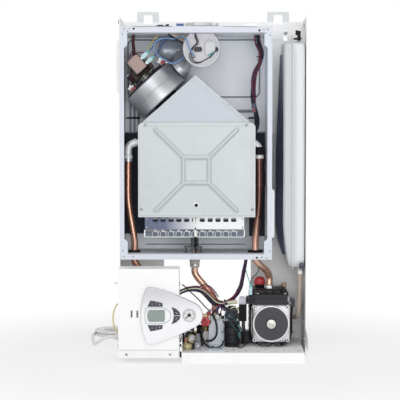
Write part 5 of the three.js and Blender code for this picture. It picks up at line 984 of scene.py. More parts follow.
def make_manifold():
    """The gas rail with its row of jets and brackets."""
    rail = Piece("gas_rail")
    low = limits("gas_manifold")[0]
    rack, rack_top = limits("burner_rack")
    front, back, foot = low.y + 2.2, 103, low.z
    section = [(front, foot + 1), (front + 1, foot), (back - 1, foot), (back, foot + 1), (back, RAIL_TOP - 1),
               (back - 1, RAIL_TOP), (front + 1, RAIL_TOP), (front, RAIL_TOP - 1)]
    rail.slab_x(section, rack.x, rack_top.x, JET_METAL)
    rail.block((rack.x, low.y, foot), (rack_top.x, front + 1, foot + 1.6), ZINC)
    jet = [(3.4, 0), (3.4, 2.4), (2.4, 3), (2.4, 6), (1.2, 6.4)]
    bolt = [(3.2, 0), (3.2, 0.9), (2.4, 1.6), (0, 1.6)]
    for x in burner_places():
        rail.lathe(jet, (x, 102.5, 264.5), ALONG_Y, JET_METAL, sides=6)
        hoop = [(x - 6, front - 1, foot + 1.4), (x - 6, front - 1, 264)]
        hoop += [(px, front - 1, pz) for px, pz in arc(x, 264, 6, 165, 15, 9)]
        hoop += [(x + 6, front - 1, 264), (x + 6, front - 1, foot + 1.4)]
        rail.tube(hoop, 0.9, GALVANISED, sides=8)
        rail.lathe(bolt, (x, front, 263), TO_FRONT, JET_METAL, sides=6)
        tab = [(x - 3, RAIL_TOP - 0.5), (x + 3, RAIL_TOP - 0.5), (x + 2.1, 272.1), (x - 2.1, 272.1)]
        rail.slab(tab, 99, 101.4, ZINC)
        tab = [(x + 5.2, RAIL_TOP - 0.5), (x + 8.6, RAIL_TOP - 0.5), (x + 8.6, 269.3), (x + 5.2, 269.3)]
        rail.slab(tab, 93, 99, GALVANISED)
    for x in (rack.x, rack_top.x):
        rail.slab_x([(94, foot + 1), (101, foot + 1), (101, 272), (94, 272)], x - 1.2, x + 1.2, GALVANISED)
    rail.slab_x([(102, foot + 0.6), (157.5, foot + 0.6), (157.5, 266), (102, 266)], -47.5, -32.5, ZINC)
    rail.lathe([(9.6, 0), (9.6, 3), (8.6, 4), (0, 4)], (GAS_X, GAS_Y, foot + 0.2), UP, ZINC, sides=6)
    rail.done(replaces=("gas_manifold",), bevel=0.3)


def make_electrode():
    """Two glazed rods over the burner, the lead's white plug under the rail and its black lead."""
    spark = Piece("spark_electrode")
    middle, plug_y = -37.5, 88.9
    glaze = [(1.6, 0), (2.2, 1), (2.2, 5), (2.0, 5.4), (2.2, 5.8), (2.2, 10.6), (1.4, 11.4)]
    for side in (-1, 1):
        x = middle + side * 3.2
        spark.lathe(glaze, (x, 96, 288), UP, CERAMIC, sides=20)
        spark.tube([(x, 96, 299), (x, 96, 303)], 0.7, SILVER, sides=8)
    spark.block((middle - 6.5, 95, 288), (middle + 6.5, 99.4, 290.6), ZINC)
    spark.screw((middle, 95, 293.4), TO_FRONT, 1.8)
    plug = [(2.2, 0), (2.8, 0.8), (2.8, 11), (2.3, 12.4), (2.0, 15)]
    spark.lathe(plug, (middle, plug_y, 258), UP, CERAMIC, sides=20)
    tail = [(middle, y, z) for y, z in ((plug_y, 271), (89.4, 273.6), (91.6, 275.6), (95.4, 276))]
    spark.tube(tail, 1.1, SOFT_BLACK, sides=10)
    spark.done(replaces=("ignition_electrode",), bevel=0.15)

    lead = Piece("spark_lead")
    route = [(middle, plug_y, 258.6), (middle, 88.8, 250), (middle - 0.5, 88.6, 240), (middle - 0.4, 92, 230),
             (middle + 0.2, 98, 226.6), (middle + 0.4, 100, 222.2)]
    lead.tube(route, 1.9, SOFT_BLACK, sides=12)
    boot = [(2.1, 0), (3.1, 0.8), (3.4, 3), (3.4, 15), (2.6, 17), (0, 17)]
    lead.lathe(boot, (middle - 0.2, 88.8, 241), UP, SOFT_BLACK, sides=20)
    oval = [(20 * math.cos(a) - 42.5, 100 + 8.4 * math.sin(a)) for a in turns(40)]
    lead.rings([[(x, y, z) for x, y in oval] for z in (234.6, 237.2)], BRACKET_SHEET)
    for x in (-58, -27):
        lead.screw((x, 100, 237.1), UP, 2.2)
        lead.rod((x, 100, 222), (x, 100, 235), 2, BRACKET_SHEET, sides=12)
    lead.lathe([(5, 0), (5, 2.4), (3.6, 4), (1.9, 4.4)], (middle + 0.4, 100, 237), UP, SOFT_BLACK, sides=20)
    lead.done(bevel=0.15)


make_cover()
make_exchanger()
make_hood_trim()
make_burner_front()
make_manifold()
make_electrode()

# Fan, flue duct and pressure switch; the fan's own frame runs along the hood's slope, its depth and its shaft

FAN_CENTRE = Vector((-123.5, 150, 574))
FAN_TILT = math.radians(42.5)
FAN_SLOPE = Vector((math.cos(FAN_TILT), 0, math.sin(FAN_TILT)))
FAN_SHAFT = Vector((-math.sin(FAN_TILT), 0, math.cos(FAN_TILT)))
FAN_RADIUS, FAN_HALF = 62, 27
FAN_TURN = Matrix((FAN_SLOPE, Vector(ALONG_Y), FAN_SHAFT)).transposed()


def fan(slope, depth, shaft):
    """A place in the fan's frame; depth runs towards the wall."""
    return FAN_CENTRE + FAN_SLOPE * slope + Vector(ALONG_Y) * depth + FAN_SHAFT * shaft


def fan_block(piece, low, high, material):
    """A box in the fan's frame."""
    middle = fan(*((a + b) / 2 for a, b in zip(low, high)))
    half = (Vector(high) - Vector(low)) / 2
    piece.block(middle - half, middle + half, material, FAN_TURN)


def make_fan_casing():
    """Two turned pans that meet in a low ridge, each with its ring of screws and its opening at the shaft."""
    r, h, wall, fold = FAN_RADIUS, FAN_HALF, 1.2, 3.2
    for name, side, hole, node, screws, screw_ring, screw_size in (
            ("fan_shell_low", -1, 26, "fan_casing_lower", range(45, 360, 90), 46, 2.6),
            ("fan_shell_high", 1, 5, "fan_casing_upper", range(20, 360, 60), 50, 2.4)):
        shell = Piece(name)
        edge = [(r - fold + fold * math.sin(a), h - fold + fold * math.cos(a))
                for a in (math.radians(v) for v in range(0, 91, 15))]
        outside = [(hole, h), (hole + 1.5, h + (0.6 if side < 0 else 0)), (hole + 4, h), (r - 9, h),
                   (r - 8, h - 0.5), (r - 6, h - 0.5), (r - 5, h), *edge, (r, 1.5), (r + 0.8, 1.2),
                   (r + 0.9, 0.4), (r + 0.6, 0.15)]
        inside = [(r - wall, 0.15), (r - wall, h - wall), (hole, h - wall)]
        profile = [(radius, side * height) for radius, height in outside + inside]
        shell.loop(profile, FAN_CENTRE, FAN_SHAFT, STAINLESS, sides=120)
        seat = -27.3 if side < 0 else 26.4
        for angle in screws:
            a = math.radians(angle)
            shell.screw(fan(screw_ring * math.cos(a), screw_ring * math.sin(a), seat), FAN_SHAFT * side,
                        screw_size)
        if side < 0:
            neck = [(26, -27.2), (30, -27.2), (30, -31.9), (26, -31.9)]
            shell.loop(neck, FAN_CENTRE, FAN_SHAFT, SOFT_BLACK, sides=64)
        shell.done(replaces=(node,), bevel=0, angle=40)


def make_fan_motor():
    """A shaded pole motor: a stack of laminations on a black plate and two cushioned feet."""
    motor = Piece("fan_drive")
    plate = [(6, 27.3), (56, 27.3), (57, 28), (57, 29.4), (56, 30), (6, 30)]
    motor.loop(plate, FAN_CENTRE, FAN_SHAFT, BLACK, sides=72)
    fan_block(motor, (-44, -9, 33), (59, 9, 36), LAMINATION)
    for x in (-36, 51):
        fan_block(motor, (x - 8, -9, 36.2), (x + 8, 9, 44), BLACK)
        fan_block(motor, (x - 6, -17, 30), (x + 6, -9.4, 43.5), WHITE_PLASTIC)
        fan_block(motor, (x - 4.6, -21, 30.4), (x + 7.4, -17.2, 38.6), DARK_RED)
        fan_block(motor, (x - 8, -19.5, 37.6), (x + 2.4, -17.2, 44.2), WHITE_PLASTIC)
        stud = [(3.4, 0), (3.4, 1.6), (2.4, 2.2), (0, 2.2)]
        motor.lathe(stud, fan(x + 6, -14, 29.6), TO_FRONT, SILVER, sides=6)
        motor.rod(fan(x, 0, 27.4), fan(x, 0, 47), 2.6, SILVER, sides=16)
        motor.lathe([(5, 0), (5, 3), (4, 4), (0, 4)], fan(x, 0, 44.2), FAN_SHAFT, SILVER, sides=6)
    sheets, thickness = 12, 22
    step = thickness / sheets
    for i in range(sheets):
        low = 42 + i * step
        inset = 0.35 * (i % 2)
        fan_block(motor, (-29 + inset, -8 + inset, low), (29 - inset, 32 - inset, low + step - 0.25),
                  LAMINATION)
        for x0, x1 in ((-18.3, -8.3), (22.3, 32.3)):
            fan_block(motor, (x0 + inset, -30 + inset, low), (x1 - inset, -7.5, low + step - 0.25),
                      LAMINATION)
    nut = [(4.2, 0), (4.2, 2.6), (3, 3.4), (0, 3.4)]
    for x in (-25, 25):
        for depth in (-3, 27):
            motor.rod(fan(x, depth, 40.4), fan(x, depth, 66), 2.3, SILVER, sides=16)
            motor.lathe(nut, fan(x, depth, 64.1), FAN_SHAFT, ZINC, sides=6)
    bearing = [(3.3, 30.4), (13, 30.4), (13, 41.8), (9, 41.8), (3.3, 41.8)]
    motor.loop(bearing, FAN_CENTRE, FAN_SHAFT, CAST, sides=40)
    fan_block(motor, (-21, 4, 64.2), (21, 16, 66.4), ZINC)
    motor.lathe([(9, 0), (9, 3), (7, 5.6), (3, 6.4), (0, 6.4)], fan(0, 10, 66.4), FAN_SHAFT, CAST, sides=36)
    motor.rod(fan(-14, -22, 38), fan(-2, -20, 38), 2.2, SILVER, sides=14)
    motor.rod(fan(10, -24, 36.4), fan(14, -18, 41), 1.6, BRASS, sides=10)
    for route, thick, material in (
            (((-20, -26, 40), (-8, -30, 37), (6, -29, 38), (20, -24, 36), (30, -16, 37)), 0.9, WIRE["black"]),
            (((-16, -20, 38), (0, -26, 35.6), (16, -24, 38), (28, -20, 40)), 0.8, SILVER)):
        motor.tube([fan(*place) for place in route], thick, material, sides=8)
    motor.done(replaces=("fan_motor",), bevel=0.25)


def make_fan_coil():
    """The taped winding between two black flanges, with a low wave for each band of tape."""
    coil = Piece("drive_coil")
    left, right, low, high, front, back = -8, 22, 50, 86, -42, -8.3
    bands = 13
    rings = []
    for i in range(bands * 4 + 1):
        share = i / (bands * 4)
        shaft = low + (high - low) * share
        swell = 0.35 * math.cos(2 * math.pi * share * bands) - 0.35
        close = 2.6 * (1 - min(1, min(share, 1 - share) / 0.08)) ** 2
        inset = close - swell
        outline = rounded(left + inset, right - inset, front + inset, back - inset, 5, 5)
        rings.append([fan(x, y, shaft) for x, y in outline])
    coil.rings(rings, COIL_TAPE)
    for shaft in (low - 0.2, high - 2.2):
        fan_block(coil, (left - 1.6, front + 2, shaft), (right + 1.6, back + 0.1, shaft + 2.2), BLACK)
    for x in (left - 2.4, right + 1.0):
        fan_block(coil, (x, front + 6, low + 2), (x + 1.4, back - 2, high - 2), BLACK)
    coil.done(replaces=("fan_motor_coil",), bevel=0.3)


def make_fan_wiring():
    """The two sleeved spades on the coil with their leads, and the harness that comes down the corner."""
    plugs = Piece("fan_connectors")
    for start, shaft in ((24.3, 70.8), (24.8, 55.8)):
        fan_block(plugs, (start, -40, shaft - 4.4), (start + 15, -34, shaft + 4.4), PALE_TEAL)
        fan_block(plugs, (start + 15, -39.4, shaft - 3), (start + 21, -34.6, shaft + 3), TEAL)
        fan_block(plugs, (start - 2.5, -38, shaft - 2.2), (start + 1, -37, shaft + 2.2), SILVER)
        end = fan(start + 20, -37, shaft)
        far = Vector((-98 + (shaft - 56) * 0.4, 138, 690))
        route = [end, end + FAN_SLOPE * 8, end + FAN_SLOPE * 18 + Vector((0, 12, 6)), far]
        plugs.tube(route, 1.3, WIRE["blue"], sides=8)
    route = [(-141, 116, 655), (-138.5, 118, 664), (-134, 124, 673), (-127, 129, 684), (-121, 133, 691),
             (-119, 134, 693)]
    plugs.tube(route, 1.5, WIRE["yellow"], sides=10)
    route = [fan(3, -30, 84), fan(6, -32, 90), fan(13, -34, 92), (-141, 116, 655.5)]
    plugs.tube(route, 1.3, WIRE["maroon"], sides=8)
    plugs.done(bevel=0.3)

    harness = Piece("fan_harness")
    offsets = ((0, 0), (2.1, 1.2), (-2.0, 1.0), (0.4, -2.2), (2.8, -1.2))
    for k, ((dx, dy), colour) in enumerate(zip(offsets, ("black", "navy", "black", "maroon", "black"))):
        path = [(-172.5, 128, 693), (-173.5, 128, 678), (-172, 126, 662), (-171.5, 126, 648),
                (-176, 128, 630 - 3 * k), (-178, 132, 606 - 5 * k)]
        harness.tube([(x + dx, y + dy, z) for x, y, z in path], 1.25, WIRE[colour], sides=8)
    tie = [(-172.4 + 4.4 * math.cos(a), 126.4 + 4.4 * math.sin(a)) for a in turns(20)]
    harness.rings([[(x, y, z) for x, y in tie] for z in (654, 657)], SOFT_BLACK)
    harness.done(bevel=0)


MUFFLER_Y, MUFFLER_Z, MUFFLER_RADIUS = 187, 661, 25.4
FLUE_X, FLUE_Y, FLUE_TOP = -25, 158, 720


def make_flue():
    """The duct leaves the fan, swells into a drum behind it and turns up into the round collar."""
    duct = Piece("flue_duct")
    r = MUFFLER_RADIUS
    drum = [(0, 0), (14, 0.6), (21, 3), (24.6, 8), (r, 14), (r, 44), (26.2, 45), (26.2, 48), (r, 49), (r, 66)]
    duct.lathe(drum, (-120.5, MUFFLER_Y, MUFFLER_Z), ALONG_X, GREY_DUCT, sides=72)
    bend = [(-56, MUFFLER_Y, MUFFLER_Z), (-50, MUFFLER_Y, 661.5), (-40, 183, 665), (-31, 172, 676),
            (-26, 162, 690), (FLUE_X, FLUE_Y, 703), (FLUE_X, FLUE_Y, 712)]
    duct.tube(bend, r, GREY_DUCT, sides=48, spacing=4)
    outlet = [fan(62.3, 0, 0), fan(68, 0, 0), fan(78, 4, 2), fan(86, 14, 8), fan(88, 26, 18), fan(84, 34, 28)]
    duct.tube(outlet, lambda share: 21.5 + 1.5 * math.exp(-((share - 0.08) / 0.05) ** 2), STAINLESS, sides=48)
    flange = [(21, 0.4), (r, 0.4), (26, 1), (26, 3.2), (r, 3.8), (21, 3.8)]
    duct.loop(flange, fan(62, 0, 0), FAN_SLOPE, STAINLESS, sides=56)
    collar = [(30, 693.6), (37, 693.6), (37, 717.4), (36.4, 719.2), (35, FLUE_TOP), (30, FLUE_TOP)]
    foot = [(36.8, 695.1), (44, 695.1), (44, 697), (36.8, 697)]
    seal = [(25.6, 705), (30.2, 705), (30.2, 712), (25.6, 712)]
    for profile, material, sides in ((collar, CAST, 96), (foot, CAST, 96), (seal, GREY_RUBBER, 72)):
        duct.loop(profile, (FLUE_X, FLUE_Y, 0), UP, material, sides)
    for k in range(4):
        a = math.radians(45 + 90 * k)
        duct.screw((FLUE_X + 40.6 * math.cos(a), FLUE_Y + 40.6 * math.sin(a), 697), UP, 2.4)
    for x in (-35.7, 2.0):
        duct.lathe([(4.6, 0), (4.6, 6), (3.6, 7.4), (0, 7.6)], (x, 122.5, 710.5), UP, WHITE_PLASTIC, sides=24)
    duct.done(replaces=("flue_collar",), bevel=0, angle=42)

    saddle = Piece("duct_saddle")
    saddle.slab([(-96.1, 693.2), (-60.5, 672.8), (-51.4, 689.8), (-53.6, 693.2)], 104, 132, BRACKET_BROWN)
    saddle.slab([(-98.6, 693.2), (-60.9, 671.2), (-60.0, 672.8), (-94.6, 693.2)], 102.6, 133, SOFT_BLACK)
    saddle.done(bevel=0.5)


def make_switch():
    """The round air pressure switch, its cover, slot, screws and terminals."""
    x, z, front, ceiling = -24.5, 661, 88, 693.2
    switch = Piece("air_switch")
    profile = [(0, 15), (36, 15), (38, 14), (39.6, 12.6), (40.5, 10.6), (40.5, 4.4), (40.0, 2.6), (38.8, 1.2),
               (37, 0.6), (35.6, 0.9), (34.8, 1.5), (33.8, 1.5), (33, 0.7), (31.4, 0.25), (0, 0.25)]
    rings = []
    for radius, depth in profile:
        r = max(radius, 0.01)
        rim = [(r * math.cos(a), r * math.sin(a)) for a in turns(112)]
        rings.append([(x + across, front + depth, min(ceiling, z + up)) for across, up in rim])
    switch.rings(rings, PALE_SWITCH)
    switch.block((x - 27, 96, ceiling - 11), (x + 27, 99, ceiling), GALVANISED)
    switch.block((x - 26, 86.2, ceiling - 9.6), (x + 25, 88.2, ceiling - 0.4), LILAC)
    cover = [(-17, 672.6), (-13.8, 675.4), (2.4, 674.6), (4.6, 672.4), (5.2, 660), (4.6, 650), (1.6, 645.6),
             (-13, 644.6), (-16.2, 646.6), (-17.6, 655)]
    cx, cz = -6, 660
    rings = []
    for shrink, y in ((1.0, 88.6), (1.0, 84.2), (0.97, 82.6), (0.9, 81.8)):
        rings.append([(cx + (px - cx) * shrink, y, cz + (pz - cz) * shrink) for px, pz in cover])
    switch.rings(rings, PALE_SWITCH)
    slot = rounded(-40.9, -23.4, 653.6, 664.4, 4.6, 5)
    switch.slab(slot, 86.9, 88.6, SLOT_PLUM)
    rim = [(px, 87.2, pz) for px, pz in rounded(-41.6, -22.7, 652.9, 665.1, 5.2, 6)]
    switch.tube(shut(rim), 0.7, PALE_SWITCH, sides=8, smooth=False)
    for px in (-37, -31.5, -27):
        switch.rod((px, 86.4, 659), (px, 88, 659), 1.5, BLACK, sides=14)
    for px, pz in ((-17.2, 678.4), (-3.5, 678.2), (-10.2, 679.6)):
        switch.screw((px, 87.9, pz), TO_FRONT, 1.9)
    nozzle = [(3, 0), (3, 1.2), (2.2, 2), (2.2, 4.6), (2.9, 5.2), (2.2, 6.4), (2.2, 8), (1.6, 9.4)]
    switch.lathe(nozzle, (-41.5, 88.4, 646), TO_FRONT, PALE_SWITCH, sides=24)
    switch.block((-44.6, 85.6, 641), (-38, 88.4, 643), GREY_KEY)
    switch.lathe([(5.2, 0), (5.2, 2.4), (4.2, 3.2), (0, 3.2)], (6.4, 88, 658.8), TO_FRONT, GREY_KEY, sides=24)
    switch.block((3.9, 82.4, 656.4), (8.9, 85.2, 661.4), BLACK, Matrix.Rotation(0.5, 3, "Y"))
    switch.block((-9.6, 79.6, 645), (-1.2, 83, 650.4), TEAL, Matrix.Rotation(-0.45, 3, "Y"))
    switch.block((-5.6, 79, 649), (2.6, 82.4, 652.6), TEAL, Matrix.Rotation(-0.75, 3, "Y"))
    switch.done(replaces=("pressure_switch",), bevel=0.25)


def make_switch_leads():
    """The switch's two leads, side by side in a loop under its cover."""
    leads = Piece("switch_leads")
    outer = [(-38.4, 84, 692), (-38.2, 82, 684), (-34.6, 80, 677), (-35, 79, 671), (-43, 78, 663),
             (-48.4, 78, 653), (-49.6, 78, 642), (-45, 78, 633), (-36, 78, 629), (-27, 78, 630.6),
             (-17, 78, 636), (-7, 78, 642), (0.6, 78, 649), (5.6, 79, 656)]
    leads.tube(outer, 1.15, WIRE["black"], sides=10)
    inner = [(px + 3.4, py - 1.6, pz + 1.8) for px, py, pz in outer[4:-2]]
    start = [(-37, 82, 691), (-35, 81, 684), (-31.6, 79, 677), (-32.6, 78, 670)]
    leads.tube([*start, *inner, (-3, 78.6, 649)], 1.1, WIRE["black"], sides=10)
    leads.done(bevel=0)


def make_sensing_tube():
    """The blue tube that loops over the fan from the switch, and the short one behind it."""
    tube = Piece("sensing_tube")
    low = Vector((-127, 73, 630))
    extent = Vector((77, 43, 57))
    shares = [(1, 0.01, 0.53), (0.92, 0.09, 0.84), (0.79, 0.35, 1), (0.66, 0.7, 0.96), (0.53, 0.86, 0.93),
              (0.38, 0.81, 0.95), (0.14, 0.72, 0.89), (0, 0.67, 0.68), (0.1, 0.65, 0.35), (0.29, 0.6, 0.14),
              (0.51, 0.56, 0), (0.7, 0.67, 0.09), (0.84, 0.91, 0.28), (0.91, 1, 0.53)]
    route = [(-41.5, 79.2, 646), (-41.5, 73.5, 646)]
    route += [low + Vector([e * s for e, s in zip(extent, share)]) for share in shares]
    tube.tube(route, 1.95, BLUE_TUBE, sides=14, spacing=2)
    short = [(-57, 116, 660), (-54.5, 114, 672), (-51.5, 108, 684), (-50.5, 104, 691), (-50.3, 103, 693)]
    tube.tube(short, 2.6, BLUE_TUBE, sides=14, spacing=2)
    tube.done(replaces=("pressure_tube",), bevel=0)


make_fan_casing()
make_fan_motor()
make_fan_coil()
make_fan_wiring()
make_flue()
make_switch()
make_switch_leads()
make_sensing_tube()

# Copper pipes with their couplings, the seals in the chamber's floor and the gas boot

STUB_LOW, FLOOR_Z = 424.7, 222
FLOW_FLOOR_X, RETURN_FLOOR_X = -170.5, 92.2
RISER_SHARES = ((0, 0, 0.17), (0, 0, 0.42), (0.26, 0, 0.57), (0.74, 0, 0.76), (1, 0, 0.87), (1, 0, 0.99))
FLOW_SHARES = ((0, 0, 0.09), (0.07, 0.06, 0.17), (0.28, 0.38, 0.36), (0.53, 0.75, 0.68), (0.65, 1, 0.91),
               (0.8, 1, 1))
RETURN_SHARES = ((0, 0, 0.2), (0.25, 0.12, 0.36), (0.76, 0.56, 0.56), (1, 1, 0.76))
GAS_SHARES = ((0, 0, 0.12), (0, 0, 0.32), (0, 0, 0.4), (0, 0, 0.45), (0.12, 0, 0.51), (0.52, 0, 0.63),
              (0.9, 0.3, 0.75), (1, 1, 0.84))


def riser(stub_x, floor_x, lower_shares, end):
    """A pipe's route from the exchanger's stub down through the chamber's floor to its valve."""
    stub, floor = (stub_x, PIPE_Y, STUB_LOW), (floor_x, PIPE_Y, FLOOR_Z)
    return [stub, *between(stub, floor, RISER_SHARES), *between(floor, end, lower_shares), end]


def make_pipes():
    """The flow, return and gas pipes, each with its nuts and rings."""
    flow = Piece("flow_tube")
    end = (-62.3, 136, 35.85)
    flow.tube(riser(FLOW_X, FLOW_FLOOR_X, FLOW_SHARES, end), PIPE_RADIUS, COPPER, sides=40)
    ring = [(7.6, 418), (9.4, 418.6), (9.9, 420.4), (9.9, 424), (9.2, 425.4), (7.6, 425.6)]
    flow.loop(ring, (FLOW_X, PIPE_Y, 0), UP, SILVER, sides=48)
    flow.loop([(7.6, 0), (10.4, 0), (10.4, 9), (7.6, 9)], (-62.6, *end[1:]), TO_LEFT, BRASS, sides=6)
    flow.done(replaces=("flow_pipe",), bevel=0.2, angle=45)

    back = Piece("return_tube")
    end = (123.5, 152, 148.3)
    back.tube(riser(RETURN_X, RETURN_FLOOR_X, RETURN_SHARES, end), PIPE_RADIUS, RETURN_COPPER_PAINTED_SHADE, sides=40)
    back.loop([(7.5, 424), (8, 424.4), (8, 434), (7.5, 434)], (RETURN_X, PIPE_Y, 0), UP, COPPER, sides=48)
    sleeve = [(7.6, 434), (8.6, 434.4), (9.4, 436), (9.4, 442.6), (8.6, 443.4), (9.4, 444.2), (9.4, 450),
              (7.6, 451)]
    back.loop(sleeve, (RETURN_X, PIPE_Y, 0), UP, SOFT_BLACK, sides=48)
    back.done(replaces=("return_pipe",), bevel=0.2, angle=45)

    gas = Piece("gas_tube")
    start, end = (GAS_X, GAS_Y, 256.2), (VALVE_X, VALVE_Y, 78.3)
    gas.tube([start, *between(start, end, GAS_SHARES), end], PIPE_RADIUS, BRIGHT_COPPER, sides=40)
    gas.loop([(7.6, 78.6), (9.2, 79), (9.2, 84), (7.6, 84.4)], (VALVE_X, VALVE_Y, 0), UP, BRASS, sides=6)
    sleeve = [(7.6, 224), (8.6, 224.4), (8.6, 240), (8.2, 241), (8.6, 242), (8.6, 255), (7.6, 255.6)]
    gas.loop(sleeve, (GAS_X, GAS_Y, 0), UP, SHADED_METAL, sides=40)
    gas.done(replaces=("gas_pipe",), bevel=0.2, angle=45)


def make_floor_seals():
    """The rubber seals where the three pipes pass the chamber's floor."""
    for name, node, x, radius in (("left_floor_seal", "flow_grommet", FLOW_FLOOR_X, 14),
                                  ("right_floor_seal", "return_grommet", RETURN_FLOOR_X, 17)):
        seal = Piece(name)
        section = [(7.8, 209.6), (radius - 3.3, 209.6), (radius - 3.3, 222.2), (radius, 222.3),
                   (radius, 224.4), (radius - 0.8, 225.6), (radius - 3, 226.6), (10.4, 227.2), (8.8, 226.6),
                   (7.8, 225)]
        seal.loop(section, (x, PIPE_Y, 0), UP, SOFT_BLACK, sides=56)
        seal.done(replaces=(node,), bevel=0)

    boot = Piece("gas_boot")
    section = [(7.8, 186.2), (9.2, 186.2), (10.4, 187.6), (9.8, 189.6), (10.6, 196), (12.2, 205), (13.2, 211),
               (14, 213), (14, 220.3), (7.8, 220.3)]
    band = [(10.0, 190.4), (11.2, 190.6), (11.2, 193.2), (10.4, 193.4)]
    boot.loop(section, (GAS_X, GAS_Y, 0), UP, GREY_RUBBER, sides=56)
    boot.loop(band, (GAS_X, GAS_Y, 0), UP, SILVER, sides=56)
    boot.done(replaces=("gas_gland",), bevel=0)


# Valves on the tray

WATER_Y, WATER_Z = 136, 36
RELIEF_X, RELIEF_Z = -17, 77


def wavy(radius, swell, lobes, count):
    """A closed line of pairs round zero, its radius swelling at each of the lobes."""
    line = []
    for a in turns(count):
        r = radius + swell * math.cos(lobes * a)
        line.append((r * math.cos(a), r * math.sin(a)))
    return line


def make_gas_valve():
    """A galvanised bracket with a folded foot, the valve's body behind it and its test nipple on top."""
    valve = Piece("gas_block")
    left, right, front, top = -9, 26, 108, 78
    face = [(left, TRAY_TOP), (left, 58), (left + 3, 66), (left + 5, 72), (left + 11, top), (right - 9, top),
            (right - 5, 73), (right - 1, 66), (right, 56), (right, TRAY_TOP)]
    valve.slab(face, front, front + 2.4, ZINC)
    valve.block((-17, 15.2, TRAY_TOP), (22.5, front + 0.6, TRAY_TOP + 1.3), ZINC)
    valve.block((left + 1, front + 2.4, TRAY_TOP), (right - 1, 121.6, 74), GALVANISED)
    valve.block((left + 0.5, front + 2.4, 54), (right - 0.5, 162, 78), CAST)
    seat = [(7.8, 77.6), (10.4, 77.6), (10.4, 78.1), (7.8, 78.1)]
    valve.loop(seat, (VALVE_X, VALVE_Y, 0), UP, BRASS, sides=32)
    for x, z in ((-4.6, 30), (20.6, 30), (20.4, 50)):
        valve.screw((x, front, z), TO_FRONT, 2.6)
    for x, y in ((-6.4, 36), (15.6, 30)):
        valve.screw((x, y, TRAY_TOP + 1.3), UP, 3.4)
    valve.block((2, 108.2, 76.6), (16.4, 116, 89), SILVER)
    nipple = [(5.5, 0), (5.5, 8), (6.4, 8.6), (6.4, 12.2), (5.6, 13.2), (5.6, 16), (4.4, 17), (0, 17)]
    valve.lathe(nipple, (9.2, 108.4, 84), TO_FRONT, SILVER, sides=40)
    valve.lathe([(3, 0), (3, 1.6), (0, 1.6)], (9.2, 91.4, 84), TO_FRONT, PRINT, sides=24)
    valve.lathe([(3.6, 0), (3.6, 4), (2.4, 5), (2.4, 12), (0, 12.6)], (-2.6, 112.4, 78), UP, SILVER, sides=6)
    valve.lathe([(3.4, 0), (3.4, 5), (2.6, 6), (0, 6)], (21.4, 114, 78), UP, BLACK, sides=24)
    for k in range(5):
        x = left + 3 + 5.4 * k
        valve.block((x, 56 + 1.5 * k, TRAY_TOP + 1.1), (x + 1.2, 98, TRAY_TOP + 1.7), ZINC)
    valve.done(replaces=("gas_valve",), bevel=0.4)


def make_water_group():
    """The brass manifold bar with its union, the relief valve's body and dark fittings in front."""
    group = Piece("water_manifold")
    for low, high, material in (
            ((-62, 122, TRAY_TOP), (-46, 150, 50), BRASS), ((-31, 123, TRAY_TOP), (-3, 149, 49), CAST),
            ((60, 122.2, TRAY_TOP), (78, 149.8, 49.8), BLACK), ((-6, 124, TRAY_TOP), (60, 148, 30), BRASS),
            ((-55, 104, TRAY_TOP), (-47, 123, 31.4), BRASS), ((-36, 96, TRAY_TOP), (-22, 122.4, 47), BLACK),
            ((-43, 98, 24), (-36, 118, 38), GREY_KEY)):
        group.block(low, high, material)
    group.rod((-46.5, WATER_Y, WATER_Z), (-24, WATER_Y, WATER_Z), 12.6, BRASS, sides=48)
    group.rod((-4, WATER_Y, WATER_Z), (62, WATER_Y, WATER_Z), 13.6, BRASS, sides=48)
    group.rod((RELIEF_X, WATER_Y, RELIEF_Z), (RELIEF_X, 99, RELIEF_Z), 8, BRASS, sides=40)
    group.rod((RELIEF_X, 100, RELIEF_Z), (RELIEF_X, 87.2, RELIEF_Z), 8.6, SILVER, sides=6)
    nut = [(11, 0), (11, 9.4), (9.6, 10.8), (0, 10.8)]
    stub = [(4, 0), (4, 3), (4.7, 3.4), (4.7, 5.4), (4, 6), (4, 13), (3.2, 14), (0, 14)]
    relief = [(8, 0), (8, 3), (9, 3.6), (9, 8), (8, 8.8), (8, 33), (6.6, 36), (0, 36.4)]
    plug = [(7.4, 0), (7.4, 3), (6.2, 4), (6.2, 12), (7, 13), (7, 18), (5.4, 19), (0, 19)]
    drain = [(6, 0), (6, 5), (4.8, 6), (4.8, 14), (0, 14.6)]
    for profile, place, material, sides in (
            (nut, (-51, 104, TRAY_TOP), BRASS, 6), (stub, (-51, 104, 32.4), COPPER, 32),
            (relief, (RELIEF_X, WATER_Y, 49.4), BRASS, 40), (plug, (-29, 104, 46.8), SOFT_BLACK, 32),
            (drain, (-38, 92, TRAY_TOP), GREY_RUBBER, 32)):
        group.lathe(profile, place, UP, material, sides)
    group.done(replaces=("water_group",), bevel=0.5)

    knob = Piece("relief_cap")
    layers = ((86.7, 0.8), (85.6, 0), (73.6, 0), (71.9, 0.9), (71.2, 2.6), (71.1, 6))
    knob.rings([[(RELIEF_X + across, y, RELIEF_Z + up) for across, up in wavy(10.3 - inset, 1.2, 6, 132)]
                for y, inset in layers], RED)
    ridge = [(2, 0), (6.4, 0), (6.4, 0.7), (5.6, 1), (3, 1), (2, 0.6)]
    knob.loop(ridge, (RELIEF_X, 71.2, RELIEF_Z), TO_FRONT, DARK_RED, sides=40)
    knob.block((RELIEF_X - 1.1, 70.2, 78.5), (RELIEF_X + 1.1, 71.3, 86), DARK_RED)
    knob.done(body="relief_valve_knob", replaces=("relief_valve_knob",), bevel=0)


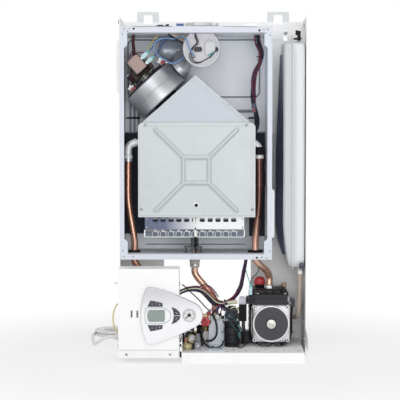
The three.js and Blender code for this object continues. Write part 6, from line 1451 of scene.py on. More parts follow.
def make_actuator():
    """The diverter's motor: a ribbed black drum under a grey gearbox."""
    x, y, r = 41, 90, 17
    motor = Piece("diverter_drum")
    profile = [(0, TRAY_TOP), (r - 1, TRAY_TOP), (r, TRAY_TOP + 1), (r, 27), (r - 1.2, 27.6), (r - 1.2, 30),
               (r, 30.6), (r, 47), (r - 0.8, 47.4), (r - 0.8, 48.6), (r, 49), (r, 64), (r - 1.4, 64.6),
               (r - 1.4, 66.6), (r, 67.2), (r, 74.6), (r - 1.4, 76), (0, 76)]
    motor.lathe(profile, (x, y, 0), UP, BLACK, sides=72)
    for k in range(9):
        a = math.radians(180 + 22.5 * k)
        out = Vector((math.cos(a), math.sin(a), 0))
        middle = Vector((x, y, 57)) + out * (r + 0.1)
        turn = Matrix((out, Vector(UP).cross(out), UP)).transposed()
        motor.block(middle - Vector((0.5, 0.9, 6.4)), middle + Vector((0.3, 0.9, 6.4)), BLACK, turn, middle)
    motor.block((x - 15, y - 13, 75.8), (x + 15, y + 13, 92), BLACK)
    motor.block((x - 13.6, y - 12, 92), (x + 13.6, y + 12, 101), LAMINATION)
    motor.block((x - 15, y - 13, 101), (x + 15, y + 13, 104), GREY_KEY)
    motor.rod((x - 5, y - 13.4, 90), (x - 5, y - 11, 90), 7, GREY_KEY, sides=40)
    motor.rod((x - 5, y - 14.6, 90), (x - 5, y - 13, 90), 2.4, SILVER, sides=24)
    for dx in (-11.6, 11.6):
        motor.screw((x + dx, y - 13, 80), TO_FRONT, 2.3)
        motor.screw((x + dx, y - 12, 97.6), TO_FRONT, 1.9)
    motor.block((x - 12, y - 13.6, 97), (x + 7, y - 11.6, 101.4), GREY_KEY)
    cream = [(x - 4, y - 15, 104), (x + 4, y - 15, 108.4), (x + 11, y - 15, 106), (x + 14, y - 15, 98)]
    motor.tube(cream, 1.1, CREAM, sides=10)
    motor.lathe([(9, 0), (9, 3.4), (7.6, 4.8), (0, 4.8)], (x, y, 104), UP, BLACK, sides=40)
    motor.block((x - 9, y + 12, TRAY_TOP), (x + 9, 121.4, 48.6), BLACK)
    sleeve = [(2, 103), (10, 106.4), (20, 110), (31, 113.6), (42, 115.8), (53, 117.4)]
    motor.tube([(px, 97, pz) for px, pz in sleeve], 4.2, CREAM, sides=20)
    motor.done(replaces=("diverter_actuator",), bevel=0.3)

    plugs = Piece("actuator_plugs")
    for place, tilt, long in (((57, 70, 66), -0.55, 11), ((56.4, 70, 50.6), -0.2, 9)):
        turn = Matrix.Rotation(tilt, 3, "Y")
        centre = Vector(place)
        half = Vector((2.6, 2.2, long / 2))
        plugs.block(centre - half, centre + half, DEEP_TEAL, turn)
        collar = centre + turn @ Vector((0, 0, -long / 2 - 2.4))
        half = Vector((2, 1.6, 2.6))
        plugs.block(collar - half, collar + half, DEEP_TEAL, turn)
    for route, thick, material in (
            (((54, 70, 72), (49, 68, 79), (42, 68, 86), (33, 70, 92), (26, 74, 97)), 0.9, DEEP_TEAL),
            (((53.6, 70.6, 57), (46, 69, 64), (38, 68.4, 75), (30, 69.6, 85), (25, 74, 94)), 0.9, DEEP_TEAL),
            (((58, 70, 43), (59, 71, 35), (55, 73, 28), (48, 75, 25)), 1.0, WIRE["black"])):
        plugs.tube(route, thick, material, sides=8)
    plugs.done(bevel=0.3)


def make_flow_sensor():
    """The black flow meter with its ribbed front, its pale cap and the hose below it."""
    sensor = Piece("flow_meter")
    sensor.block((56.3, 84.2, 76.3), (72.4, 112, 112.5), JET_BLACK)
    for k in range(7):
        sensor.block((57.4, 83.8, 79 + 4.1 * k), (71.4, 84.4, 80.6 + 4.1 * k), JET_BLACK)
    for low, high, material in (
            ((56.6, 86.8, 112), (70.4, 104, 126), LILAC), ((56, 86, 114.6), (71, 104.6, 121), LILAC),
            ((58.4, 92, 126), (67.8, 102, 128.6), LILAC), ((62, 84.6, 60), (69.4, 100, 76.2), BLACK),
            ((63.6, 86, 50), (70, 98, 60.4), SOFT_BLACK)):
        sensor.block(low, high, material)
    sensor.tube([(66, 92, 51), (66.6, 91, 40), (68, 90, 31), (72, 90, 25.4)], 3.0, SOFT_BLACK, sides=16)
    sensor.rod((63, 84.4, 106), (63, 83.4, 106), 1.9, SOFT_BLACK, sides=20)
    sensor.done(replaces=("flow_sensor",), bevel=0.35)


# Circulation pump: motor with its ring and plate, housing, wiring box and air vent

PUMP_FACE, PUMP_HALF = 76, 41
HOUSING_LEFT, HOUSING_RIGHT, HOUSING_FRONT, HOUSING_BACK, HOUSING_TOP = 79, 165, 131.3, 196, 141
VENT_X, VENT_Y = 103, 172


def layered(left, right, low, high, corner, shrink, layers, count):
    """Rings of a rounded box, one at each (y, inset) pair, whose corners shrink with the inset."""
    rings = []
    for y, inset in layers:
        outline = rounded(left + inset, right - inset, low + inset, high - inset, corner - inset * shrink,
                          count)
        rings.append([(x, y, z) for x, z in outline])
    return rings


def make_pump_motor():
    """The cast motor with its bright front ring, four corner screws and the fins on its left."""
    motor = Piece("pump_drive")
    layers = ((131, 0), (128.4, 0), (127.6, 0.9), (126.4, 0.9), (125.6, 0), (91, 0), (88.2, 0.9), (86.6, 2.6),
              (86, 5))
    left, right = PUMP_X - PUMP_HALF, PUMP_X + PUMP_HALF
    motor.rings(layered(left, right, PUMP_Z - PUMP_HALF, PUMP_Z + PUMP_HALF, 12, 0.5, layers, 9), PUMP_MOTOR_PAINTED_SHADE)
    ring = [(34, -10.2), (39.6, -10.2), (39.6, -2.6), (39.2, -1), (38.4, -0.2), (37.4, 0), (36.6, -0.3),
            (36, -1.2), (35.8, -2.4), (34, -2.4)]
    centre = (PUMP_X, PUMP_FACE, PUMP_Z)
    motor.loop(ring, centre, TO_FRONT, RING_METAL, sides=120)
    motor.loop([(5, -2.3), (36, -2.3), (36, -6), (5, -6)], centre, TO_FRONT, SOFT_BLACK, sides=72)
    bolt = [(4.6, 0), (4.6, 2.6), (3.8, 3.4), (0, 3.4)]
    for dx in (-1, 1):
        for dz in (-1, 1):
            x, z = PUMP_X + dx * (PUMP_HALF - 5.4), PUMP_Z + dz * (PUMP_HALF - 5.4)
            motor.lathe(bolt, (x, 86.1, z), TO_FRONT, SILVER, sides=28)
            motor.rod((x, 82.8, z), (x, 82.2, z), 2.3, BLACK, sides=6)
    for k in range(5):
        x, y = left + 0.5, 93 + 7.4 * k
        motor.rod((x, y, PUMP_Z - 24), (x, y, PUMP_Z + 24), 1.5, CAST, sides=12)
    for k in range(8):
        a = math.radians(22.5 + 45 * k)
        x, z = PUMP_X + 37.5 * math.cos(a), PUMP_Z + 37.5 * math.sin(a)
        motor.rod((x, PUMP_FACE, z), (x, PUMP_FACE - 0.1, z), 0.5, CAST, sides=8)
    motor.done(replaces=("pump_motor",), bevel=0.3, angle=38)


def make_pump_front():
    """The dark disc with its pale rim line and dots, and the slotted bleed cap in its middle."""
    plate = Piece("pump_label_plate")
    centre = (PUMP_X, 77.9, PUMP_Z)
    disc = [(5, 0), (35.4, 0), (35.4, 0.9), (35, 1.3), (12.4, 1.3), (11.8, 0.9), (10.6, 0.9), (10.2, 1.3),
            (5, 1.3)]
    plate.loop(disc, centre, TO_FRONT, DARK_PLATE, sides=96)
    plate.loop([(33.2, 1.3), (33.8, 1.3), (33.8, 1.42), (33.2, 1.42)], centre, TO_FRONT, GREY_KEY, sides=96)
    for degrees in (150, 180, 210, -30, 0, 30):
        a = math.radians(degrees)
        for r in (14.5, 29):
            x, z = PUMP_X + r * math.cos(a), PUMP_Z + r * math.sin(a)
            plate.rod((x, 77, z), (x, 76.45, z), 0.7, GREY_KEY, sides=14)
    plate.done(replaces=("pump_face_plate",), bevel=0)

    cap = Piece("pump_screw")
    profile = [(0, 0), (9.3, 0), (9.8, 0.6), (9.8, 4.6), (9.2, 5.4), (8, 5.7), (0, 5.7)]
    cap.lathe(profile, (PUMP_X, 76.7, PUMP_Z), TO_FRONT, CAP_METAL, sides=72)
    cap.block((PUMP_X - 6.6, 70.9, PUMP_Z - 0.5), (PUMP_X + 6.6, 71.06, PUMP_Z + 0.5), SHADED_METAL,
              Matrix.Rotation(0.5, 3, "Y"), (PUMP_X, 71, PUMP_Z))
    cap.done(body="pump_bleed_cap", replaces=("pump_bleed_cap",), bevel=0)


def make_pump_housing():
    """The black housing behind the motor, with its ports, side ribs and screws."""
    volute = Piece("pump_housing")
    left, right, front, back, top = HOUSING_LEFT, HOUSING_RIGHT, HOUSING_FRONT, HOUSING_BACK, HOUSING_TOP
    layers = ((back, 4), (back - 1.2, 1.4), (back - 4, 0), (164, 0), (163, 1.2), (161, 1.2), (160, 0),
              (front + 4, 0), (front + 1, 0.8), (front, 3))
    volute.rings(layered(left, right, TRAY_TOP, top, 13, 1, layers, 8), BLACK)
    volute.block((78.3, 133, TRAY_TOP), (88, 150, 48.6), BLACK)
    nut = [(11, 0), (11, 4.4), (10, 5.2), (10, 6.6), (8.4, 7), (0, 7)]
    volute.lathe(nut, (123.5, 152, top - 0.6), UP, SILVER, sides=6)
    volute.lathe([(8, 0), (8, 4), (6.6, 5), (0, 5)], (VENT_X, VENT_Y, top - 5), UP, BLACK, sides=40)
    for k in range(6):
        volute.block((left - 0.8, 170 + 0.01 * k, 40 + 14 * k), (left + 0.6, 190, 43 + 14 * k), BLACK)
    for x in (94, 157):
        for z in (30, 132):
            volute.screw((x, front + 0.2, z), TO_FRONT, 3.4)
    volute.lathe([(7.4, 0), (7.4, 5), (6, 6), (0, 6)], (right - 0.4, 156, 76), (1, 0, 0), BLACK, sides=32)
    pin = [(4.5, 0), (4.5, 4), (5.4, 4.8), (5.4, 9), (0, 9.6)]
    volute.lathe(pin, (154, 148, top - 0.2), UP, COPPER, sides=32)
    volute.done(replaces=("pump_volute",), bevel=0.5)


def make_wiring_box():
    """The box on the pump with its sloping ribbed lid, its plug on the left and its two wires."""
    box = Piece("pump_wiring_box")
    for low, high, front, back, grow in ((113, 133.4, 79, 112, 0), (124.4, 126, 78.5, 112.2, 0.5)):
        box.block((91.7 - grow, front, low), (160 + grow, back, high), BLACK)
    lid = [(78.6, 126.4), (112.2, 126.4), (112.2, 138.8), (109, 139.6), (80, 134.6), (78.6, 133.4)]
    box.slab_x(lid, 91.3, 160.4, BLACK)
    rim = [(84, 135.4), (107, 139.1), (107, 139.8), (84, 136.2)]
    box.slab_x(rim, 95.5, 156.2, SOFT_BLACK)
    for k in range(3):
        box.slab_x([(88, 136.2), (103, 138.8), (103, 140.2), (88, 137.6)], 100 + 17 * k, 111 + 17 * k, BLACK)
    for x in (96.6, 155):
        box.screw((x, 86, 136), (0, -0.15, 1), 2.6)
    box.block((71.1, 80.4, 114.3), (92.4, 104, 129.6), BLACK)
    for k in range(4):
        box.block((73 + 4.6 * k, 79.8, 117), (75.4 + 4.6 * k, 80.6, 127), SOFT_BLACK)
    box.block((77, 86, 129.4), (85.4, 96, 133), SOFT_BLACK)
    box.block((77.4, 87, 132.4), (84.4, 95.4, 150), PALE_TEAL)
    box.block((78.6, 88.2, 150), (83.2, 94.2, 157.4), TEAL)
    dark = [(81, 91, 157), (82, 92, 164), (88, 96, 172), (95, 104, 178), (99, 112, 184), (99, 120, 192)]
    box.tube(dark, 1.0, WIRE["black"], sides=8)
    box.tube([(79.6, 91, 157), (77, 92, 166), (73, 94, 178), (70, 97, 190)], 0.9, WIRE["teal"], sides=8)
    box.rod((153.5, 99, 137), (153.5, 99, 150), 3.8, BLACK, sides=32)
    nut = [(3.6, 149.6), (5, 150), (5, 157.4), (4.4, 158.4), (2, 158.4), (2, 149.6)]
    box.loop(nut, (153.5, 99, 0), UP, BRONZE, sides=6)
    box.done(replaces=("pump_terminal_box",), bevel=0.6)


def make_pump_lead():
    """The pump's lead, bent down beside the motor, and two single wires on the tray before it."""
    lead = Piece("pump_lead")
    gland = [(6.4, 0), (6.4, 2.6), (5.4, 3.2), (5.4, 4.6), (0, 4.6)]
    lead.lathe(gland, (160, 96, 123), (1, 0, 0), GREY_RUBBER, sides=32)
    bend = [(163, 96, 123), (168, 96, 123.4), (171.6, 97, 121), (173.4, 98, 116), (173, 99, 111),
            (171.4, 100, 107)]
    lead.tube(bend, 4.2, GREY_KEY, sides=24)
    fall = [(171.6, 100, 109), (170, 101, 99), (169.2, 102, 88), (169.4, 104, 70), (168.6, 105, 46),
            (164, 102, 33), (155, 96, 26.6), (146, 90, 25.2)]
    lead.tube(fall, 2.7, SOFT_BLACK, sides=16)
    left = [(94, 88, 28), (99, 80, 27), (104, 74, 25.4), (111, 71, 24.9), (120, 73, 25.2), (127, 80, 28.4),
            (130, 84, 30)]
    right = [(131, 85, 28), (135, 77, 25.4), (141, 73, 24.9), (149, 75, 25.6), (155, 82, 30), (157, 85, 36)]
    lead.tube(left, 1.5, WIRE["black"], sides=10)
    lead.tube(right, 1.4, WIRE["black"], sides=10)
    lead.done(bevel=0.3)


def make_vent():
    """The air vent's red ribbed cap on its black neck."""
    vent = Piece("vent_cap")
    vent.lathe([(10.4, 0), (10.4, 6.4), (0, 6.4)], (VENT_X, VENT_Y, 141.4), UP, SOFT_BLACK, sides=48)
    layers = ((147, 0.6, 0), (147.8, 0, 0.4), (155, 0, 0.4), (157, 0.3, 0.1), (159, 0.9, 0), (161, 2, 0),
              (162.6, 3.8, 0), (163.6, 6, 0), (164, 9, 0))
    vent.rings([[(VENT_X + across, VENT_Y + along, z) for across, along in wavy(12.1 - inset, swell, 20, 160)]
                for z, inset, swell in layers], RED)
    vent.done(body="air_vent_cap", replaces=("air_vent_cap",), bevel=0)


# Expansion vessel beside the chamber: two pressed pans, their rolled seam and the hose to the pump

VESSEL_FRONT, VESSEL_BACK, VESSEL_LOW, VESSEL_HIGH = 88, 212, 190, 677
VESSEL_CORNER, VESSEL_EDGE, VESSEL_RIM = 22, 7, 4
TAPER_HIGH, TAPER_SHARE = 285, 0.42
HOSE_X, HOSE_Y = 188, 110


def drawn_in(z):
    """The left pan's depth as a share, which tapers to its lower end."""
    share = min(1, max(0, (TAPER_HIGH - z) / (TAPER_HIGH - VESSEL_LOW)))
    return 1 - (1 - TAPER_SHARE) * share ** 1.4


def with_steps(outline, least_run=150, steps=28):
    """An outline with extra points on its long straight runs."""
    result = []
    for (y0, z0), (y1, z1) in zip(outline, outline[1:] + outline[:1]):
        count = steps if math.hypot(y1 - y0, z1 - z0) > least_run else 1
        result += [(y0 + (y1 - y0) * k / count, z0 + (z1 - z0) * k / count) for k in range(count)]
    return result


def vessel_outline(inset, corner, count):
    """The vessel's outline seen from the side, set in from its wall by the inset."""
    front, back = VESSEL_FRONT + inset, VESSEL_BACK - inset
    return rounded(front, back, VESSEL_LOW + inset, VESSEL_HIGH - inset, corner, count)


def make_pan(name, node, seam, face):
    """One pan: its rim at the seam, its wall, its rounded edge and the low step in its face."""
    side = 1 if face > seam else -1
    layers = [(seam, -VESSEL_RIM), (seam + side, -VESSEL_RIM), (seam + side * 1.3, -3.6),
              (seam + side * 1.3, -0.6), (seam + side * 2.4, 0), (seam + (face - seam) * 0.45, 0)]
    for k in range(7):
        a = math.radians(15 * k)
        layers.append((face - side * VESSEL_EDGE * (1 - math.sin(a)), VESSEL_EDGE * (1 - math.cos(a))))
    layers += [(face - side * 0.05, VESSEL_EDGE + 8), (face - side * 0.9, VESSEL_EDGE + 13),
               (face - side, VESSEL_EDGE + 18)]
    rings = []
    for x, inset in layers:
        outline = with_steps(vessel_outline(inset, max(VESSEL_CORNER - inset * 0.5, 2), 8))
        rings.append([(seam + (x - seam) * (drawn_in(z) if side < 0 else 1), y, z) for y, z in outline])
    pan = Piece(name)
    pan.rings(rings, VESSEL_PAINTED_SHADE)
    if side > 0:
        middle = (VESSEL_FRONT + VESSEL_BACK) / 2
        pan.block((seam, middle - 14, VESSEL_HIGH + 2), (seam + 2.2, middle, 694), VESSEL_PAINTED_SHADE)
        for share in (0.22, 0.78):
            z = VESSEL_LOW + (VESSEL_HIGH - VESSEL_LOW) * share
            pan.block((seam, VESSEL_BACK, z), (seam + 1.2, 223.4, z + 14), VESSEL_PAINTED_SHADE)
    pan.done(replaces=(node,), bevel=0.25)


def make_vessel_trim():
    """The rolled seam, the clamp and clips above the vessel and the fittings below it."""
    trim = Piece("vessel_trim")
    seam = [(170.6, y, z) for y, z in vessel_outline(-VESSEL_RIM - 0.6, VESSEL_CORNER + 4, 9)]
    trim.tube(shut(seam), 1.5, VESSEL_PAINTED_SHADE, sides=12, smooth=False)
    trim.lathe([(4.4, 0), (4.4, 2), (3.4, 3), (0, 3)], (155.4, 99, 694), TO_FRONT, SHADED_METAL, sides=6)
    trim.rod((155.4, 99, 694), (155.4, 120, 694), 2.6, SILVER, sides=20)
    trim.lathe([(5, 0), (5.6, 2), (5.6, 10), (4, 13), (0, 13)], (190.6, 85, 189.4), UP, VIOLET_GREY, sides=32)
    trim.loop([(5.4, 193), (6.2, 193.3), (6.2, 195), (5.4, 195.4)], (190.6, 85, 0), UP, DARK, sides=32)
    for low, high, material in (
            ((151, 120, 679), (160, 124, 702), GALVANISED),
            ((180.6, 98, 678), (187.6, 106, 699), SOFT_BLACK),
            ((176.6, 96, 690), (181.6, 103, 700), SOFT_BLACK),
            ((173.6, 100, 682), (190, 128, 684.4), SOFT_BLACK),
            ((181.4, 103, 191), (184, 117, 212), DARK),
            ((190.4, 101, 187), (192.6, 110, 199), NAVY_SHADE)):
        trim.block(low, high, material)
    neck = [(7, 0), (7, 6), (5.6, 8), (5.6, 12), (0, 12)]
    trim.lathe(neck, (HOSE_X, HOSE_Y, 185.6), UP, GREY_RUBBER, sides=32)
    trim.done(bevel=0.5)


def make_vessel_hose():
    """The corrugated hose from the vessel's foot to the pump's housing, with its nut and sleeves."""
    hose = Piece("vessel_tube")
    start, end = (HOSE_X, HOSE_Y, 181.2), (165.3, 156, 76)
    shares = ((0, 0, 0.2), (0.04, 0.02, 0.51), (0.09, 0.13, 0.77), (0.13, 0.43, 0.92), (0.26, 0.78, 0.99),
              (0.57, 1, 1))
    route = [start, *between(start, end, shares), end]
    hose.tube(route, lambda share: 4.4 + 0.2 * math.cos(2 * math.pi * 30 * share), HOSE, sides=28,
              spacing=1.1)
    hose.lathe([(9, 0), (9, 8), (7.8, 9), (0, 9)], (HOSE_X, HOSE_Y, 176.6), UP, CAST, sides=6)
    collar = [(4.4, 170), (5.6, 170.4), (5.9, 173), (5.6, 176), (4.4, 176.4)]
    hose.loop(collar, (HOSE_X, HOSE_Y, 0), UP, HOSE, sides=32)
    hose.loop([(4.4, 0), (6.2, 0.3), (6.2, 7.4), (4.4, 7.8)], (174, 156, 76), TO_LEFT, SOFT_BLACK, sides=32)
    hose.done(replaces=("vessel_hose",), bevel=0.2)


make_pipes()
make_floor_seals()
make_gas_valve()
make_water_group()
make_actuator()
make_flow_sensor()
make_pump_motor()
make_pump_front()
make_pump_housing()
make_wiring_box()
make_pump_lead()
make_vent()
make_pan("vessel_left_pan", "vessel_shell_left", 170.45, 150.5)
make_pan("vessel_right_pan", "vessel_shell_right", 170.75, 197)
make_vessel_trim()
make_vessel_hose()

# Control box: its screws and strips, and the fascia with its window, keys and gauge

FASCIA_FRONT = -15.3
KEY_FRONT = -16.9

UPPER_LEFT_SHARES = ((0, 0), (0.58, 0), (0.55, 0.85), (0.19, 1))
UPPER_RIGHT_SHARES = ((0.62, 0), (1, 0), (0.97, 0.6), (0.6, 0.83))
CRESCENT_SHARES = ((0.25, 0.53), (1, 0.53), (0.84, 0.73), (0.49, 0.89), (0, 1), (0.2, 0.76))
UPPER_FIELD = ((-135.4, 120.4), (-104.6, 132.4))
LOWER_FIELD = ((-135.4, 69.2), (-104.6, 81.2))
CRESCENT_FIELD = ((-85.6, 84), (-67.4, 119))


def flipped(shares):
    """A key's outline turned over from top to bottom."""
    return tuple((across, 1 - up) for across, up in reversed(shares))


def make_key(name, node, shares, field, mark):
    """A dark key with soft edges and a pale raised mark, on a body of its own."""
    key = Piece(name)
    outline = between(*field, shares)
    centre = [sum(p[i] for p in outline) / len(outline) for i in (0, 1)]
    rings = []
    for depth, inset in ((5.0, 0), (1.2, 0), (0.5, 0.25), (0.1, 0.8), (0, 1.5)):
        ring = []
        for x, z in outline:
            dx, dz = x - centre[0], z - centre[1]
            share = 1 - inset / math.hypot(dx, dz)
            ring.append((centre[0] + dx * share, KEY_FRONT + depth, centre[1] + dz * share))
        rings.append(ring)
    key.rings(rings, GREY_KEY)
    front = KEY_FRONT - 0.12
    for kind, dx, dz, turn in mark:
        x, z = centre[0] + dx, centre[1] + dz
        if kind == "dot":
            key.rod((x, KEY_FRONT + 0.1, z), (x, front, z), 1.15, PRINT, sides=20)
        else:
            bar = (x - 2.1, front, z - 0.32), (x + 2.1, KEY_FRONT + 0.1, z + 0.32)
            key.block(*bar, PRINT, Matrix.Rotation(turn, 3, "Y"), Vector((x, KEY_FRONT, z)))
    key.done(body=node, replaces=(node,), bevel=0.15)


def make_display():
    """The window with its bowed ends, and the raised pale line round it and the crescent keys."""
    window = Piece("display_pane")
    left, right, low, high = -136.3, -99.9, 88.6, 113
    tall = high - low - 0.8
    sides = []
    for share in evenly(0, 1, 9):
        sides.append((right - 2.0 + 1.7 * math.sin(math.pi * share), low + 0.4 + tall * share))
    for share in evenly(0, 1, 9):
        sides.append((left + 4.4 - 4.2 * math.sin(math.pi * share), high - 0.4 - tall * share))
    window.slab(sides, -16.3, -12.7, DISPLAY)
    window.done(body="control_box", replaces=("display_window",), bevel=0.4)

    ring = Piece("display_surround")
    middle, flat, bend, tip = 101, 16.4, -110, -87.2
    path = [(-139.6 - 1.9 * math.sin(math.pi * k / 8), middle + flat * (k / 4 - 1)) for k in range(9)]
    for k in range(1, 25):
        a = math.pi / 2 - math.pi * k / 24
        reach = (tip - bend) * max(0, math.cos(a)) if k < 24 else 0
        path.append((bend + reach, middle + flat * 1.02 * math.sin(a)))
    line = [(x, FASCIA_FRONT - 0.15, z) for x, z in path]
    ring.tube(shut(line), 0.75, PALE_RING, sides=10, smooth=False)
    ring.done(body="control_box", bevel=0)


def add_figure(piece, text, place, size):
    """One plain figure of the dial, as flat faces a hair above it."""
    curve = bpy.data.curves.new("figure", "FONT")
    curve.body = text
    curve.size = size
    curve.align_x, curve.align_y = "CENTER", "CENTER"
    curve.resolution_u = 3
    holder = bpy.data.objects.new("figure", curve)
    flat = bpy.data.meshes.new_from_object(holder)
    points = [(place[0] + v.co.x, place[1], place[2] + v.co.y) for v in flat.vertices]
    faces = [tuple(f.vertices) for f in flat.polygons]
    piece.add(points, faces, BLACK)
    bpy.data.objects.remove(holder)
    bpy.data.curves.remove(curve)
    bpy.data.meshes.remove(flat)


GAUGE = (-49.3, 0, 102.1)
GAUGE_RADIUS, DIAL_Y, TICKS = 14, -10.6, 32


def dial_directions(share):
    """Outwards and sideways at a share of the dial's scale, which runs clockwise from lower left."""
    a = math.radians(225 - 270 * share)
    return Vector((math.cos(a), 0, math.sin(a))), Vector((-math.sin(a), 0, math.cos(a)))


def make_gauge():
    """A white dial in a silver rim, with ticks and a row of figures."""
    cup = Piece("gauge_dial")
    r, front, dial = GAUGE_RADIUS, -FASCIA_FRONT, -DIAL_Y
    body = [(0, dial - 1.7), (r - 0.4, dial - 1.7), (r - 0.4, front + 0.5), (r - 0.9, front + 0.9),
            (r - 1.4, front + 0.5), (r - 1.7, front - 0.6), (r - 1.9, dial), (0, dial)]
    cup.lathe(body, GAUGE, TO_FRONT, DIAL, sides=96)
    rim = [(r - 1.9, dial), (r - 1.5, front - 0.6), (r - 1.2, front + 0.6), (r - 0.6, front + 1.0),
           (r, front + 0.6), (r, front - 0.4)]
    cup.loop(rim, GAUGE, TO_FRONT, PALE_RING, sides=96)
    centre = Vector(GAUGE) + Vector((0, DIAL_Y, 0))
    for k in range(TICKS + 1):
        out, across = dial_directions(k / TICKS)
        long, half_wide = (1.1, 0.42) if k % 8 == 0 else (0.55, 0.24)
        middle = centre + Vector((0, -0.1, 0)) + out * (r - 2.4 - long)
        basis = Matrix((out, Vector(ALONG_Y), across)).transposed()
        low, high = middle - Vector((long, 0.08, half_wide)), middle + Vector((long, 0.1, half_wide))
        cup.block(low, high, BLACK, basis, middle)
    for figure in range(5):
        out = dial_directions(figure / 4)[0]
        add_figure(cup, str(figure), centre + Vector((7.3 * out.x, -0.12, 7.2 * out.z)), 3.8)
    cup.rod(tuple(centre), tuple(centre + Vector((0, -1, 0))), 0.9, SILVER, sides=20)
    cup.done(body="control_box", replaces=("pressure_gauge",), bevel=0)


def make_needle():
    """The gauge's needle with its tail and hub, which turns on its own body."""
    needle = Piece("gauge_hand")
    out, side = dial_directions(0)
    shape = [(-3.5, 0.9), (-3.0, 1.15), (0, 1.1), (10.5, 0.55), (10.9, 0), (10.5, -0.55), (0, -1.1),
             (-3.0, -1.15), (-3.5, -0.9)]
    outline = [Vector(GAUGE) + out * long + side * wide for long, wide in shape]
    needle.slab([(place.x, place.z) for place in outline], -12.3, -11.6, BLACK)
    hub = [(0, 0.3), (3.5, 0.3), (3.5, 1), (3.0, 1.6), (2.0, 1.95), (0, 2.0)]
    needle.lathe(hub, (GAUGE[0], -11.6, GAUGE[2]), TO_FRONT, BLACK, sides=40)
    needle.done(body="gauge_needle", replaces=("gauge_needle",), bevel=0)


def make_box_trim():
    """Screws, pivot caps, seams and white ribs on the control box."""
    trim = Piece("box_trim")
    for x in (-181, -89.5):
        trim.loop([(2.6, 0), (6.4, 0), (6, 0.35), (3, 0.35)], (x, 3, 17.6), TO_FRONT, WHITE, sides=32)
        trim.screw((x, 2.9, 17.6), TO_FRONT, 3.3)
    trim.rod((-197.8, 30, 164.5), (-205.4, 30, 164.5), 1.1, SILVER, sides=14)
    trim.lathe([(2.5, 0), (2.5, 1.2), (1.6, 2), (0, 2)], (-204.6, 30, 164.5), TO_LEFT, SILVER, sides=20)
    trim.lathe([(2.8, 0), (2.8, 1.4), (1.8, 2.4), (0, 2.4)], (-71.2, 30, 161), ALONG_X, SILVER, sides=20)
    trim.lathe([(1.6, 0), (1.6, 2), (0, 2)], (-71.2, 18, 166), ALONG_X, BLACK, sides=16)
    for low, high in ((43, 56), (29, 38.6)):
        trim.block((BOX_LEFT - 0.9, 2.4, low), (BOX_LEFT + 0.1, 7, high), DARK)
    for z in (150, 120, 90, 60, 30):
        trim.block((BOX_LEFT + 0.8, 65.4, z), (BOX_RIGHT - 0.8, 66.2, z + 1.6), WHITE)
    for x in (BOX_LEFT, BOX_RIGHT):
        trim.block((x - 0.5, 52, 60), (x + 0.5, 58, 180), WHITE)
    trim.done(body="control_box", bevel=0.2)


def make_tray_strip():
    """The white strip on the tray beside the control box, with its dark openings."""
    strip = Piece("tray_strip")
    strip.block((-70.2, 8, 9.8), (-64.4, 9.4, 48), WHITE)
    for low, high in ((43, 47.4), (32.6, 38.4), (10.4, 23)):
        strip.block((-69.6, 7.7, low), (-66, 8.2, high), DARK)
    strip.done(bevel=0.2)


def make_earth_lead():
    """The earth wire, bowed out from the control box's side between two rubber feet."""
    earth = Piece("earth_lead")
    foot = BOX_LEFT - 0.3
    route = [(foot, 46, 118), (-202.3, 46, 118), (-207, 46, 111), (-211, 45, 98), (-212, 45, 84),
             (-209, 46, 68), (-202.3, 48, 56), (foot, 48, 56)]
    earth.tube(route, 1.55, EARTH_YELLOW, sides=16, spacing=1.5)
    profile = [(3, 0), (3, 1), (2.2, 2.2), (1.9, 3), (0, 3)]
    for y, z in ((46, 118), (48, 56)):
        earth.lathe(profile, (BOX_LEFT + 0.1, y, z), TO_LEFT, GREY_RUBBER, sides=24)
    earth.done(body="control_box", replaces=("earth_wire",), bevel=0)


dress("fascia", FASCIA_PAINTED_SHADE, 0.4)
BAR = (("bar", -0.6, 0, 0.0),)
DOT = (("dot", 0.2, 0, 0.0),)
UPPER_BARS = (("bar", 0.8, -2.2, 0.5), ("bar", 3.0, -4.0, -0.6))
LOWER_BARS = (("bar", 1.6, 3.6, 0.2), ("bar", 0.6, 0.6, 0.9))
for place, shares, field, mark in (
        ("upper_left", UPPER_LEFT_SHARES, UPPER_FIELD, BAR),
        ("upper_right", UPPER_RIGHT_SHARES, UPPER_FIELD, DOT),
        ("lower_left", flipped(UPPER_LEFT_SHARES), LOWER_FIELD, BAR),
        ("lower_right", flipped(UPPER_RIGHT_SHARES), LOWER_FIELD, DOT),
        ("crescent_upper", CRESCENT_SHARES, CRESCENT_FIELD, UPPER_BARS),
        ("crescent_lower", flipped(CRESCENT_SHARES), CRESCENT_FIELD, LOWER_BARS)):
    make_key("pad_" + place, "key_" + place, shares, field, mark)
make_display()
make_gauge()
make_needle()
make_box_trim()
make_tray_strip()
make_earth_lead()

# Looms of single wires, with ties and connectors

CHAMBER_LOOM_SHARES = ((0.7, 0.5, 1), (0.7, 0.5, 0.96), (0.78, 0.5, 0.9), (1, 0.5, 0.82), (0.91, 0, 0.72),
                       (0.48, 0, 0.6), (0.26, 0, 0.46), (0.31, 0.5, 0.32), (0.52, 1, 0.2), (0.61, 1, 0.08),
                       (0.39, 1, 0), (0, 1, 0))
BRANCH_SHARES = ((0, 0, 0), (0.02, 0.06, 0.48), (0.13, 0.17, 0.83), (0.34, 0.33, 1), (0.55, 0.5, 0.96),
                 (0.72, 0.72, 0.67), (0.86, 0.89, 0.35), (1, 1, 0.26))
DROP_SHARES = ((1, 1, 1), (1, 1, 0.91), (0.98, 0.93, 0.81), (0.89, 0.75, 0.61), (0.79, 0.49, 0.35),
               (0.57, 0.24, 0.17), (0.3, 0.07, 0.06), (0, 0, 0))


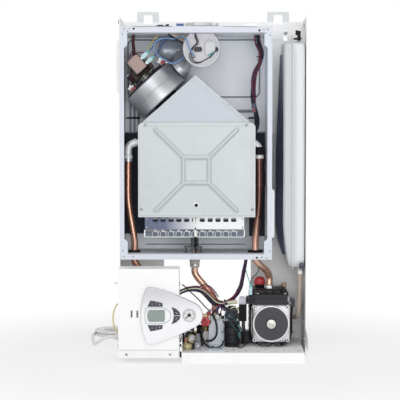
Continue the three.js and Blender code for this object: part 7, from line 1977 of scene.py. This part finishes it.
def make_chamber_loom():
    """The bundle that falls from the chamber's roof past the fan, with two ties and its plugs."""
    loom = Piece("ignition_loom")
    route = between((80.9, 138, 483), (104, 142, 693.2), CHAMBER_LOOM_SHARES)
    colours = ("navy", "maroon", "black", "navy", "black", "navy", "maroon", "navy", "black", "navy",
               "maroon")
    loom.wires(route, colours, 6.4, thick=1.7, twist=1.1, seed=5, spacing=4)
    for place, lean in (((101.6, 138.4, 645), 0.2), ((88, 139.6, 560), 0.1)):
        turn = Matrix.Rotation(lean, 3, "Y")
        tie = circle(Vector(place), 7, turn @ Vector(ALONG_X), turn @ Vector(ALONG_Y))
        loom.tube(shut(tie), 0.9, SOFT_BLACK, sides=8, smooth=False)
    loom.block((83.4, 134, 536), (93.4, 146, 545), WIRE["navy"])
    loom.block((85, 135, 526), (92, 145, 536.4), WIRE["maroon"])
    loom.block((96.5, 134.5, 637), (106, 144, 641), WIRE["maroon"])
    loom.done(replaces=("chamber_loom",), bevel=0)


def make_lower_loom():
    """The bundle from the control box to the valve and its branch up to the chamber, with two ties."""
    loom = Piece("valve_loom")
    branch = between((-86, 77, 100), (20, 95, 146), BRANCH_SHARES)
    colours = ("navy", "black", "navy", "navy", "brown", "purple", "navy", "black", "maroon", "blue", "black",
               "navy", "maroon", "black")
    loom.wires(branch, colours, 7.6, thick=1.7, twist=0.35, seed=11, spacing=4)
    drop = between((20, 95, 112), (73, 150, 220.5), DROP_SHARES)
    colours = ("navy", "maroon", "purple", "navy", "black", "purple", "maroon", "navy", "black")
    loom.wires(drop, colours, 4.9, thick=1.4, twist=0.7, seed=3, spacing=4)
    beside = [(x - 2, y + 3, z - 3) for x, y, z in drop[4:]]
    loom.wires(beside, ("black", "navy"), 3.0, thick=1.6, twist=0.3, seed=8, spacing=4)
    for place, out in (((16, 93.4, 115), (-0.5, 0.1, -0.8)), ((27, 98, 115), (0.8, 0.2, 0.25))):
        axis = Vector(out).normalized()
        side = axis.orthogonal().normalized()
        tie = circle(Vector(place), 6.4, side, axis.cross(side))
        loom.tube(shut(tie), 1.1, SOFT_BLACK, sides=8, smooth=False)
    ribbon = [(-24, 84, 137), (-14, 86, 133), (-3, 88, 126), (6, 90, 119), (14, 92, 113)]
    loom.tube(ribbon, 2.4, WIRE["brown"], sides=10)
    loom.tube([(x + 2, y - 7.6, z + 1.5) for x, y, z in branch], 1.1, CREAM, sides=10)
    loom.done(replaces=("lower_loom",), bevel=0)


MEETING_PLACE = (18, 92, 112)

# Where each short wire ends at the valve, from the place where all of them meet
SHORT_WIRES = (
    ((-8, 88, 96), "red", 1.2), ((-13, 90, 92), "purple", 1.1), ((2, 100, 92), "maroon", 1.2),
    ((9, 88, 95), "blue", 1.0), ((16, 98, 90), "red", 1.2), ((24, 84, 98), "black", 1.2),
    ((31, 76, 96), "purple", 1.0), ((38, 74, 90), "black", 1.2), ((-2, 84, 88), "black", 1.3))

# The thin wires over the valve, those down to the tray and those to the diverter's plugs
SINGLE_WIRES = (
    ("black", 1.3, [(-66, 72, 157), (-58, 70, 151), (-49, 70, 142), (-34, 73, 128), (-20, 77, 112),
                    (-8, 82, 99)]),
    ("maroon", 1.1, [(-60, 75, 150), (-48, 74, 152), (-34, 77, 153), (-20, 80, 149), (-8, 83, 141),
                     (4, 86, 130), (15, 90, 118)]),
    ("red", 1.0, [(-24, 78, 148), (-18, 74, 153), (-11, 74, 151), (-6, 78, 145), (2, 84, 135)]),
    ("navy", 1.3, [(-30, 80, 150), (-20, 76, 156), (-8, 78, 153), (3, 84, 142), (12, 90, 128)]),
    ("black", 2.4, [(-2, 88, 92), (3, 84, 84), (7.6, 80, 70), (8.6, 78, 56), (6, 78, 44), (-1, 82, 36),
                    (-12, 88, 32)]),
    ("black", 1.9, [(-26, 92, 62), (-22, 84, 40), (-16, 70, 29), (-8, 60, 24.6), (2, 55, 23.4),
                    (11, 56, 23.8), (18, 64, 27), (23, 76, 33)]),
    ("black", 1.4, [(46, 74, 36), (51, 66, 27), (57, 60, 23.4), (63, 62, 24.6), (69, 72, 32), (71, 84, 44)]),
    ("black", 1.5, [(-46, 94, 44), (-42, 86, 35), (-36, 80, 30), (-28, 78, 28), (-20, 80, 29),
                    (-12, 86, 36)]),
    ("black", 1.7, [(-16, 84, 68), (-20, 82, 56), (-26, 84, 47), (-32, 92, 42)]),
    ("black", 1.3, [(20, 88, 112), (27, 76, 108), (36, 73, 104), (46, 73, 96), (52, 74, 86)]),
    ("navy", 1.2, [(22, 86, 108), (28, 74, 99), (34, 72, 92), (42, 72, 90), (50, 74, 95), (54, 78, 104)]),
    ("black", 1.2, [(26, 74, 84), (30, 71, 92), (37, 71, 99), (45, 72, 101), (51, 74, 99)]),
    ("black", 1.2, [(24, 76, 90), (30, 73, 86), (36, 71, 83), (44, 71, 84), (49, 73, 80)]))


def make_valve_leads():
    """Single wires at the valve: short ones out of the bundle, long ones round it, and three plugs."""
    ends = Piece("valve_leads")
    meet = Vector(MEETING_PLACE)
    for k, (end, colour, thick) in enumerate(SHORT_WIRES):
        end = Vector(end)
        bulge = Vector((3 * math.sin(2.1 * k), -6 - 2 * (k % 3), 3 * math.cos(1.7 * k)))
        route = [meet + Vector((0, 0, 1 - 0.4 * k)), (meet + end) / 2 + bulge, end + Vector((0, -2, 3)), end]
        ends.tube(route, thick, WIRE[colour], sides=8)
    ends.block((-12, 86, 88), (-4, 92, 95.4), DARK_RED)
    ends.block((12, 92, 86), (19, 100, 92), BLACK)
    for colour, thick, route in SINGLE_WIRES:
        ends.tube(route, thick, WIRE[colour], sides=10)
    ends.block((-2, 63.4, 22.2), (2.6, 58.6, 26), BLACK)
    ends.done(bevel=0.2)


make_chamber_loom()
make_lower_loom()
make_valve_leads()

# Small trim: marks on the flange, fittings on top, beads and pins inside the chamber, dark sheets of painted
# shade beside the burner, and the drain

FLANGE_SCREWS = ((-188.8, 701.4), (-176.7, 702), (107.8, 700.5), (116.3, 700.5), (-189.8, 217.6),
                 (-170.4, 218), (103.6, 216.1), (114.3, 214.6))
FLANGE_HOLES = ((-168.2, 701.4), (98.3, 697.8), (93.6, 214.6))
BEAD_CORNERS = ((-190, 103.8), (561.6, 688.6))


def make_flange_marks():
    """Screws, holes, strokes and dimples on the front flange of the chamber."""
    marks = Piece("flange_marks")
    for x, z in FLANGE_SCREWS:
        marks.screw((x, FLANGE_FACE, z), TO_FRONT, 2.3)
    for x, z in FLANGE_HOLES:
        hole = rounded(x - 2.2, x + 2.2, z - 2.2, z + 2.2, 1.6, 4)
        marks.slab(hole, FLANGE_FACE - 0.15, FLANGE_FACE + 0.2, DARK)
    for stroke, material in (([(-169, 705.4), (-86, 705.6), (-86, 706.4), (-169, 706.2)], DARK),
                             ([(20, 705.8), (93, 704.6), (93, 705.4), (20, 706.4)], NAVY_SHADE)):
        marks.slab(stroke, FLANGE_FACE - 0.2, FLANGE_FACE + 0.1, material)
    for x, z in ((-181, 696), (-192, 690), (112, 692), (121, 688), (-193, 230), (121, 229)):
        marks.lathe([(1.6, 0), (1.4, 0.5), (0, 0.7)], (x, FLANGE_FACE, z), TO_FRONT, BEAD_GREY_WITH_PAINTED_SHADE, sides=20)
    marks.done(bevel=0)


def make_top_fittings():
    """Tabs, clips, screws and two wires on and under the chamber's roof, and a pin on each side panel."""
    top = Piece("top_fittings")
    roof = CHAMBER_TOP
    top.block((-78.4, 88, roof), (-62.7, 96, 714), BLUE_TAB)
    top.block((-76, 86, 708.4), (-65, 88, 712.6), BLUE_TAB)
    for left, right, height in ((-117.5, -106.8, 711.4), (-100.4, -94, 712.6)):
        top.block((left, 88, roof), (right, 96, height), SOFT_BLACK)
        top.block((left - 4, 90, 709), (left, 93, 710.6), SOFT_BLACK)
    top.slab([(-52, roof), (16, roof), (10, 711), (-46, 711)], 100, 104, BEAD_GREY_WITH_PAINTED_SHADE)
    top.block((66, 74, roof), (92, 92, 712.4), WHITE)
    for x in (-186, -172, 104, 114):
        top.screw((x, 82, 707), UP, 3)
    for x, z in ((-205.4, 728), (198.6, 719)):
        top.slab([(x - 1.4, z - 9), (x + 1.4, z - 9), (x + 0.6, z), (x - 0.6, z)], 148, 151, SHADED_METAL)
    front = [(8, 104, 699.4), (30, 100, 698.6), (56, 100, 698.9), (78, 106, 699.4)]
    rear = [(8, 106, 700.6), (32, 103, 700), (58, 103, 700.2), (82, 108, 700.4)]
    top.tube(front, 1.1, WIRE["maroon"], sides=10)
    top.tube(rear, 1.1, WIRE["navy"], sides=10)
    top.done(bevel=0.3)


def make_back_beads():
    """Pressed beads, pins and slotted strips on the chamber's back, seen past the cover."""
    beads = Piece("back_beads")
    (left, right), (low, high) = BEAD_CORNERS
    # The bead lines are drawn darker than the wall, as painted shade along the beads; the navy line at Z 249
    # is a painted shadow line.
    frame_line = [(x, CHAMBER_BACK - 1.1, z) for x, z in rounded(left, right, low, high, 13, 8)]
    beads.tube(shut(frame_line), 1.8, BEAD_GREY_WITH_PAINTED_SHADE, sides=12, smooth=False)
    cross = [(x, CHAMBER_BACK - 2.4, 530.3) for x in (53, 88)]
    beads.tube(cross, 3.1, BEAD_GREY_WITH_PAINTED_SHADE, sides=16, smooth=False)
    for x0, x1 in ((-192.6, -163.5), (79, 103)):
        beads.rod((x0, 205, 514.7), (x1, 205, 514.7), 1.9, SOFT_BLACK, sides=16)
        beads.rod((x1 - 2, 205, 514.7), (x1 - 2, CHAMBER_BACK - 0.2, 514.7), 2.4, SOFT_BLACK, sides=16)
    for x in (-187, -178, -169):
        strip = [(x, 483), (x + 4.4, 483), (x + 4.4, 548), (x, 548)]
        beads.slab(strip, CHAMBER_BACK - 1.4, CHAMBER_BACK + 0.3, BEAD_GREY_WITH_PAINTED_SHADE)
    for z, material in ((249, NAVY_SHADE), (231.5, BEAD_GREY_WITH_PAINTED_SHADE)):
        line = [(x, CHAMBER_BACK - 0.6, z) for x in (-150, 72)]
        beads.tube(line, 1.3, material, sides=12, smooth=False)
    beads.done(bevel=0)


def make_side_linings():
    """Dark sheets of painted shade on the chamber's back and sides beside the burner, and a dark strip of
    painted shadow at the right.
    """
    lining = Piece("side_painted_shade")
    rear, top = CHAMBER_BACK - 0.4, 481
    # The dark sheets and the strip below are painted shade.
    for left, right, low, inner in ((-196.5, -152, 256, -196.2), (81, 129, 250, 127.8)):
        board = [(left, low), (right, low), (right, top), (left, top)]
        lining.slab(board, CHAMBER_BACK - 3, rear, NAVY_SHADE)
        side = [(96, low), (CHAMBER_BACK - 3.2, low), (CHAMBER_BACK - 3.2, top), (96, top)]
        lining.slab_x(side, inner, inner + 1.2, NAVY_SHADE)
        lining.block((left, CHAMBER_BACK - 5, top), (right, rear, top + 3), BEAD_GREY_WITH_PAINTED_SHADE)
    lining.slab([(121.6, 487), (124.6, 487), (124.6, 661), (121.6, 661)], 75, 84, NAVY_SHADE)
    lining.done(bevel=0.2)


def make_vessel_pad():
    """A dark strip of painted shadow between the vessel and the chamber, drawn in where the vessel's left pan
    is.
    """
    pad = Piece("vessel_gap_shadow")
    rings = []
    low, high = 214, 652
    for z in evenly(low, high, 41):
        edge = 170.4 - 20 * drawn_in(z)
        wide = 11 * min(1, (high - z) / 260 + 0.25) * min(1, (z - VESSEL_LOW) / 60)
        rings.append([(edge - wide, 168, z), (edge + 2, 150, z), (edge + 2, 186, z), (edge - wide, 182, z)])
    pad.rings(rings, GAP_PAINTED_SHADOW)
    pad.done(bevel=0.6)


def make_drain():
    """The drain union by the control box's pivot: a brass nut, its copper stub and an angled brass ring."""
    drain = Piece("drain_union")
    nut = [(8, 0), (8, 2.6), (10, 3), (10.4, 4), (10.4, 10.6), (9.6, 12), (7.6, 12.6), (7.2, 13.6), (0, 13.6)]
    drain.lathe(nut, (-54.4, 40, TRAY_TOP), UP, DULL_BRASS, sides=40)
    drain.rod((-57.4, 42, 34), (-57.4, 42, 47.6), 3.6, COPPER, sides=28)
    collar = [(3.7, 34.6), (4.8, 34.8), (4.8, 36.6), (3.7, 37)]
    drain.loop(collar, (-57.4, 42, 0), UP, DULL_BRASS, sides=28)
    tilt, place = (0.25, -1, 0.35), (-44.6, 51, 43)
    ring = [(6.2, 0), (8.8, 0), (9.2, 1.4), (8.8, 2.8), (7.4, 3.2), (6.2, 2.6)]
    drain.loop(ring, place, tilt, DULL_BRASS, sides=48)
    drain.lathe([(6.3, 0), (6.3, 1.8), (4.4, 2.2), (0, 2.2)], place, tilt, LILAC, sides=40)
    drain.block((-50, 47, TRAY_TOP), (-39, 56, 40), BLACK)
    drain.block((-38, 34, TRAY_TOP), (-26, 56, 38), SHADED_METAL)
    stub = [(6, 0), (6, 9), (4.6, 10.4), (4.6, 16), (3.2, 17), (0, 17)]
    drain.lathe(stub, (-32, 45, 38), UP, SHADED_METAL, sides=8)
    drain.screw((-32, 34, 30), TO_FRONT, 3)
    left = [(-66, 52, 58), (-62, 48, 50), (-64, 44, 40), (-66, 42, 30), (-64, 40, 24.6)]
    over = [(-57.4, 42, 47), (-56, 46, 54), (-50, 52, 57), (-40, 53, 54), (-30, 50, 50)]
    drain.tube(left, 2, SOFT_BLACK, sides=12)
    drain.tube(over, 2.2, SOFT_BLACK, sides=12)
    drain.done(bevel=0.4)


def make_wall_marks():
    """Screws and slots on the right side panel above the tray, and the fold line on the control box."""
    marks = Piece("panel_marks")
    for y, z in ((150, 92), (150, 68), (120, 34), (60, 30)):
        marks.screw((198.4, y, z), (-1, 0, 0), 2.4)
    for x, z in ((170.5, 92.3), (186, 68), (165.2, 36), (179.5, 33.4)):
        marks.slab(rounded(x - 1.3, x + 1.3, z - 2.2, z + 2.2, 1.2, 4), 220.8, 222.2, SHADED_METAL)
    marks.done(bevel=0)

    fold = Piece("box_fold")
    fold.slab([(-196.6, 26.2), (-73.6, 26.2), (-73.6, 27.2), (-196.6, 27.2)], -0.35, 0.2, PALE_RING)
    fold.done(body="control_box", bevel=0)


def outer_points(places):
    """The convex outline of some flat places, in order."""
    places = sorted({(round(x, 2), round(z, 2)) for x, z in places})

    def turns_left(first, second, third):
        """Whether the way from the second place to the third bends left."""
        return ((second[0] - first[0]) * (third[1] - first[1])
                - (second[1] - first[1]) * (third[0] - first[0])) > 0

    def half(run):
        """One side of the outline, from the run's first place up to its last."""
        chain = []
        for place in run:
            while len(chain) > 1 and not turns_left(chain[-2], chain[-1], place):
                chain.pop()
            chain.append(place)
        return chain[:-1]

    return half(places) + half(places[::-1])


def make_fascia_line():
    """A thin grey line of painted shadow round the fascia, along its own outline."""
    points = [(vertex.co - ORIGIN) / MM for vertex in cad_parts["fascia"].data.vertices]
    middle = sum(p.x for p in points) / len(points)
    hull = outer_points([(p.x, p.z) for p in points])
    route = [(x + 0.2 * math.copysign(1, x - middle), -1, z) for x, z in hull]
    line = Piece("fascia_shadow_line")
    line.tube(shut(route), 0.6, PALE_RING, sides=10, smooth=False)
    line.done(body="control_box", bevel=0)


make_flange_marks()
make_top_fittings()
make_back_beads()
make_side_linings()
make_vessel_pad()
make_drain()
make_wall_marks()
make_fascia_line()

# Marks on the outside: the rear flanges, the chamber's rear and roof, the side panels and the tray

SIDE_FACES = ((-SIDE_X, -1), (SIDE_X, 1))
REAR_FLANGES = ((-200, -110), (85, 200))
FLAT_HEAD = [(3, 0), (2.8, 0.3), (1.5, 0.36), (1.2, 0.05), (0, 0.05)]


def make_rear_marks():
    """Rivets, fixing slots and spot welds on the rear flanges, and screws down the chamber's rear."""
    marks = Piece("rear_marks")
    rivet = [(4.2, 0), (3.9, 0.7), (2.4, 1.2), (0, 1.4)]
    slot_rim = [(9.2, 0), (9.8, 0.35), (10.6, 0.35), (11.2, 0)]
    weld = [(1.7, 0), (2.1, 0.3), (2.7, 0.3), (3.1, 0)]
    for left, right in REAR_FLANGES:
        for x in evenly(left + 14, right - 12, 3):
            for z in (699, 716):
                marks.lathe(rivet, (x, REAR_FACE, z), ALONG_Y, SHADED_METAL, sides=28)
        for z in evenly(40, 640, 5):
            middle = (left + right) / 2
            slot = rounded(middle - 3, middle + 3, z - 9, z + 9, 2.9, 6)
            marks.slab(slot, REAR_FACE - 0.2, REAR_FACE + 0.15, DARK)
            marks.loop(slot_rim, (middle, REAR_FACE, z), ALONG_Y, WHITE, sides=48)
        inner = right - 7 if left < 0 else left + 7
        for k in range(19):
            marks.loop(weld, (inner, REAR_FACE, 236 + 25 * k), ALONG_Y, WHITE, sides=24)
    for x in (-96, 71):
        for z in evenly(226, 690, 6):
            marks.screw((x, CHAMBER_REAR, z), ALONG_Y, 3)
    for x in evenly(-80, 55, 3):
        marks.screw((x, CHAMBER_REAR, 220), ALONG_Y, 2.6)
    marks.done(bevel=0)


def make_rear_beads():
    """The pressed frame and cross that stiffen the chamber's back, as low rounded ridges on its rear face."""
    beads = Piece("rear_beads")
    left, right, low, high = -78, 53, 262, 664
    y = CHAMBER_REAR + 0.1
    bars = [[(left + 22, low + 26), (-22, 440)], [(right - 22, low + 26), (-3, 440)],
            [(left + 22, high - 26), (-22, 486)], [(right - 22, high - 26), (-3, 486)]]
    for line in (shut(rounded(left, right, low, high, 22, 10)), *bars):
        beads.tube([(x, y, z) for x, z in line], 1.7, CHAMBER_SHEET_PAINTED_LIGHT, sides=14, smooth=False)
    ring = circle(Vector((-12.5, y, 463)), 24, Vector(ALONG_X), Vector(UP), 48)
    beads.tube(shut(ring), 1.7, CHAMBER_SHEET_PAINTED_LIGHT, sides=14, smooth=False)
    beads.done(bevel=0)


def make_side_marks():
    """Hook slots and screws down the front edge of each side panel, and dimples along its rear fold."""
    marks = Piece("side_marks")
    dimple = [(1.6, 0), (2, 0.28), (2.6, 0.28), (3, 0)]
    for face, way in SIDE_FACES:
        out = (way, 0, 0)
        slot_skin = sorted((face - 0.2 * way, face + 0.12 * way))
        for z in (58, 196, 334, 472, 610):
            marks.slab_x(rounded(91, 94.6, z - 10, z + 10, 1.7, 5), *slot_skin, DARK)
            marks.lathe(FLAT_HEAD, (face, 100, z + 30), out, SHADED_METAL, sides=28)
        for k in range(22):
            marks.loop(dimple, (face, 214, 32 + 31 * k), out, WHITE, sides=24)
        for z in (24, 700):
            marks.lathe(FLAT_HEAD, (face, 206, z), out, SHADED_METAL, sides=28)
            marks.loop([(6, 0), (6.4, 0.3), (7.4, 0.3), (7.8, 0)], (face, 206, z), out, WHITE, sides=40)
    marks.done(bevel=0)


def make_roof_marks():
    """Screws, a sampling plug's plate and a pressed edge on the chamber's roof, round the flue collar."""
    roof = Piece("roof_marks")
    top = CHAMBER_TOP
    for x in evenly(-184, 116, 7):
        roof.screw((x, 214, top), UP, 2.6)
    for y in evenly(108, 196, 3):
        roof.screw((-190, y, top), UP, 2.6)
        roof.screw((121, y, top), UP, 2.6)
    edge = rounded(-178, 108, 110, 206, 12, 8)
    roof.tube([(x, y, top + 0.1) for x, y in shut(edge)], 1.3, CHAMBER_SHEET_PAINTED_LIGHT, sides=12, smooth=False)
    roof.block((-166, 146, top), (-118, 186, top + 1.2), ALUMINISED)
    for x in (-160.5, -123.5):
        for y in (151.5, 180.5):
            roof.screw((x, y, top + 1.2), UP, 2.4)
    plug = [(11, 0), (11, 2.2), (9.6, 3), (5, 3), (4.4, 2.4), (0, 2.4)]
    roof.lathe(plug, (-142, 166, top + 1.2), UP, SOFT_BLACK, sides=48)
    roof.done(bevel=0.2)


def make_tray_marks():
    """Holes, screws and pressed rings in the tray's floor, and the hemmed edge along its front."""
    marks = Piece("tray_marks")
    for x, y in ((44, 34), (70, 26), (112, 40), (150, 30), (176, 64), (172, 120), (60, 190), (120, 206),
                 (10, 200)):
        marks.loop([(4.6, 0), (5, 0.4), (6, 0.4), (6.4, 0)], (x, y, TRAY_TOP), UP, WHITE, sides=40)
        marks.lathe([(3.2, 0), (3, 0.15), (0, 0.15)], (x, y, TRAY_TOP), UP, DARK, sides=32)
    for x, y in ((30, 12), (96, 14), (182, 20), (182, 200)):
        marks.screw((x, y, TRAY_TOP), UP, 2.8)
    marks.done(bevel=0)


make_rear_marks()
make_rear_beads()
make_side_marks()
make_roof_marks()
make_tray_marks()
